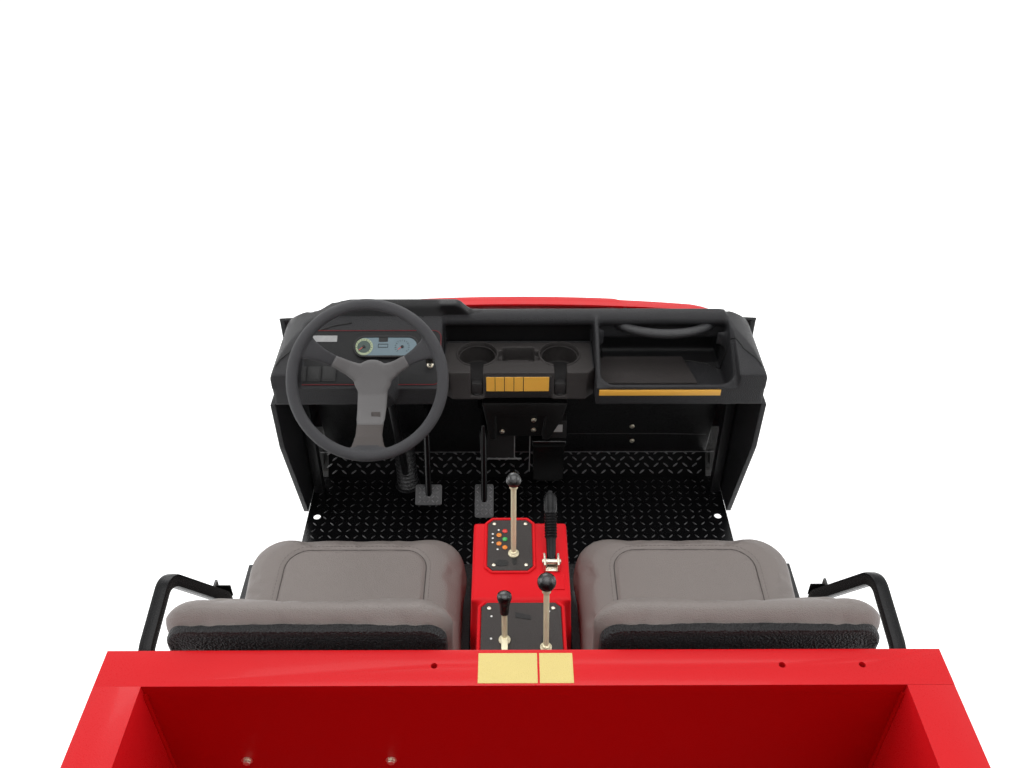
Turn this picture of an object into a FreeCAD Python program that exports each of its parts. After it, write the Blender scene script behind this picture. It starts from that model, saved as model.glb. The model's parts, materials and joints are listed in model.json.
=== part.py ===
import FreeCAD, Part
import math
import os

# Two-seat utility vehicle with a tipping cargo bed.
# Frame: forward is -Y, the driver's left is +X, up is +Z, the floor is z = 0,
# and the origin is the middle of the overall length and width on the floor.

# Driving dimensions of the whole vehicle
overall_length = 3310.0
overall_width = 1600.0
wheelbase = 1780.0
front_overhang = 420.0
front_track = 1170.0
rear_track = 1210.0
front_tyre_radius = 254.0
front_tyre_width = 229.0
rear_tyre_radius = 305.0
rear_tyre_width = 305.0
floor_height = 400.0
seat_height = 800.0
dash_height = 1098.0
bed_floor_height = 790.0
bed_rim_height = 1100.0

# Clearances shared by many pieces
running_gap = 0.05
seat_gap = 0.3
swing_gap = 5.0
overrun = 10.0

# Stations along the vehicle that the driving dimensions give
front_end = -overall_length / 2
rear_end = overall_length / 2
front_axle_y = front_end + front_overhang
rear_axle_y = front_axle_y + wheelbase
half_width = overall_width / 2


def vec(x, y, z):
    return FreeCAD.Vector(x, y, z)


def box(x0, x1, y0, y1, z0, z1):
    return Part.makeBox(x1 - x0, y1 - y0, z1 - z0, vec(x0, y0, z0))


def bar(radius, start, end):
    axis = end.sub(start)
    return Part.makeCylinder(radius, axis.Length, start, axis)


def side_plate(outline, x0, x1):
    """Plate whose (y, z) outline is seen from the side."""
    points = [vec(x0, y, z) for y, z in outline]
    face = Part.Face(Part.makePolygon(points + points[:1]))
    return face.extrude(vec(x1 - x0, 0, 0))


def cross_plate(outline, y0, y1):
    """Plate whose (x, z) outline is seen from the front."""
    points = [vec(x, y0, z) for x, z in outline]
    face = Part.Face(Part.makePolygon(points + points[:1]))
    return face.extrude(vec(0, y1 - y0, 0))


def deck_plate(outline, z0, z1):
    """Plate whose (x, y) outline is seen from above."""
    points = [vec(x, y, z0) for x, y in outline]
    face = Part.Face(Part.makePolygon(points + points[:1]))
    return face.extrude(vec(0, 0, z1 - z0))


def band(line, thickness):
    """Outline of a strip that lies on the left-hand side of an open line of points."""
    offset = []
    for index, point in enumerate(line):
        before = line[max(index - 1, 0)]
        after = line[min(index + 1, len(line) - 1)]
        run_in = (point[0] - before[0], point[1] - before[1])
        run_out = (after[0] - point[0], after[1] - point[1])
        if index == 0:
            run_in = run_out
        if index == len(line) - 1:
            run_out = run_in
        length_in = math.hypot(*run_in)
        length_out = math.hypot(*run_out)
        normal_in = (-run_in[1] / length_in, run_in[0] / length_in)
        normal_out = (-run_out[1] / length_out, run_out[0] / length_out)
        mitre = (normal_in[0] + normal_out[0], normal_in[1] + normal_out[1])
        share = 2 / (mitre[0] ** 2 + mitre[1] ** 2)
        offset.append((point[0] + mitre[0] * share * thickness, point[1] + mitre[1] * share * thickness))
    return list(line) + offset[::-1]


def bent_tube(route, radius, bend):
    """Round bar on straight runs joined by tangent arcs of one bend radius."""
    pieces = []
    start = route[0]
    for before, corner, after in zip(route, route[1:], route[2:]):
        run_in = corner.sub(before).normalize()
        run_out = after.sub(corner).normalize()
        turn = run_in.getAngle(run_out)
        tangent = bend * math.tan(turn / 2)
        arc_start = corner - run_in * tangent
        arc_end = corner + run_out * tangent
        normal = run_in.cross(run_out).normalize()
        centre = arc_start + normal.cross(run_in) * bend
        disc = Part.Face(Part.Wire(Part.makeCircle(radius, arc_start, run_in)))
        pieces.append(bar(radius, start, arc_start))
        pieces.append(disc.revolve(centre, normal, math.degrees(turn)))
        start = arc_end
    pieces.append(bar(radius, start, route[-1]))
    return fused(pieces)


def mirrored(shape):
    return shape.mirror(vec(0, 0, 0), vec(1, 0, 0))


def fused(shapes):
    result = shapes[0]
    for shape in shapes[1:]:
        result = result.fuse(shape)
    return result.removeSplitter()


def save(node, *shapes):
    solids = [solid for shape in shapes for solid in shape.Solids]
    Part.makeCompound(solids).exportStep(f"parts/{node}.step")


# Frame: lower rails under the cab, upper rails over the rear axle
rail_centre = 290.0
rail_width = 50.0
rail_depth = 75.0
rail_front_inset = 90.0
floor_thickness = 5.0
rail_lap_ahead = 345.0
rail_lap = 80.0
rail_rise = 110.0
rear_rail_end_ahead = 145.0

rail_inner = rail_centre - rail_width / 2
rail_outer = rail_centre + rail_width / 2
front_rail_top = floor_height - floor_thickness
front_rail_bottom = front_rail_top - rail_depth
rear_rail_bottom = front_rail_bottom + rail_rise
rear_rail_top = rear_rail_bottom + rail_depth
front_rail_start = front_end + rail_front_inset
front_rail_end = rear_axle_y - rail_lap_ahead
rear_rail_start = front_rail_end - rail_lap
rear_rail_end = rear_end - rear_rail_end_ahead


def frame_rails():
    rails = []
    for x0, x1 in ((rail_inner, rail_outer), (-rail_outer, -rail_inner)):
        rails.append(box(x0, x1, front_rail_start, front_rail_end, front_rail_bottom, front_rail_top))
        rails.append(box(x0, x1, rear_rail_start, rear_rail_end, rear_rail_bottom, rear_rail_top))
    save("frame_rails", *rails)


# Cross members between the rails, blocks where the rails lap, and posts for the bed
member_depth = 60.0
member_width = 50.0
front_member_shares = (0.0, 0.36, 0.66, 0.97)
rear_member_shares = (0.06, 0.27, 0.45, 0.985)
subframe_length = 110.0
subframe_drop = 120.0
post_length = 45.0
rest_post_ahead = 190.0
pad_gap = 0.5
beam_depth = 60.0
bed_sheet = 4.0
fender_bar_depth = 30.0
fender_bar_drop = 40.0
fender_plate = 8.0
bed_hinge_ahead = 255.0
bed_hinge_drop = 100.0
fork_plate = 10.0
fork_length = 80.0
fork_floor_height = 115.0
fork_rim = 25.0
hinge_pin_radius = 15.0
hitch_width = 70.0
hitch_height = 70.0
hitch_bore = 50.0
hitch_length = 170.0
lift_foot_width = 20.0
lift_foot_length = 46.0
lift_centre = 150.0
lift_pin_radius = 10.0
lift_barrel_radius = 30.0
lift_eye_width = 28.0
lift_base_ahead = 375.0
lift_base_rise = 25.0

rear_member_run = rear_rail_end - rear_rail_start - member_width
third_member_end = rear_rail_start + rear_member_shares[2] * rear_member_run + member_width
bed_sheet_bottom = bed_floor_height - bed_sheet
beam_bottom = bed_sheet_bottom - beam_depth
bed_hinge_y = rear_end - bed_hinge_ahead
bed_hinge_z = bed_floor_height - bed_hinge_drop
lift_base_y = rear_end - lift_base_ahead
lift_base_z = rear_rail_bottom + lift_base_rise


def bed_posts():
    posts = []
    bar_top = beam_bottom - fender_bar_drop
    bar_bottom = bar_top - fender_bar_depth
    plate_bottom = min(bar_bottom, rear_fender_top)
    plate_top = max(bar_top, rear_fender_top + rear_fender_sheet)
    plate_x = rear_fender_inner - fender_plate
    for y0 in (bed_wall_y + rest_post_ahead / 2, rear_axle_y + rest_post_ahead):
        post = box(rail_inner, rail_outer, y0, y0 + post_length, rear_rail_top, beam_bottom - pad_gap)
        arm = box(rail_inner, rear_fender_inner, y0, y0 + post_length, bar_bottom, bar_top)
        plate = box(plate_x, rear_fender_inner, y0, y0 + post_length, plate_bottom, plate_top)
        posts.append(fused([post, arm, plate]))
    return posts


def bed_hinge_fork():
    inner = rail_inner - swing_gap - fork_plate
    outer = rail_outer + swing_gap + fork_plate
    y0 = bed_hinge_y - fork_length / 2
    y1 = bed_hinge_y + fork_length / 2
    z1 = bed_hinge_z + fork_rim
    block = box(inner, outer, y0, y1, rear_rail_top, rear_rail_top + fork_floor_height)
    plates = [box(inner, inner + fork_plate, y0, y1, rear_rail_top, z1),
              box(outer - fork_plate, outer, y0, y1, rear_rail_top, z1)]
    pin = bar(hinge_pin_radius, vec(inner, bed_hinge_y, bed_hinge_z), vec(outer, bed_hinge_y, bed_hinge_z))
    return fused([block, pin] + plates)


def lift_foot():
    """Ears on the last cross member but one that hold a lift cylinder's base pin."""
    ears = []
    for side in (-1, 1):
        near = lift_centre + side * (lift_eye_width / 2 + seat_gap)
        far = near + side * lift_foot_width
        ears.append(box(min(near, far), max(near, far), lift_base_y - lift_foot_length / 2,
                        lift_base_y + lift_foot_length / 2, rear_rail_bottom,
                        lift_base_z + lift_foot_length / 2))
    reach = lift_eye_width / 2 + seat_gap + lift_foot_width
    pin = bar(lift_pin_radius, vec(lift_centre - reach, lift_base_y, lift_base_z),
              vec(lift_centre + reach, lift_base_y, lift_base_z))
    return ears + [pin]


def frame_crossmembers():
    pieces = []
    front_run = front_rail_end - front_rail_start - member_width
    for share in front_member_shares:
        y0 = front_rail_start + share * front_run
        pieces.append(box(-rail_inner, rail_inner, y0, y0 + member_width,
                          front_rail_bottom, front_rail_bottom + member_depth))
    for share in rear_member_shares[:-1]:
        y0 = rear_rail_start + share * rear_member_run
        pieces.append(box(-rail_inner, rail_inner, y0, y0 + member_width,
                          rear_rail_bottom, rear_rail_bottom + member_depth))
    tail_y = rear_rail_start + rear_member_shares[-1] * rear_member_run
    tail = box(-rail_inner, rail_inner, tail_y, tail_y + member_width,
               rear_rail_bottom, rear_rail_bottom + member_depth)
    hitch = box(-hitch_width / 2, hitch_width / 2, tail_y - hitch_length + member_width,
                tail_y + member_width, rear_rail_bottom - hitch_height, rear_rail_bottom)
    socket = box(-hitch_bore / 2, hitch_bore / 2, tail_y - hitch_length, tail_y + member_width + overrun,
                 rear_rail_bottom - (hitch_height + hitch_bore) / 2,
                 rear_rail_bottom - (hitch_height - hitch_bore) / 2)
    pieces.append(fused([tail, hitch]).cut(socket))
    lift_beam = box(-rail_inner, rail_inner, lift_base_y - member_width / 2, lift_base_y + member_width / 2,
                    rear_rail_bottom - member_depth / 2, rear_rail_bottom)
    feet = lift_foot()
    pieces.append(fused([lift_beam] + feet + [mirrored(piece) for piece in feet]))
    subframe = box(-rail_outer, rail_outer, front_axle_y - subframe_length / 2,
                   front_axle_y + subframe_length / 2, front_rail_bottom - subframe_drop, front_rail_bottom)
    pieces.append(subframe)
    lap_inset = (rail_lap - member_width) / 2
    lap_block = box(rail_inner, rail_outer, rear_rail_start + lap_inset, front_rail_end - lap_inset,
                    front_rail_top, rear_rail_bottom)
    for piece in [lap_block, bed_hinge_fork()] + bed_posts():
        pieces += [piece, mirrored(piece)]
    save("frame_crossmembers", *pieces)


# Front bumper: one bent tube on two stays from the rails
bumper_radius = 22.5
bumper_height = 412.0
bumper_half = 430.0
bumper_return = 85.0
bumper_bend = 60.0
bumper_stay_width = 40.0
bumper_stay_depth = 30.0


def front_bumper():
    y0 = front_end + bumper_radius
    route = [vec(-bumper_half, y0 + bumper_return, bumper_height), vec(-bumper_half, y0, bumper_height),
             vec(bumper_half, y0, bumper_height), vec(bumper_half, y0 + bumper_return, bumper_height)]
    pieces = [bent_tube(route, bumper_radius, bumper_bend)]
    lower = bent_tube([point - vec(0, 0, rail_depth + bumper_stay_width) for point in route],
                      bumper_radius, bumper_bend)
    pieces.append(lower)
    for x0 in (rail_centre - bumper_stay_width / 2, -rail_centre - bumper_stay_width / 2):
        pieces.append(box(x0, x0 + bumper_stay_width, y0, y0 + bumper_stay_depth,
                          front_rail_bottom, bumper_height))
        pieces.append(box(x0, x0 + bumper_stay_width, y0, front_rail_start,
                          front_rail_bottom, front_rail_top))
    save("front_bumper", fused(pieces))


# Floor plate with the toe board bent up at its front
floor_half_width = 626.0
toe_back = 327.0
toe_top_half_width = 590.0
toe_rise = 60.0
toe_run = 53.0
floor_rear_back = 1350.0
floor_hole_radius = 11.0
floor_hole_inset = 28.0
floor_hole_back = 498.0

toe_y = front_axle_y + toe_back
toe_top_y = toe_y - toe_run
toe_top_z = floor_height + toe_rise
floor_rear_y = front_axle_y + floor_rear_back
toe_outline = band([(toe_y, front_rail_top), (toe_top_y, toe_top_z - floor_thickness)], -floor_thickness)
toe_corner_y, toe_corner_z = toe_outline[2]


def floor_plate():
    half = floor_half_width
    sheet = deck_plate([(-half, toe_y), (half, toe_y), (half, floor_rear_y), (-half, floor_rear_y)],
                       front_rail_top, floor_height)
    toe = side_plate(toe_outline, -toe_top_half_width, toe_top_half_width)
    floor = fused([sheet, toe])
    for side in (-1, 1):
        x = side * (floor_half_width - floor_hole_inset)
        y = front_axle_y + floor_hole_back
        floor = floor.cut(bar(floor_hole_radius, vec(x, y, front_rail_top - overrun),
                              vec(x, y, floor_height + overrun)))
    save("floor_plate", floor)


# Firewall above the toe board, with the square posts that carry the dashboard
firewall_sheet = 5.0
firewall_top = 900.0
firewall_top_back = 365.0
post_size = 28.0
post_centre = 606.0
post_back = 387.0
dash_bottom = 905.0


def firewall():
    wall_line = [(toe_corner_y, toe_corner_z), (front_axle_y + firewall_top_back, firewall_top)]
    wall = side_plate(band(wall_line, firewall_sheet), -toe_top_half_width, toe_top_half_width)
    y0 = front_axle_y + post_back
    post = box(post_centre - post_size / 2, post_centre + post_size / 2, y0 - post_size / 2,
               y0 + post_size / 2, floor_height, dash_bottom)
    save("firewall", wall, post, mirrored(post))


# Dashboard: one moulding across the cab with ears, a glovebox bin and a centre recess
dash_half = 612.0
ear_width = 70.0
dash_lip_back = 632.0
dash_face_back = 628.0
dash_face_low = 935.0
dash_lip_high = 990.0
ridge_back = 470.0
ridge_height = 1090.0
dash_crest_back = 430.0
dash_front_back = 372.0
dash_front_high = 985.0
ear_high = 1032.0
recess_half = 193.0
recess_front_back = 440.0
recess_floor = 918.0
bin_outer = 535.0
bin_wall = 12.0
bin_floor = 932.0
bin_front_back = 388.0
bin_roof = 1012.0
brow_back = 447.0
hump_inner = 160.0
hump_outer = 480.0
hump_rise = 30.0
column_hole_gap = 4.0

dash_lip_y = front_axle_y + dash_lip_back
dash_face_y = front_axle_y + dash_face_back
ridge_y = front_axle_y + ridge_back
dash_crest_y = front_axle_y + dash_crest_back
dash_front_y = front_axle_y + dash_front_back
recess_front_y = front_axle_y + recess_front_back
brow_y = front_axle_y + brow_back
bin_front_y = front_axle_y + bin_front_back


def dashboard():
    profile = [(dash_face_y, dash_face_low), (dash_lip_y, dash_lip_high), (ridge_y, ridge_height),
               (dash_crest_y, dash_height), (dash_crest_y, dash_front_high),
               (dash_front_y, dash_front_high), (dash_front_y, dash_bottom)]
    inner = dash_half - ear_width
    body = side_plate(profile, -inner, inner)
    ear_profile = [(dash_face_y, dash_face_low), (dash_lip_y, dash_lip_high), (dash_lip_y, ear_high),
                   (ridge_y, dash_height), (dash_crest_y, dash_height), (dash_front_y, dash_front_high),
                   (dash_front_y, dash_bottom)]
    left_ear = side_plate(ear_profile, inner, dash_half)
    hump_profile = [(ridge_y, ridge_height), (ridge_y - hump_rise / 2, ridge_height + hump_rise),
                    (dash_crest_y, dash_height + hump_rise), (dash_crest_y, dash_height)]
    hump = side_plate(hump_profile, hump_inner, hump_outer)
    dash = fused([body, left_ear, mirrored(left_ear), hump])
    tall = dash_height + hump_rise + overrun
    recess = box(-recess_half, recess_half, recess_front_y, dash_lip_y + overrun, recess_floor, tall)
    bin_cut = side_plate([(dash_lip_y - bin_wall, tall), (dash_lip_y - bin_wall, bin_floor),
                          (bin_front_y, bin_floor), (bin_front_y, bin_roof), (brow_y, bin_roof),
                          (brow_y, tall)], -bin_outer, -recess_half - bin_wall)
    shaft_end = column_joint - wheel_axis * (overrun + column_radius)
    shaft = bar(column_radius + column_hole_gap, wheel_centre, shaft_end)
    save("dashboard", dash.cut(recess).cut(bin_cut).cut(shaft))


# Cup holder panel in the centre recess
cup_radius = 50.0
cup_depth = 62.0
cup_centre = 106.0
cup_y_back = 500.0
shelf_height = 1000.0
panel_lip_back = 586.0
panel_top_back = 580.0
pocket_half = 40.0
pocket_depth = 45.0
pocket_length = 60.0


def cup_holder_panel():
    half = recess_half
    outline = [(recess_front_y, recess_floor), (front_axle_y + panel_lip_back, recess_floor),
               (front_axle_y + panel_top_back, shelf_height), (recess_front_y, shelf_height)]
    panel = side_plate(outline, -half, half)
    cup_y = front_axle_y + cup_y_back
    for side in (-1, 1):
        panel = panel.cut(bar(cup_radius, vec(side * cup_centre, cup_y, shelf_height - cup_depth),
                              vec(side * cup_centre, cup_y, shelf_height + overrun)))
    pocket = box(-pocket_half, pocket_half, cup_y - pocket_length / 2, cup_y + pocket_length / 2,
                 shelf_height - pocket_depth, shelf_height + overrun)
    save("cup_holder_panel", panel.cut(pocket))


# Instrument cluster on the sloping face, and the grab handle in front of the passenger
cluster_inner = 250.0
cluster_outer = 414.0
cluster_thickness = 12.0
cluster_shares = (0.27, 0.58)
handle_inner = 265.0
handle_outer = 495.0
handle_radius = 12.0
handle_stand = 42.0
handle_drop = 30.0
handle_bend = 20.0


def instrument_cluster():
    run = (dash_lip_y - ridge_y, dash_lip_high - ridge_height)
    low, high = [(ridge_y + run[0] * share, ridge_height + run[1] * share) for share in cluster_shares]
    outline = band([high, low], -cluster_thickness)
    save("instrument_cluster", side_plate(outline, cluster_inner, cluster_outer))


def grab_handle():
    z = ridge_height - handle_drop
    y0 = brow_y + handle_radius / 2
    route = [vec(-handle_inner, brow_y, z), vec(-handle_inner, y0 + handle_stand, z),
             vec(-handle_outer, y0 + handle_stand, z), vec(-handle_outer, brow_y, z)]
    save("grab_handle", bent_tube(route, handle_radius, handle_bend))


# Front fenders: side skins down to the floor, decks beside the hood and wheel arches
fender_skin = 14.0
fender_sheet = 6.0
hood_half = 530.0
hood_side_gap = 8.0
arch_inner = 400.0
arch_outer = 690.0
arch_clear = 30.0
deck_top_rear = 1022.0
deck_top_front = 560.0
deck_front_ahead = 345.0
kink_back = 580.0
kink_height = 748.0
tip_back = 478.0
skirt_front_back = 345.0
panel_top_height = 900.0
arch_front_height = 440.0

fender_outer = floor_half_width + fender_skin
deck_front_y = front_axle_y - deck_front_ahead
arch_top = 2 * front_tyre_radius + arch_clear


def front_fender():
    shoulder_y = front_axle_y + skirt_front_back
    arch_line = [(shoulder_y, floor_height), (shoulder_y - arch_clear, floor_height + 2 * arch_clear),
                 (front_axle_y + front_tyre_radius, arch_top), (front_axle_y - front_tyre_radius, arch_top),
                 (deck_front_y, arch_front_height)]
    skin_outline = arch_line + [(deck_front_y, deck_top_front), (dash_front_y - swing_gap, deck_top_rear),
                                (dash_front_y - swing_gap, panel_top_height),
                                (front_axle_y + kink_back + swing_gap, panel_top_height),
                                (front_axle_y + kink_back, kink_height),
                                (front_axle_y + tip_back, floor_height)]
    skin = side_plate(skin_outline, floor_half_width, fender_outer)
    deck_line = [(deck_front_y, deck_top_front), (dash_front_y - swing_gap, deck_top_rear)]
    deck = side_plate(band(deck_line, -fender_sheet), hood_half + hood_side_gap, fender_outer)
    nose_point = (deck_front_y + fender_sheet, arch_front_height + fender_sheet)
    arch = side_plate(band(arch_line[2:-1] + [nose_point], -fender_sheet), arch_inner, arch_outer)
    return fused([skin, deck, arch])


def front_fenders():
    left = front_fender()
    save("front_fenders", left, mirrored(left))


# Hood: a crowned shell hinged at its rear edge
hood_sheet = 5.0
hood_rear_ahead = 45.0
hood_front_ahead = 365.0
hood_rear_height = 1085.0
hood_slope_share = 0.509
hood_curve_drop = 124.0
hood_front_half = 522.0
hood_crown = 25.0
hood_lip = 60.0
hood_sections = 6
hood_across_shares = (-1.0, -0.75, -0.4, 0.0, 0.4, 0.75, 1.0)
hood_hinge_centre = 300.0
hood_hinge_drop = 30.0
hood_hinge_ahead = 7.0
hood_lug_radius = 11.0
hood_lug_width = 24.0
hood_pin_radius = 6.0
hood_bracket_plate = 8.0

hood_rear_y = dash_crest_y - hood_rear_ahead + swing_gap
hood_front_y = front_axle_y - hood_front_ahead
hood_hinge_y = hood_rear_y - hood_hinge_ahead
hood_hinge_z = hood_rear_height - hood_hinge_drop


def hood_crest(share):
    run = hood_rear_y - hood_front_y
    return hood_rear_height - hood_slope_share * run * share - hood_curve_drop * share ** 2


def hood_section(share, lowered):
    y = hood_rear_y + (hood_front_y - hood_rear_y) * share
    half = hood_half + (hood_front_half - hood_half) * share - lowered
    crest = hood_crest(share) - lowered
    top = [vec(half * place, y, crest - hood_crown * place ** 2) for place in hood_across_shares]
    bottom_z = crest - hood_crown - hood_lip + lowered
    return Part.makePolygon(top + [vec(half, y, bottom_z), vec(-half, y, bottom_z), top[0]])


def hood():
    shares = [index / hood_sections for index in range(hood_sections + 1)]
    outer = Part.makeLoft([hood_section(share, 0) for share in shares], True, True)
    inner = Part.makeLoft([hood_section(share, hood_sheet) for share in shares], True, True)
    shell = outer.cut(inner)
    pieces = [shell]
    for side in (-1, 1):
        x0 = side * hood_hinge_centre - hood_lug_width / 2
        x1 = x0 + hood_lug_width
        lug = bar(hood_lug_radius, vec(x0, hood_hinge_y, hood_hinge_z), vec(x1, hood_hinge_y, hood_hinge_z))
        web = box(x0, x1, hood_hinge_y - hood_lug_radius, hood_hinge_y, hood_hinge_z,
                  hood_crest(0) - hood_crown * (hood_hinge_centre / hood_half) ** 2 - hood_sheet / 2)
        bore = bar(hood_pin_radius + running_gap, vec(x0 - overrun, hood_hinge_y, hood_hinge_z),
                   vec(x1 + overrun, hood_hinge_y, hood_hinge_z))
        pieces.append(fused([lug, web]).cut(bore))
    save("hood", fused(pieces))


def hood_hinges():
    """Brackets on the dashboard's front shelf with the pins that the hood's lugs turn on."""
    hinges = []
    for side in (-1, 1):
        centre = side * hood_hinge_centre
        reach = hood_lug_width / 2 + tie_gap
        pieces = [bar(hood_pin_radius, vec(centre - reach, hood_hinge_y, hood_hinge_z),
                      vec(centre + reach, hood_hinge_y, hood_hinge_z))]
        for turn in (-1, 1):
            near = centre + turn * reach
            far = near + turn * hood_bracket_plate
            plate = box(min(near, far), max(near, far), hood_hinge_y - hood_bracket_plate,
                        hood_hinge_y + hood_bracket_plate, dash_front_high, hood_hinge_z + hood_pin_radius)
            pieces.append(plate)
        hinges.append(fused(pieces))
    save("hood_hinges", *hinges)


# Nose panel with a slotted grille that rises inside the hood's front edge, and two lamps
nose_thickness = 20.0
nose_bottom = 440.0
grille_gap = 13.0
grille_side_gap = 16.0
grille_half = 400.0
grille_slot = 12.0
grille_pitch = 22.0
grille_rows = 4
grille_columns = 4
grille_first = 18.0
lamp_centre = 583.0
lamp_height = 500.0
lamp_radius = 42.0
lamp_depth = 14.0


def front_grille():
    y0 = hood_front_y + nose_thickness
    top = hood_crest(1) - hood_crown - hood_lip - seat_gap
    half = fender_outer
    inner = hood_half + hood_side_gap
    middle = hood_front_half - grille_side_gap
    arc = [(middle * place, hood_crest(1) - hood_crown * place ** 2 - hood_sheet - grille_gap)
           for place in hood_across_shares[::-1]]
    outline = [(-half, nose_bottom), (half, nose_bottom), (half, deck_top_front), (inner, deck_top_front),
               (inner, top), (middle, top)] + arc
    outline += [(-middle, top), (-inner, top), (-inner, deck_top_front), (-half, deck_top_front)]
    panel = cross_plate(outline, hood_front_y, y0)
    column = 2 * grille_half / grille_columns
    for row in range(grille_rows):
        z0 = nose_bottom + grille_first + row * grille_pitch
        for index in range(grille_columns):
            x0 = -grille_half + index * column + grille_slot / 2
            panel = panel.cut(box(x0, x0 + column - grille_slot, hood_front_y - overrun, y0 + overrun,
                                  z0, z0 + grille_slot))
    save("front_grille", panel)


def headlamps():
    lamps = []
    for side in (-1, 1):
        lamps.append(bar(lamp_radius, vec(side * lamp_centre, hood_front_y - lamp_depth, lamp_height),
                         vec(side * lamp_centre, hood_front_y, lamp_height)))
    save("headlamps", *lamps)


# Seat platform: a box each side of the console, open to the outside
platform_half = 654.0
platform_inner = 130.0
deck_inner = 113.0
wing_half = 715.0
wing_length = 60.0
platform_sheet = 12.0
platform_front_ahead = 845.0
platform_rear_ahead = 355.0
cushion_depth = 110.0

platform_top = seat_height - cushion_depth - seat_gap
platform_front_y = rear_axle_y - platform_front_ahead
platform_rear_y = rear_axle_y - platform_rear_ahead


def platform_half_box():
    x0 = platform_inner
    x1 = floor_half_width
    y0 = platform_front_y
    y1 = platform_rear_y
    sheet = platform_sheet
    front = box(x0, x1, y0, y0 + sheet, floor_height, platform_top)
    deck = [(deck_inner, y0), (platform_half, y0), (platform_half, y1 - wing_length),
            (wing_half, y1 - wing_length), (wing_half, y1), (deck_inner, y1)]
    top = deck_plate(deck, platform_top - sheet, platform_top)
    inner = box(x0, x0 + sheet, y0, floor_rear_y, floor_height, platform_top)
    rear = box(x0, x1, floor_rear_y - sheet, floor_rear_y, floor_height, platform_top)
    return fused([front, top, inner, rear])


def seat_platform():
    left = platform_half_box()
    save("seat_platform", left, mirrored(left))


# Seats: cushions and backrests with chamfered edges
seat_centre = 372.0
seat_width = 500.0
cushion_front_ahead = 850.0
cushion_rear_ahead = 430.0
cushion_chamfer = 30.0
back_foot_ahead = 425.0
back_thickness = 66.0
back_lean = 38.0
back_top_height = 1150.0
back_chamfer = 24.0

cushion_front_y = rear_axle_y - cushion_front_ahead
cushion_rear_y = rear_axle_y - cushion_rear_ahead
back_foot_y = rear_axle_y - back_foot_ahead


def seat_cushion():
    z0 = seat_height - cushion_depth
    c = cushion_chamfer
    outline = [(cushion_front_y + c, z0), (cushion_front_y, z0 + c), (cushion_front_y, seat_height - c),
               (cushion_front_y + c, seat_height), (cushion_rear_y, seat_height), (cushion_rear_y, z0)]
    return side_plate(outline, seat_centre - seat_width / 2, seat_centre + seat_width / 2)


def seat_back():
    c = back_chamfer
    y0 = back_foot_y
    y1 = back_foot_y + back_lean
    z0 = platform_top + seat_gap
    outline = [(y0, z0), (y0 + back_thickness, z0),
               (y1 + back_thickness, back_top_height - c), (y1 + back_thickness - c, back_top_height),
               (y1 + c, back_top_height), (y1, back_top_height - c)]
    return side_plate(outline, seat_centre - seat_width / 2, seat_centre + seat_width / 2)


def seats():
    cushion = seat_cushion()
    back = seat_back()
    save("seat_cushion_left", cushion)
    save("seat_cushion_right", mirrored(cushion))
    save("seat_back_left", back)
    save("seat_back_right", mirrored(back))


# Hip rails outside the seats, and the belt buckles beside the console
hip_radius = 14.0
hip_outer = 695.0
hip_inner = 637.0
hip_rear_top = 968.0
hip_front_ahead = 637.0
hip_rear_ahead = 375.0
hip_bend_ahead = 541.0
hip_top = 1000.0
hip_low = 822.0
hip_bend = 40.0
buckle_x = 115.0
buckle_width = 12.0
buckle_length = 44.0
buckle_top = 860.0
buckle_ahead = 420.0


def hip_rails():
    rear_y = rear_axle_y - hip_rear_ahead
    bend_y = rear_axle_y - hip_bend_ahead
    front_y = rear_axle_y - hip_front_ahead
    route = [vec(hip_outer, rear_y, platform_top), vec(hip_outer, rear_y, hip_rear_top),
             vec(hip_outer, bend_y, hip_top), vec(hip_inner, front_y, hip_low),
             vec(hip_inner, front_y, platform_top)]
    left = bent_tube(route, hip_radius, hip_bend)
    save("hip_rails", left, mirrored(left))


def belt_buckles():
    buckles = []
    y0 = rear_axle_y - buckle_ahead
    for side in (-1, 1):
        x0 = side * buckle_x - buckle_width / 2
        buckles.append(box(x0, x0 + buckle_width, y0, y0 + buckle_length, platform_top, buckle_top))
    save("belt_buckles", *buckles)


# Centre console: a tapered red cover with a step, and the plates on it
console_base_half = 124.0
console_top_half = 104.0
console_rear_half = 88.0
console_front_ahead = 830.0
console_step_ahead = 585.0
console_rear_ahead = 370.0
console_front_lean = 25.0
console_top = 876.0
console_rear_drop = 8.0
plate_sheet = 3.0
front_plate_half = 49.0
front_plate_x = 23.0
front_plate_front_ahead = 808.0
front_plate_rear_ahead = 662.0
rear_plate_half = 82.0
rear_plate_front_ahead = 582.0
rear_plate_rear_ahead = 415.0
plate_cut = 12.0

console_front_y = rear_axle_y - console_front_ahead
console_step_y = rear_axle_y - console_step_ahead
console_rear_y = rear_axle_y - console_rear_ahead


def tapered_block(half_base, half_top, y_base, y_top, y_end, z0, z1):
    """Block whose sides and front lean inwards towards its top."""
    wires = []
    for half, y, z in ((half_base, y_base, z0), (half_top, y_top, z1)):
        corners = [vec(-half, y, z), vec(half, y, z), vec(half, y_end, z), vec(-half, y_end, z)]
        wires.append(Part.makePolygon(corners + corners[:1]))
    return Part.makeLoft(wires, True, True)


def centre_console():
    front = tapered_block(console_base_half, console_top_half, console_front_y,
                          console_front_y + console_front_lean, console_step_y, floor_height, console_top)
    rear = tapered_block(console_base_half, console_rear_half, console_step_y,
                         console_step_y, console_rear_y, floor_height, console_top - console_rear_drop)
    save("centre_console", fused([front, rear]))


def clipped_plate(x, half, y0, y1, z):
    c = plate_cut
    outline = [(x - half + c, y0), (x + half - c, y0), (x + half, y0 + c), (x + half, y1 - c),
               (x + half - c, y1), (x - half + c, y1), (x - half, y1 - c), (x - half, y0 + c)]
    return deck_plate(outline, z, z + plate_sheet)


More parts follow.
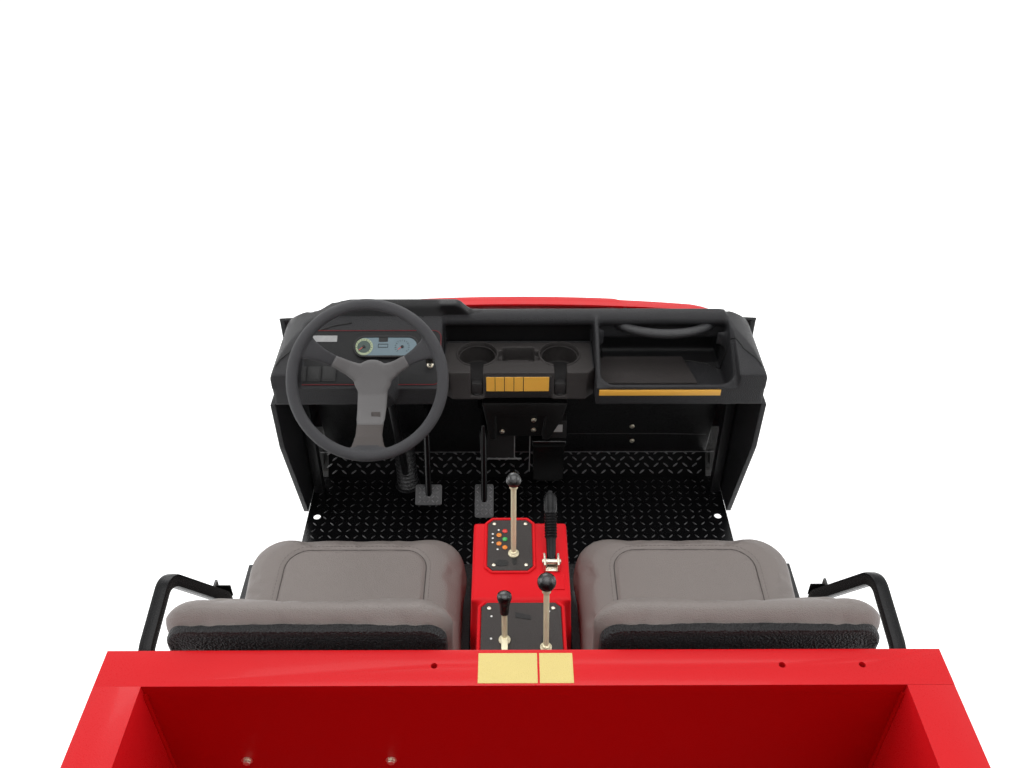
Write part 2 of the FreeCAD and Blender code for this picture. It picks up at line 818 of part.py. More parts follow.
def control_plates():
    front = clipped_plate(front_plate_x, front_plate_half, rear_axle_y - front_plate_front_ahead,
                          rear_axle_y - front_plate_rear_ahead, console_top)
    rear = clipped_plate(0, rear_plate_half, rear_axle_y - rear_plate_front_ahead,
                         rear_axle_y - rear_plate_rear_ahead, console_top - console_rear_drop)
    save("control_plates", front, rear)


# Hand levers, each standing on its plate or on the console
lever_radius = 6.0
gear_x = 15.0
gear_ahead = 708.0
gear_tip_ahead = 741.0
gear_rise = 190.0
gear_knob = 17.0
brake_x = -66.0
brake_ahead = 675.0
brake_bracket = 34.0
brake_bracket_height = 24.0
brake_tip_ahead = 810.0
brake_rise = 84.0
brake_grip = 15.0
brake_grip_share = 0.35
aux_x = 34.0
aux_ahead = 488.0
aux_tip_ahead = 515.0
aux_rise = 108.0
aux_knob = 15.0
aux_knob_length = 45.0
ball_x = -48.0
ball_ahead = 470.0
ball_tip_ahead = 522.0
ball_rise = 136.0
ball_radius = 19.0


def lever(x, ahead, tip_ahead, z0, rise):
    foot = vec(x, rear_axle_y - ahead, z0)
    tip = vec(x, rear_axle_y - tip_ahead, z0 + rise)
    return foot, tip


def console_levers():
    plate_z = console_top + plate_sheet
    rear_plate_z = plate_z - console_rear_drop
    foot, tip = lever(gear_x, gear_ahead, gear_tip_ahead, plate_z, gear_rise)
    gear = fused([bar(lever_radius, foot + vec(0, 0, lever_radius), tip), Part.makeSphere(gear_knob, tip),
                  Part.makeCylinder(2 * lever_radius, 2 * lever_radius, foot)])
    foot, tip = lever(brake_x, brake_ahead, brake_tip_ahead, console_top, brake_rise)
    bracket = box(brake_x - brake_bracket / 2, brake_x + brake_bracket / 2, foot.y - brake_bracket / 2,
                  foot.y + brake_bracket / 2, console_top, console_top + brake_bracket_height)
    start = foot + vec(0, 0, lever_radius + plate_sheet)
    grip_start = start + (tip - start) * brake_grip_share
    brake = fused([bracket, bar(lever_radius, start, tip), bar(brake_grip, grip_start, tip)])
    foot, tip = lever(aux_x, aux_ahead, aux_tip_ahead, rear_plate_z, aux_rise)
    knob_start = tip - (tip - foot).normalize() * aux_knob_length
    aux = fused([bar(lever_radius, foot + vec(0, 0, lever_radius), tip),
                 Part.makeCylinder(2 * lever_radius, 2 * lever_radius, foot),
                 Part.makeCone(lever_radius, aux_knob, aux_knob_length, knob_start, tip - foot)])
    foot, tip = lever(ball_x, ball_ahead, ball_tip_ahead, rear_plate_z, ball_rise)
    ball = fused([bar(lever_radius, foot + vec(0, 0, lever_radius), tip), Part.makeSphere(ball_radius, tip),
                  Part.makeCylinder(2 * lever_radius, 2 * lever_radius, foot)])
    save("console_levers", gear, brake, aux, ball)


# Pedals: pads on arms that hang from the firewall
pedal_arm = 9.0
pedal_plate = 8.0
pedal_back = 530.0
brake_pedal_x = 256.0
brake_pedal_height = 520.0
brake_pedal_width = 74.0
brake_pedal_length = 58.0
throttle_x = 97.0
throttle_height = 495.0
throttle_width = 52.0
throttle_length = 95.0
pedal_pivot_height = 700.0
pedal_tilt = 35.0


def firewall_face_y(z):
    share = (z - toe_corner_z) / (firewall_top - toe_corner_z)
    return toe_corner_y + (front_axle_y + firewall_top_back - toe_corner_y) * share


def pedal(x, height, width, length):
    y = front_axle_y + pedal_back
    pad = box(x - width / 2, x + width / 2, y - length / 2, y + length / 2, -pedal_plate / 2, pedal_plate / 2)
    pad.translate(vec(0, 0, height))
    pad.rotate(vec(x, y, height), vec(1, 0, 0), -pedal_tilt)
    knee = vec(x, y - length, pedal_pivot_height)
    wall = vec(x, firewall_face_y(pedal_pivot_height + pedal_arm) + pedal_arm, pedal_pivot_height)
    arm = fused([bar(pedal_arm, vec(x, y, height), knee), Part.makeSphere(pedal_arm, knee),
                 bar(pedal_arm, knee, wall)])
    block = box(x - 2 * pedal_arm, x + 2 * pedal_arm, firewall_face_y(pedal_pivot_height + pedal_arm),
                wall.y + pedal_arm, pedal_pivot_height - pedal_arm, pedal_pivot_height + pedal_arm)
    return fused([pad, arm, block])


def pedals():
    brake = pedal(brake_pedal_x, brake_pedal_height, brake_pedal_width, brake_pedal_length)
    throttle = pedal(throttle_x, throttle_height, throttle_width, throttle_length)
    save("pedals", brake, throttle)


# Steering wheel and column
wheel_radius = 186.5
wheel_tube = 14.0
wheel_x = 347.0
wheel_back = 765.0
wheel_height = 1120.0
wheel_tilt = 38.0
hub_radius = 34.0
hub_depth = 105.0
hub_front = 72.0
spoke_width = 34.0
lower_spoke_width = 70.0
spoke_thickness = 14.0
spokes = ((62.0, spoke_width), (180.0, lower_spoke_width), (298.0, spoke_width))
column_radius = 24.0
column_length = 340.0
column_gap = 0.3
boot_radius = 31.0
boot_height = 200.0
boot_top_share = 0.8
boot_x = 338.0
boot_back = 362.0
lower_shaft_radius = 12.0

wheel_centre = vec(wheel_x, front_axle_y + wheel_back, wheel_height)
wheel_axis = vec(0, math.cos(math.radians(wheel_tilt)), math.sin(math.radians(wheel_tilt)))
column_joint = wheel_centre - wheel_axis * column_length


def placed_on_wheel(shape):
    """Local +Z becomes the wheel's axis towards the driver, local -Y becomes twelve o'clock."""
    turned = shape.copy()
    turned.rotate(vec(0, 0, 0), vec(1, 0, 0), wheel_tilt - 90)
    turned.translate(wheel_centre)
    return turned


def steering_wheel():
    rim_centre = wheel_radius - wheel_tube
    rim = Part.makeTorus(rim_centre, wheel_tube)
    hub = Part.makeCylinder(hub_radius, hub_depth - hub_front, vec(0, 0, -hub_depth))
    pieces = [rim, hub]
    for angle, width in spokes:
        outline = [(0, -hub_front - spoke_thickness), (0, -hub_front), (-hub_radius, -hub_front),
                   (-rim_centre, spoke_thickness / 2), (-rim_centre, -spoke_thickness / 2),
                   (-hub_radius, -hub_front - spoke_thickness)]
        spoke = side_plate(outline, -width / 2, width / 2)
        spoke.rotate(vec(0, 0, 0), vec(0, 0, 1), angle)
        pieces.append(spoke)
    save("steering_wheel", placed_on_wheel(fused(pieces)))


def steering_column():
    top = wheel_centre - wheel_axis * (hub_depth + column_gap)
    upper = bar(column_radius, top, column_joint)
    elbow = Part.makeSphere(column_radius, column_joint)
    foot = vec(boot_x, front_axle_y + boot_back, floor_height)
    lower = bar(lower_shaft_radius, column_joint, foot + (column_joint - foot).normalize() * boot_radius)
    boot = Part.makeCone(boot_radius, boot_radius * boot_top_share, boot_height, foot, vec(0, 0, 1))
    save("steering_column", fused([upper, elbow, lower, boot]))


# Engine block and transaxle, in plain solids at their real places
engine_half = 180.0
engine_front_ahead = 340.0
engine_rear_ahead = 30.0
engine_head_room = 66.0


def engine_block():
    block = box(-engine_half, engine_half, rear_axle_y - engine_front_ahead, rear_axle_y - engine_rear_ahead,
                rear_rail_bottom + member_depth, bed_sheet_bottom - member_width / 2 - engine_head_room)
    save("engine_block", block)


# Rear axle with spindles and leaf springs
axle_radius = 40.0
axle_housing_half = 435.0
diff_radius = 110.0
diff_half = 90.0
rear_spindle_radius = 25.0
rear_spindle_end = 655.0
spring_centre = 370.0
spring_width = 55.0
spring_thickness = 22.0
spring_half_length = 300.0
spring_rise = 70.0


def rear_axle():
    z = rear_tyre_radius
    parts = []
    for radius, half in ((axle_radius, axle_housing_half), (diff_radius, diff_half),
                         (rear_spindle_radius, rear_spindle_end)):
        parts.append(bar(radius, vec(-half, rear_axle_y, z), vec(half, rear_axle_y, z)))
    for side in (-1, 1):
        x0 = side * spring_centre - spring_width / 2
        base = z + axle_radius - spring_thickness / 2
        spring = side_plate(band([(rear_axle_y - spring_half_length, base + spring_rise), (rear_axle_y, base),
                                  (rear_axle_y + spring_half_length, base + spring_rise)], spring_thickness),
                            x0, x0 + spring_width)
        parts.append(spring)
        for end in (-1, 1):
            y = rear_axle_y + end * (spring_half_length - spring_thickness)
            inner = min(side * rail_outer, side * (spring_centre + spring_width / 2))
            outer = max(side * rail_outer, side * (spring_centre + spring_width / 2))
            parts.append(box(inner, outer, y - spring_thickness, y + spring_thickness,
                             base + spring_rise / 2, rear_rail_bottom + member_depth))
    save("rear_axle", fused(parts))


# Front suspension: arms, dampers and the rack housing
kingpin_x = 465.0
arm_bar = 11.0
arm_seat = 14.0
ball_housing = 18.0
arm_spread = 70.0
damper_radius = 24.0
damper_top_height = 470.0
damper_tower = 30.0
rack_radius = 20.0
rack_rod_radius = 9.0
rack_back = 85.0
rack_height = 270.0
rack_half = 200.0
knuckle_half_height = 59.0
ball_stub = 11.0
damper_lean_share = 0.6

subframe_bottom = front_rail_bottom - subframe_drop


def front_arm(side, z, inboard_x, housing_z0, housing_z1):
    ball = Part.makeCylinder(ball_housing, housing_z1 - housing_z0,
                             vec(side * kingpin_x, front_axle_y, housing_z0))
    pieces = [ball]
    for end in (-1, 1):
        pieces.append(bar(arm_bar, vec(side * inboard_x, front_axle_y + end * arm_spread, z),
                          vec(side * (kingpin_x - arm_seat), front_axle_y + end * arm_bar / 2,
                              (housing_z0 + housing_z1) / 2)))
    return pieces


def front_suspension():
    pieces = []
    axle_z = front_tyre_radius
    stub_top = axle_z + knuckle_half_height + ball_stub
    stub_bottom = axle_z - knuckle_half_height - ball_stub
    for side in (-1, 1):
        lower = front_arm(side, subframe_bottom + arm_bar * 2, rail_outer - arm_bar,
                          stub_bottom - 2 * arm_bar - seat_gap, stub_bottom - seat_gap)
        upper = front_arm(side, front_rail_bottom + rail_depth / 3, rail_outer + arm_bar / 2,
                          stub_top + seat_gap, stub_top + 2 * arm_bar + seat_gap)
        tower = box(min(side * rail_outer, side * (rail_outer + damper_tower)),
                    max(side * rail_outer, side * (rail_outer + damper_tower)),
                    front_axle_y - damper_tower, front_axle_y + damper_tower,
                    front_rail_bottom + rail_depth / 2, damper_top_height)
        damper = bar(damper_radius,
                     vec(side * (rail_outer + damper_tower * damper_lean_share), front_axle_y,
                         damper_top_height - damper_radius),
                     vec(side * (kingpin_x - damper_tower * 2), front_axle_y, stub_bottom))
        subframe = box(-rail_outer, rail_outer, front_axle_y - subframe_length / 2,
                       front_axle_y + subframe_length / 2, subframe_bottom, front_rail_bottom)
        rails = box(-rail_outer, rail_outer, front_axle_y - rail_depth * 2,
                    front_axle_y + rail_depth * 2, front_rail_bottom, front_rail_top)
        pieces.append(fused(lower + upper + [tower, damper]).cut(subframe).cut(rails))
    rack_y = front_axle_y + rack_back
    housing = bar(rack_radius, vec(-rack_half, rack_y, rack_height), vec(rack_half, rack_y, rack_height))
    lug = box(-rack_radius, rack_radius, front_axle_y + subframe_length / 2, rack_y,
              rack_height - rack_radius / 2, rack_height + rack_radius / 2)
    bore = bar(rack_rod_radius + running_gap, vec(-rack_half - overrun, rack_y, rack_height),
               vec(rack_half + overrun, rack_y, rack_height))
    pieces.append(fused([housing, lug]).cut(bore))
    save("front_suspension", *pieces)


# Steering knuckles and the tie rod
knuckle_thickness = 34.0
knuckle_depth = 50.0
front_spindle_radius = 20.0
front_spindle_end = 640.0
steer_arm_width = 20.0
steer_arm_depth = 16.0
tie_gap = 1.0
tie_eye_radius = 12.0


def knuckle():
    z = front_tyre_radius
    x = kingpin_x
    upright = box(x - knuckle_thickness / 2, x + knuckle_thickness / 2, front_axle_y - knuckle_depth / 2,
                  front_axle_y + knuckle_depth / 2, z - knuckle_half_height, z + knuckle_half_height)
    stubs = bar(ball_stub, vec(x, front_axle_y, z - knuckle_half_height - ball_stub),
                vec(x, front_axle_y, z + knuckle_half_height + ball_stub))
    spindle = bar(front_spindle_radius, vec(x, front_axle_y, z), vec(front_spindle_end, front_axle_y, z))
    arm_top = rack_height - rack_rod_radius - tie_gap
    arm = box(x - steer_arm_width / 2, x + steer_arm_width / 2, front_axle_y, front_axle_y + rack_back,
              arm_top - steer_arm_depth, arm_top)
    arm_end = Part.makeCylinder(tie_eye_radius, steer_arm_depth,
                                vec(x, front_axle_y + rack_back, arm_top - steer_arm_depth))
    return fused([upright, stubs, spindle, arm, arm_end])


def knuckles():
    left = knuckle()
    save("knuckle_left", left)
    save("knuckle_right", mirrored(left))


def tie_rod():
    y = front_axle_y + rack_back
    rod = bar(rack_rod_radius, vec(-kingpin_x, y, rack_height), vec(kingpin_x, y, rack_height))
    eyes = [Part.makeCylinder(tie_eye_radius, 2 * rack_rod_radius,
                              vec(side * kingpin_x, y, rack_height - rack_rod_radius)) for side in (-1, 1)]
    save("tie_rod", fused([rod] + eyes))


# Wheels: rims with a dished disc, and tyres with flat facets under the tread
facets = 24
front_rim_radius = 127.0
front_rim_width = 200.0
rear_rim_radius = 152.4
rear_rim_width = 250.0
rim_sheet = 5.0
rim_flange = 9.0
disc_thickness = 10.0
disc_offset = 20.0
front_hub_radius = 42.0
rear_hub_radius = 55.0
hub_half = 35.0
tread_share = 0.86
shoulder_share = 0.93
sidewall_share = 0.72
bead_share = 0.79
lug_height = 12.0
lug_length_share = 0.36
lug_inner_share = 0.34
lug_outer_share = 0.97
lug_outer_radius_share = 0.9
lug_root_share = 0.85
centre_lug_share = 0.4


def rim(centre, axle_y, axle_z, radius, width, hub, bore):
    start = vec(centre - width / 2, axle_y, axle_z)
    axis = vec(1, 0, 0)
    barrel = Part.makeCylinder(radius, width, start, axis)
    barrel = barrel.cut(Part.makeCylinder(radius - rim_sheet, width, start, axis))
    disc_x = centre + disc_offset
    disc = Part.makeCylinder(radius - rim_sheet / 2, disc_thickness, vec(disc_x, axle_y, axle_z), axis)
    boss = Part.makeCylinder(hub, 2 * hub_half, vec(disc_x - hub_half, axle_y, axle_z), axis)
    shaft = Part.makeCylinder(bore, width + 2 * overrun, start - vec(overrun, 0, 0), axis)
    return fused([barrel, disc, boss]).cut(shaft)


def facet_corners(x, axle_y, axle_z, radius):
    """Corners of a regular polygon across the axle, with a flat at the bottom and its flats at the radius."""
    corner = radius / math.cos(math.pi / facets)
    points = []
    for index in range(facets):
        angle = 2 * math.pi * (index + 0.5) / facets
        points.append(vec(x, axle_y + corner * math.sin(angle), axle_z - corner * math.cos(angle)))
    return points


def flat_face(points):
    return Part.Face(Part.makePolygon(points + points[:1]))


def lug(outline, half_length, index, centre, axle_y, axle_z):
    """Block of an (x, radius) outline, standing on one of the tyre's facets."""
    points = [vec(centre + x, axle_y - half_length, axle_z - r) for x, r in outline]
    block = flat_face(points).extrude(vec(0, 2 * half_length, 0))
    block.rotate(vec(centre, axle_y, axle_z), vec(1, 0, 0), 360 * index / facets)
    return block


def tyre(centre, axle_y, radius, width, bead_radius):
    half = width / 2
    carcass = radius - lug_height
    widest = bead_radius + (radius - bead_radius) * sidewall_share
    left = [(-half * bead_share, bead_radius + rim_flange), (-half, widest),
            (-half * shoulder_share, carcass * shoulder_share), (-half * tread_share, carcass)]
    steps = left + [(-x, r) for x, r in left[::-1]]
    rings = [facet_corners(centre + x, axle_y, radius, r) for x, r in steps]
    faces = [flat_face(rings[0]), flat_face(rings[-1])]
    for near, far in zip(rings, rings[1:]):
        for index in range(facets):
            after = (index + 1) % facets
            faces.append(flat_face([near[index], near[after], far[after], far[index]]))
    body = Part.Solid(Part.Shell(faces))
    if body.Volume < 0:
        body.reverse()
    outer = [(-half * lug_outer_share, radius * lug_outer_radius_share), (-half * tread_share, radius),
             (-half * lug_inner_share, radius), (-half * lug_inner_share, carcass - lug_height),
             (-half * tread_share, radius * lug_root_share)]
    middle = half * centre_lug_share
    inner = [(-middle, radius), (middle, radius), (middle, carcass - lug_height), (-middle, carcass - lug_height)]
    half_length = lug_length_share * 2 * carcass * math.tan(math.pi / facets)
    lugs = []
    for index in range(0, facets, 2):
        for side in (1, -1):
            mirrored_outline = [(side * x, r) for x, r in outer]
            lugs.append(lug(mirrored_outline, half_length, index, centre, axle_y, radius))
        lugs.append(lug(inner, half_length, index + 1, centre, axle_y, radius))
    hole = flat_face(facet_corners(centre - width, axle_y, radius, bead_radius)).extrude(vec(2 * width, 0, 0))
    return fused([body.cut(hole)] + lugs)


def wheels():
    front_x = front_track / 2
    rear_x = rear_track / 2
    front_rim = rim(front_x, front_axle_y, front_tyre_radius, front_rim_radius, front_rim_width,
                    front_hub_radius, front_spindle_radius + running_gap)
    rear_rim = rim(rear_x, rear_axle_y, rear_tyre_radius, rear_rim_radius, rear_rim_width,
                   rear_hub_radius, rear_spindle_radius + running_gap)
    front_tyre = tyre(front_x, front_axle_y, front_tyre_radius, front_tyre_width, front_rim_radius)
    rear_tyre = tyre(rear_x, rear_axle_y, rear_tyre_radius, rear_tyre_width, rear_rim_radius)
    for name, shape in (("front_rim", front_rim), ("rear_rim", rear_rim),
                        ("front_tyre", front_tyre), ("rear_tyre", rear_tyre)):
        save(f"{name}_left", shape)
        save(f"{name}_right", mirrored(shape))


# Fuel tank under the passenger seat, muffler and tail lamps
tank_inner = 345.0
tank_outer = 600.0
tank_head_room = 77.7
tank_inset = 60.0
muffler_radius = 60.0
muffler_half = 190.0
muffler_share = 0.5
muffler_rise = 30.0
tail_lamp_width = 60.0
tail_lamp_height = 90.0
tail_lamp_depth = 16.0
tail_bar_width = 30.0
tail_arm_plate = 8.0
tail_lamp_centre = 480.0
tail_lamp_ahead = 190.0


def fuel_tank():
    tank = box(-tank_outer, -tank_inner, platform_front_y + tank_inset, floor_rear_y - tank_inset,
               floor_height, platform_top - platform_sheet - tank_head_room)
    save("fuel_tank", tank)


def muffler():
    lift_beam_front = lift_base_y - member_width / 2
    y = third_member_end + muffler_share * (lift_beam_front - third_member_end)
    z = rear_rail_bottom + muffler_rise
    can = bar(muffler_radius, vec(-muffler_half, y, z), vec(muffler_half, y, z))
    half = tail_bar_width / 2
    link = box(-rail_inner, rail_inner, y - half, y + half, z - half, z + half)
    save("muffler", fused([can, link]))


def tail_lamps():
    lamps = []
    y1 = rear_end - tail_lamp_ahead + tail_lamp_depth
    y0 = y1 - tail_lamp_depth
    z0 = rear_rail_bottom
    for side in (-1, 1):
        x0 = side * tail_lamp_centre - tail_lamp_width / 2
        lamp = box(x0, x0 + tail_lamp_width, y0, y1, z0, z0 + tail_lamp_height)
        inner = min(side * rail_outer, side * tail_lamp_centre)
        outer = max(side * rail_outer, side * tail_lamp_centre)
        arm = box(inner, outer, y0 - tail_arm_plate, y0, z0, z0 + tail_bar_width)
        lamps.append(fused([lamp, arm]))
    save("tail_lamps", *lamps)


# Rear fenders: bands over the rear tyres, hung on the bed posts' arms
rear_fender_inner = 440.0
rear_fender_sheet = 6.0
rear_fender_rise_share = 0.2273
rear_fender_knee_share = 1.5
rear_fender_flat = 215.0
rear_fender_slope = 125.0
rear_fender_low = 330.0

room_over_tyre = bed_sheet_bottom - 2 * rear_tyre_radius
rear_fender_top = 2 * rear_tyre_radius + rear_fender_rise_share * room_over_tyre


def rear_fenders():
    line = []
    reach = rear_fender_flat + rear_fender_slope
    for end in (1, -1):
        points = [(rear_axle_y + end * reach, rear_fender_low),
                  (rear_axle_y + end * reach, rear_tyre_radius * rear_fender_knee_share),
                  (rear_axle_y + end * rear_fender_flat, rear_fender_top)]
        line += points if end == 1 else points[::-1]
    left = side_plate(band(line, -rear_fender_sheet), rear_fender_inner, half_width)
    save("rear_fenders", left, mirrored(left))


# Cargo bed
bed_half = 622.5
bed_wall = 27.5
bed_front_wall = 30.0
bed_wall_ahead = 230.0
flange_depth = 69.0
flange_height = 30.0
flange_out = 700.0
bed_member_shares = (0.0, 0.5, 1.0)
tail_clear = 38.0
flange_hole_radius = 5.5
flange_hole_places = (149.0, -428.0, -561.0)
flange_hole_ahead = 38.0
ear_width_bed = 20.0
ear_half_length = 30.0
lift_ear_ahead = 505.0
lift_ear_drop = 85.0

bed_wall_y = rear_axle_y - bed_wall_ahead
lift_ear_y = rear_end - lift_ear_ahead
lift_ear_z = bed_floor_height - lift_ear_drop
tailgate_sheet = 30.0
tailgate_gap = 5.0
tailgate_hinge_rise = 13.0
tailgate_pin = 8.0
tailgate_pin_length = 22.0
tailgate_top_drop = 10.0

tailgate_hinge_y = rear_end - tailgate_sheet / 2
tailgate_hinge_z = bed_floor_height + tailgate_hinge_rise


def bed_floor():
    sheet = box(-bed_half, bed_half, bed_wall_y, rear_end - tail_clear, bed_sheet_bottom, bed_floor_height)
    pieces = [sheet]
    for side in (-1, 1):
        x0 = side * rail_centre - rail_width / 2
        pieces.append(box(x0, x0 + rail_width, bed_wall_y, rear_end - tail_clear - member_width,
                          beam_bottom, bed_sheet_bottom))
        half = ear_half_length
        outline = [(bed_hinge_y - half, beam_bottom), (bed_hinge_y + half, beam_bottom),
                   (bed_hinge_y + half, bed_hinge_z - half / 2), (bed_hinge_y + half / 2, bed_hinge_z - half),
                   (bed_hinge_y - half / 2, bed_hinge_z - half), (bed_hinge_y - half, bed_hinge_z - half / 2)]
        centre = side * rail_centre
        ear = side_plate(outline, centre - ear_width_bed / 2, centre + ear_width_bed / 2)
        bore = bar(hinge_pin_radius + running_gap, vec(centre - rail_width, bed_hinge_y, bed_hinge_z),
                   vec(centre + rail_width, bed_hinge_y, bed_hinge_z))
        pieces.append(ear.cut(bore))
        for turn in (-1, 1):
            near = side * lift_centre + turn * (lift_eye_width / 2 + tie_gap)
            far = near + turn * ear_width_bed / 2
            pieces.append(box(min(near, far), max(near, far), lift_ear_y - half, lift_ear_y + half,
                              lift_ear_z - half / 2, bed_sheet_bottom))
    for share in bed_member_shares:
        y0 = bed_wall_y + share * (rear_end - tail_clear - member_width - bed_wall_y - member_width)
        pieces.append(box(-bed_half, bed_half, y0, y0 + member_width, bed_sheet_bottom - member_width / 2,
                          bed_sheet_bottom))
    save("bed_floor", fused(pieces))


def bed_front_wall_panel():
    wall = box(-bed_half, bed_half, bed_wall_y - bed_front_wall, bed_wall_y, bed_sheet_bottom, bed_rim_height)
    flange = box(-flange_out, flange_out, bed_wall_y - flange_depth, bed_wall_y,
                 bed_rim_height - flange_height, bed_rim_height)
    wall = fused([wall, flange])
    for x in flange_hole_places:
        hole_y = bed_wall_y - flange_hole_ahead
        wall = wall.cut(bar(flange_hole_radius, vec(x, hole_y, bed_rim_height - 2 * flange_height),
                            vec(x, hole_y, bed_rim_height + overrun)))
    save("bed_front_wall", wall)


def bed_side():
    wall = box(bed_half, bed_half + bed_wall, bed_wall_y, rear_end, bed_sheet_bottom, bed_rim_height)
    flange = box(bed_half, flange_out, bed_wall_y, rear_end, bed_rim_height - flange_height, bed_rim_height)
    pin = bar(tailgate_pin, vec(bed_half - tailgate_pin_length, tailgate_hinge_y, tailgate_hinge_z),
              vec(bed_half + bed_wall / 2, tailgate_hinge_y, tailgate_hinge_z))
    return fused([wall, flange, pin])


def tailgate():
    half = bed_half - tailgate_gap
    panel = box(-half, half, rear_end - tailgate_sheet, rear_end, bed_floor_height + swing_gap,
                bed_rim_height - tailgate_top_drop)
    for side in (-1, 1):
        end = side * (half + overrun)
        start = side * (bed_half - tailgate_pin_length - tie_gap)
        panel = panel.cut(bar(tailgate_pin + running_gap, vec(start, tailgate_hinge_y, tailgate_hinge_z),
                              vec(end, tailgate_hinge_y, tailgate_hinge_z)))
    save("tailgate", panel)


def cargo_bed():
    bed_floor()
    bed_front_wall_panel()
    left = bed_side()
    save("bed_side_left", left)
    save("bed_side_right", mirrored(left))
    tailgate()


# Lift cylinders: barrels on the frame's pins, rods up to the bed's ears
lift_rod_radius = 12.0
lift_eye_radius = 20.0
lift_barrel_share = 0.72
lift_rod_start_share = 0.2
lift_neck_radius = 13.0
lift_neck = 44.0


def lift_cylinders():
    barrels = []
    rods = []
    for side in (-1, 1):
        base = vec(side * lift_centre, lift_base_y, lift_base_z)
        eye = vec(side * lift_centre, lift_ear_y, lift_ear_z)
        across = vec(lift_eye_width / 2, 0, 0)
        run = eye - base
        neck_end = base + run.normalize() * lift_neck
        neck = bar(lift_neck_radius, base, neck_end)
        tube = bar(lift_barrel_radius, neck_end, base + (eye - base) * lift_barrel_share)
        boss = bar(lift_eye_radius, base - across, base + across)
        barrel = fused([tube, neck, boss])
        rod_start = base + (eye - base) * lift_rod_start_share
        bore = bar(lift_rod_radius + running_gap, rod_start, eye)
        pin_hole = bar(lift_pin_radius + running_gap, base - across * 2, base + across * 2)
        barrels.append(barrel.cut(bore).cut(pin_hole))
        rod = fused([bar(lift_rod_radius, rod_start, eye), bar(lift_eye_radius, eye - across, eye + across)])
        rods.append(rod)
    save("lift_barrels", *barrels)
    save("lift_rods", *rods)


def build():
    os.makedirs("parts", exist_ok=True)
    frame_rails()
    frame_crossmembers()
    front_bumper()
    floor_plate()
    firewall()
    dashboard()
    cup_holder_panel()
    instrument_cluster()
    grab_handle()
    front_fenders()
    hood()
    hood_hinges()
    front_grille()
    headlamps()
    seat_platform()
    seats()
    hip_rails()
    belt_buckles()
    centre_console()
    control_plates()
    console_levers()
    pedals()
    steering_wheel()
    steering_column()
    engine_block()
    rear_axle()
    front_suspension()
    knuckles()
    tie_rod()
    wheels()
    fuel_tank()
    muffler()
    tail_lamps()
    rear_fenders()
    cargo_bed()
    lift_cylinders()


build()
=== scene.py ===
import bpy
import bmesh
import json
import math
from mathutils import Matrix, Vector
from mathutils.bvhtree import BVHTree


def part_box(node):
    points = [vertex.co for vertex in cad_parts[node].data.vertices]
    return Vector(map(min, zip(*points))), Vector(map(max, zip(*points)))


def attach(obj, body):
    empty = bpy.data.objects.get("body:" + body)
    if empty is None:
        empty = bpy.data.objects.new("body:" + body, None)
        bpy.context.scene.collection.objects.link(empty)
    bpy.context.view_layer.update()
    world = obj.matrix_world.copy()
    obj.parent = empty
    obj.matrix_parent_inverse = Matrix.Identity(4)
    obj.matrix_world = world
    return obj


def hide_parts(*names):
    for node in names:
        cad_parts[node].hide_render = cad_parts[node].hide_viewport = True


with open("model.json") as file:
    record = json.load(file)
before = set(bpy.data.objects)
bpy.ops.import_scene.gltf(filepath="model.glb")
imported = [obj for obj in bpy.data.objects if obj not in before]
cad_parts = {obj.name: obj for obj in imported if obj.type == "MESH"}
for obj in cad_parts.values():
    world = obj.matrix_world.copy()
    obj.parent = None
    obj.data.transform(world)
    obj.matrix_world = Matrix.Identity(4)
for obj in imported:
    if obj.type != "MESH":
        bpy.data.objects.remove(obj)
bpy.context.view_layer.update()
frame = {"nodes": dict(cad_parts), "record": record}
print("frame loaded,", len(frame["nodes"]), "nodes")


# Node helpers

def plug(tree, value, socket):
    # Links another node's output, or sets a plain value.
    if hasattr(value, "is_linked"):
        tree.links.new(value, socket)
    else:
        socket.default_value = value


def mathNode(tree, operation, first, second=None, clamp=False):
    node = tree.nodes.new("ShaderNodeMath")
    node.operation = operation
    node.use_clamp = clamp
    for place, value in enumerate((first, second)):
        if value is not None:
            plug(tree, value, node.inputs[place])
    return node.outputs[0]


def mapRange(tree, value, low, high, toLow=0.0, toHigh=1.0):
    node = tree.nodes.new("ShaderNodeMapRange")
    for label, number in (("Value", value), ("From Min", low), ("From Max", high), ("To Min", toLow),
            ("To Max", toHigh)):
        plug(tree, number, node.inputs[label])
    return node.outputs["Result"]


def mixColor(tree, factor, first, second, blendType="MIX"):
    node = tree.nodes.new("ShaderNodeMix")
    node.data_type = "RGBA"
    node.blend_type = blendType
    for place, value in ((0, factor), (6, first), (7, second)):
        plug(tree, value, node.inputs[place])
    return node.outputs[2]


def noiseNode(tree, vector, scale, detail=3.0, roughness=0.5):
    node = tree.nodes.new("ShaderNodeTexNoise")
    for label, value in (("Vector", vector), ("Detail", detail), ("Roughness", roughness), ("Scale", scale)):
        plug(tree, value, node.inputs[label])
    return node.outputs["Fac"]


def newMaterial(name):
    material = bpy.data.materials.new(name)
    material.use_nodes = True
    return material, material.node_tree, material.node_tree.nodes["Principled BSDF"]


def looseObject(name, data):
    piece = bpy.data.objects.new(name, data)
    bpy.context.scene.collection.objects.link(piece)
    return piece


# Camera, floor and light

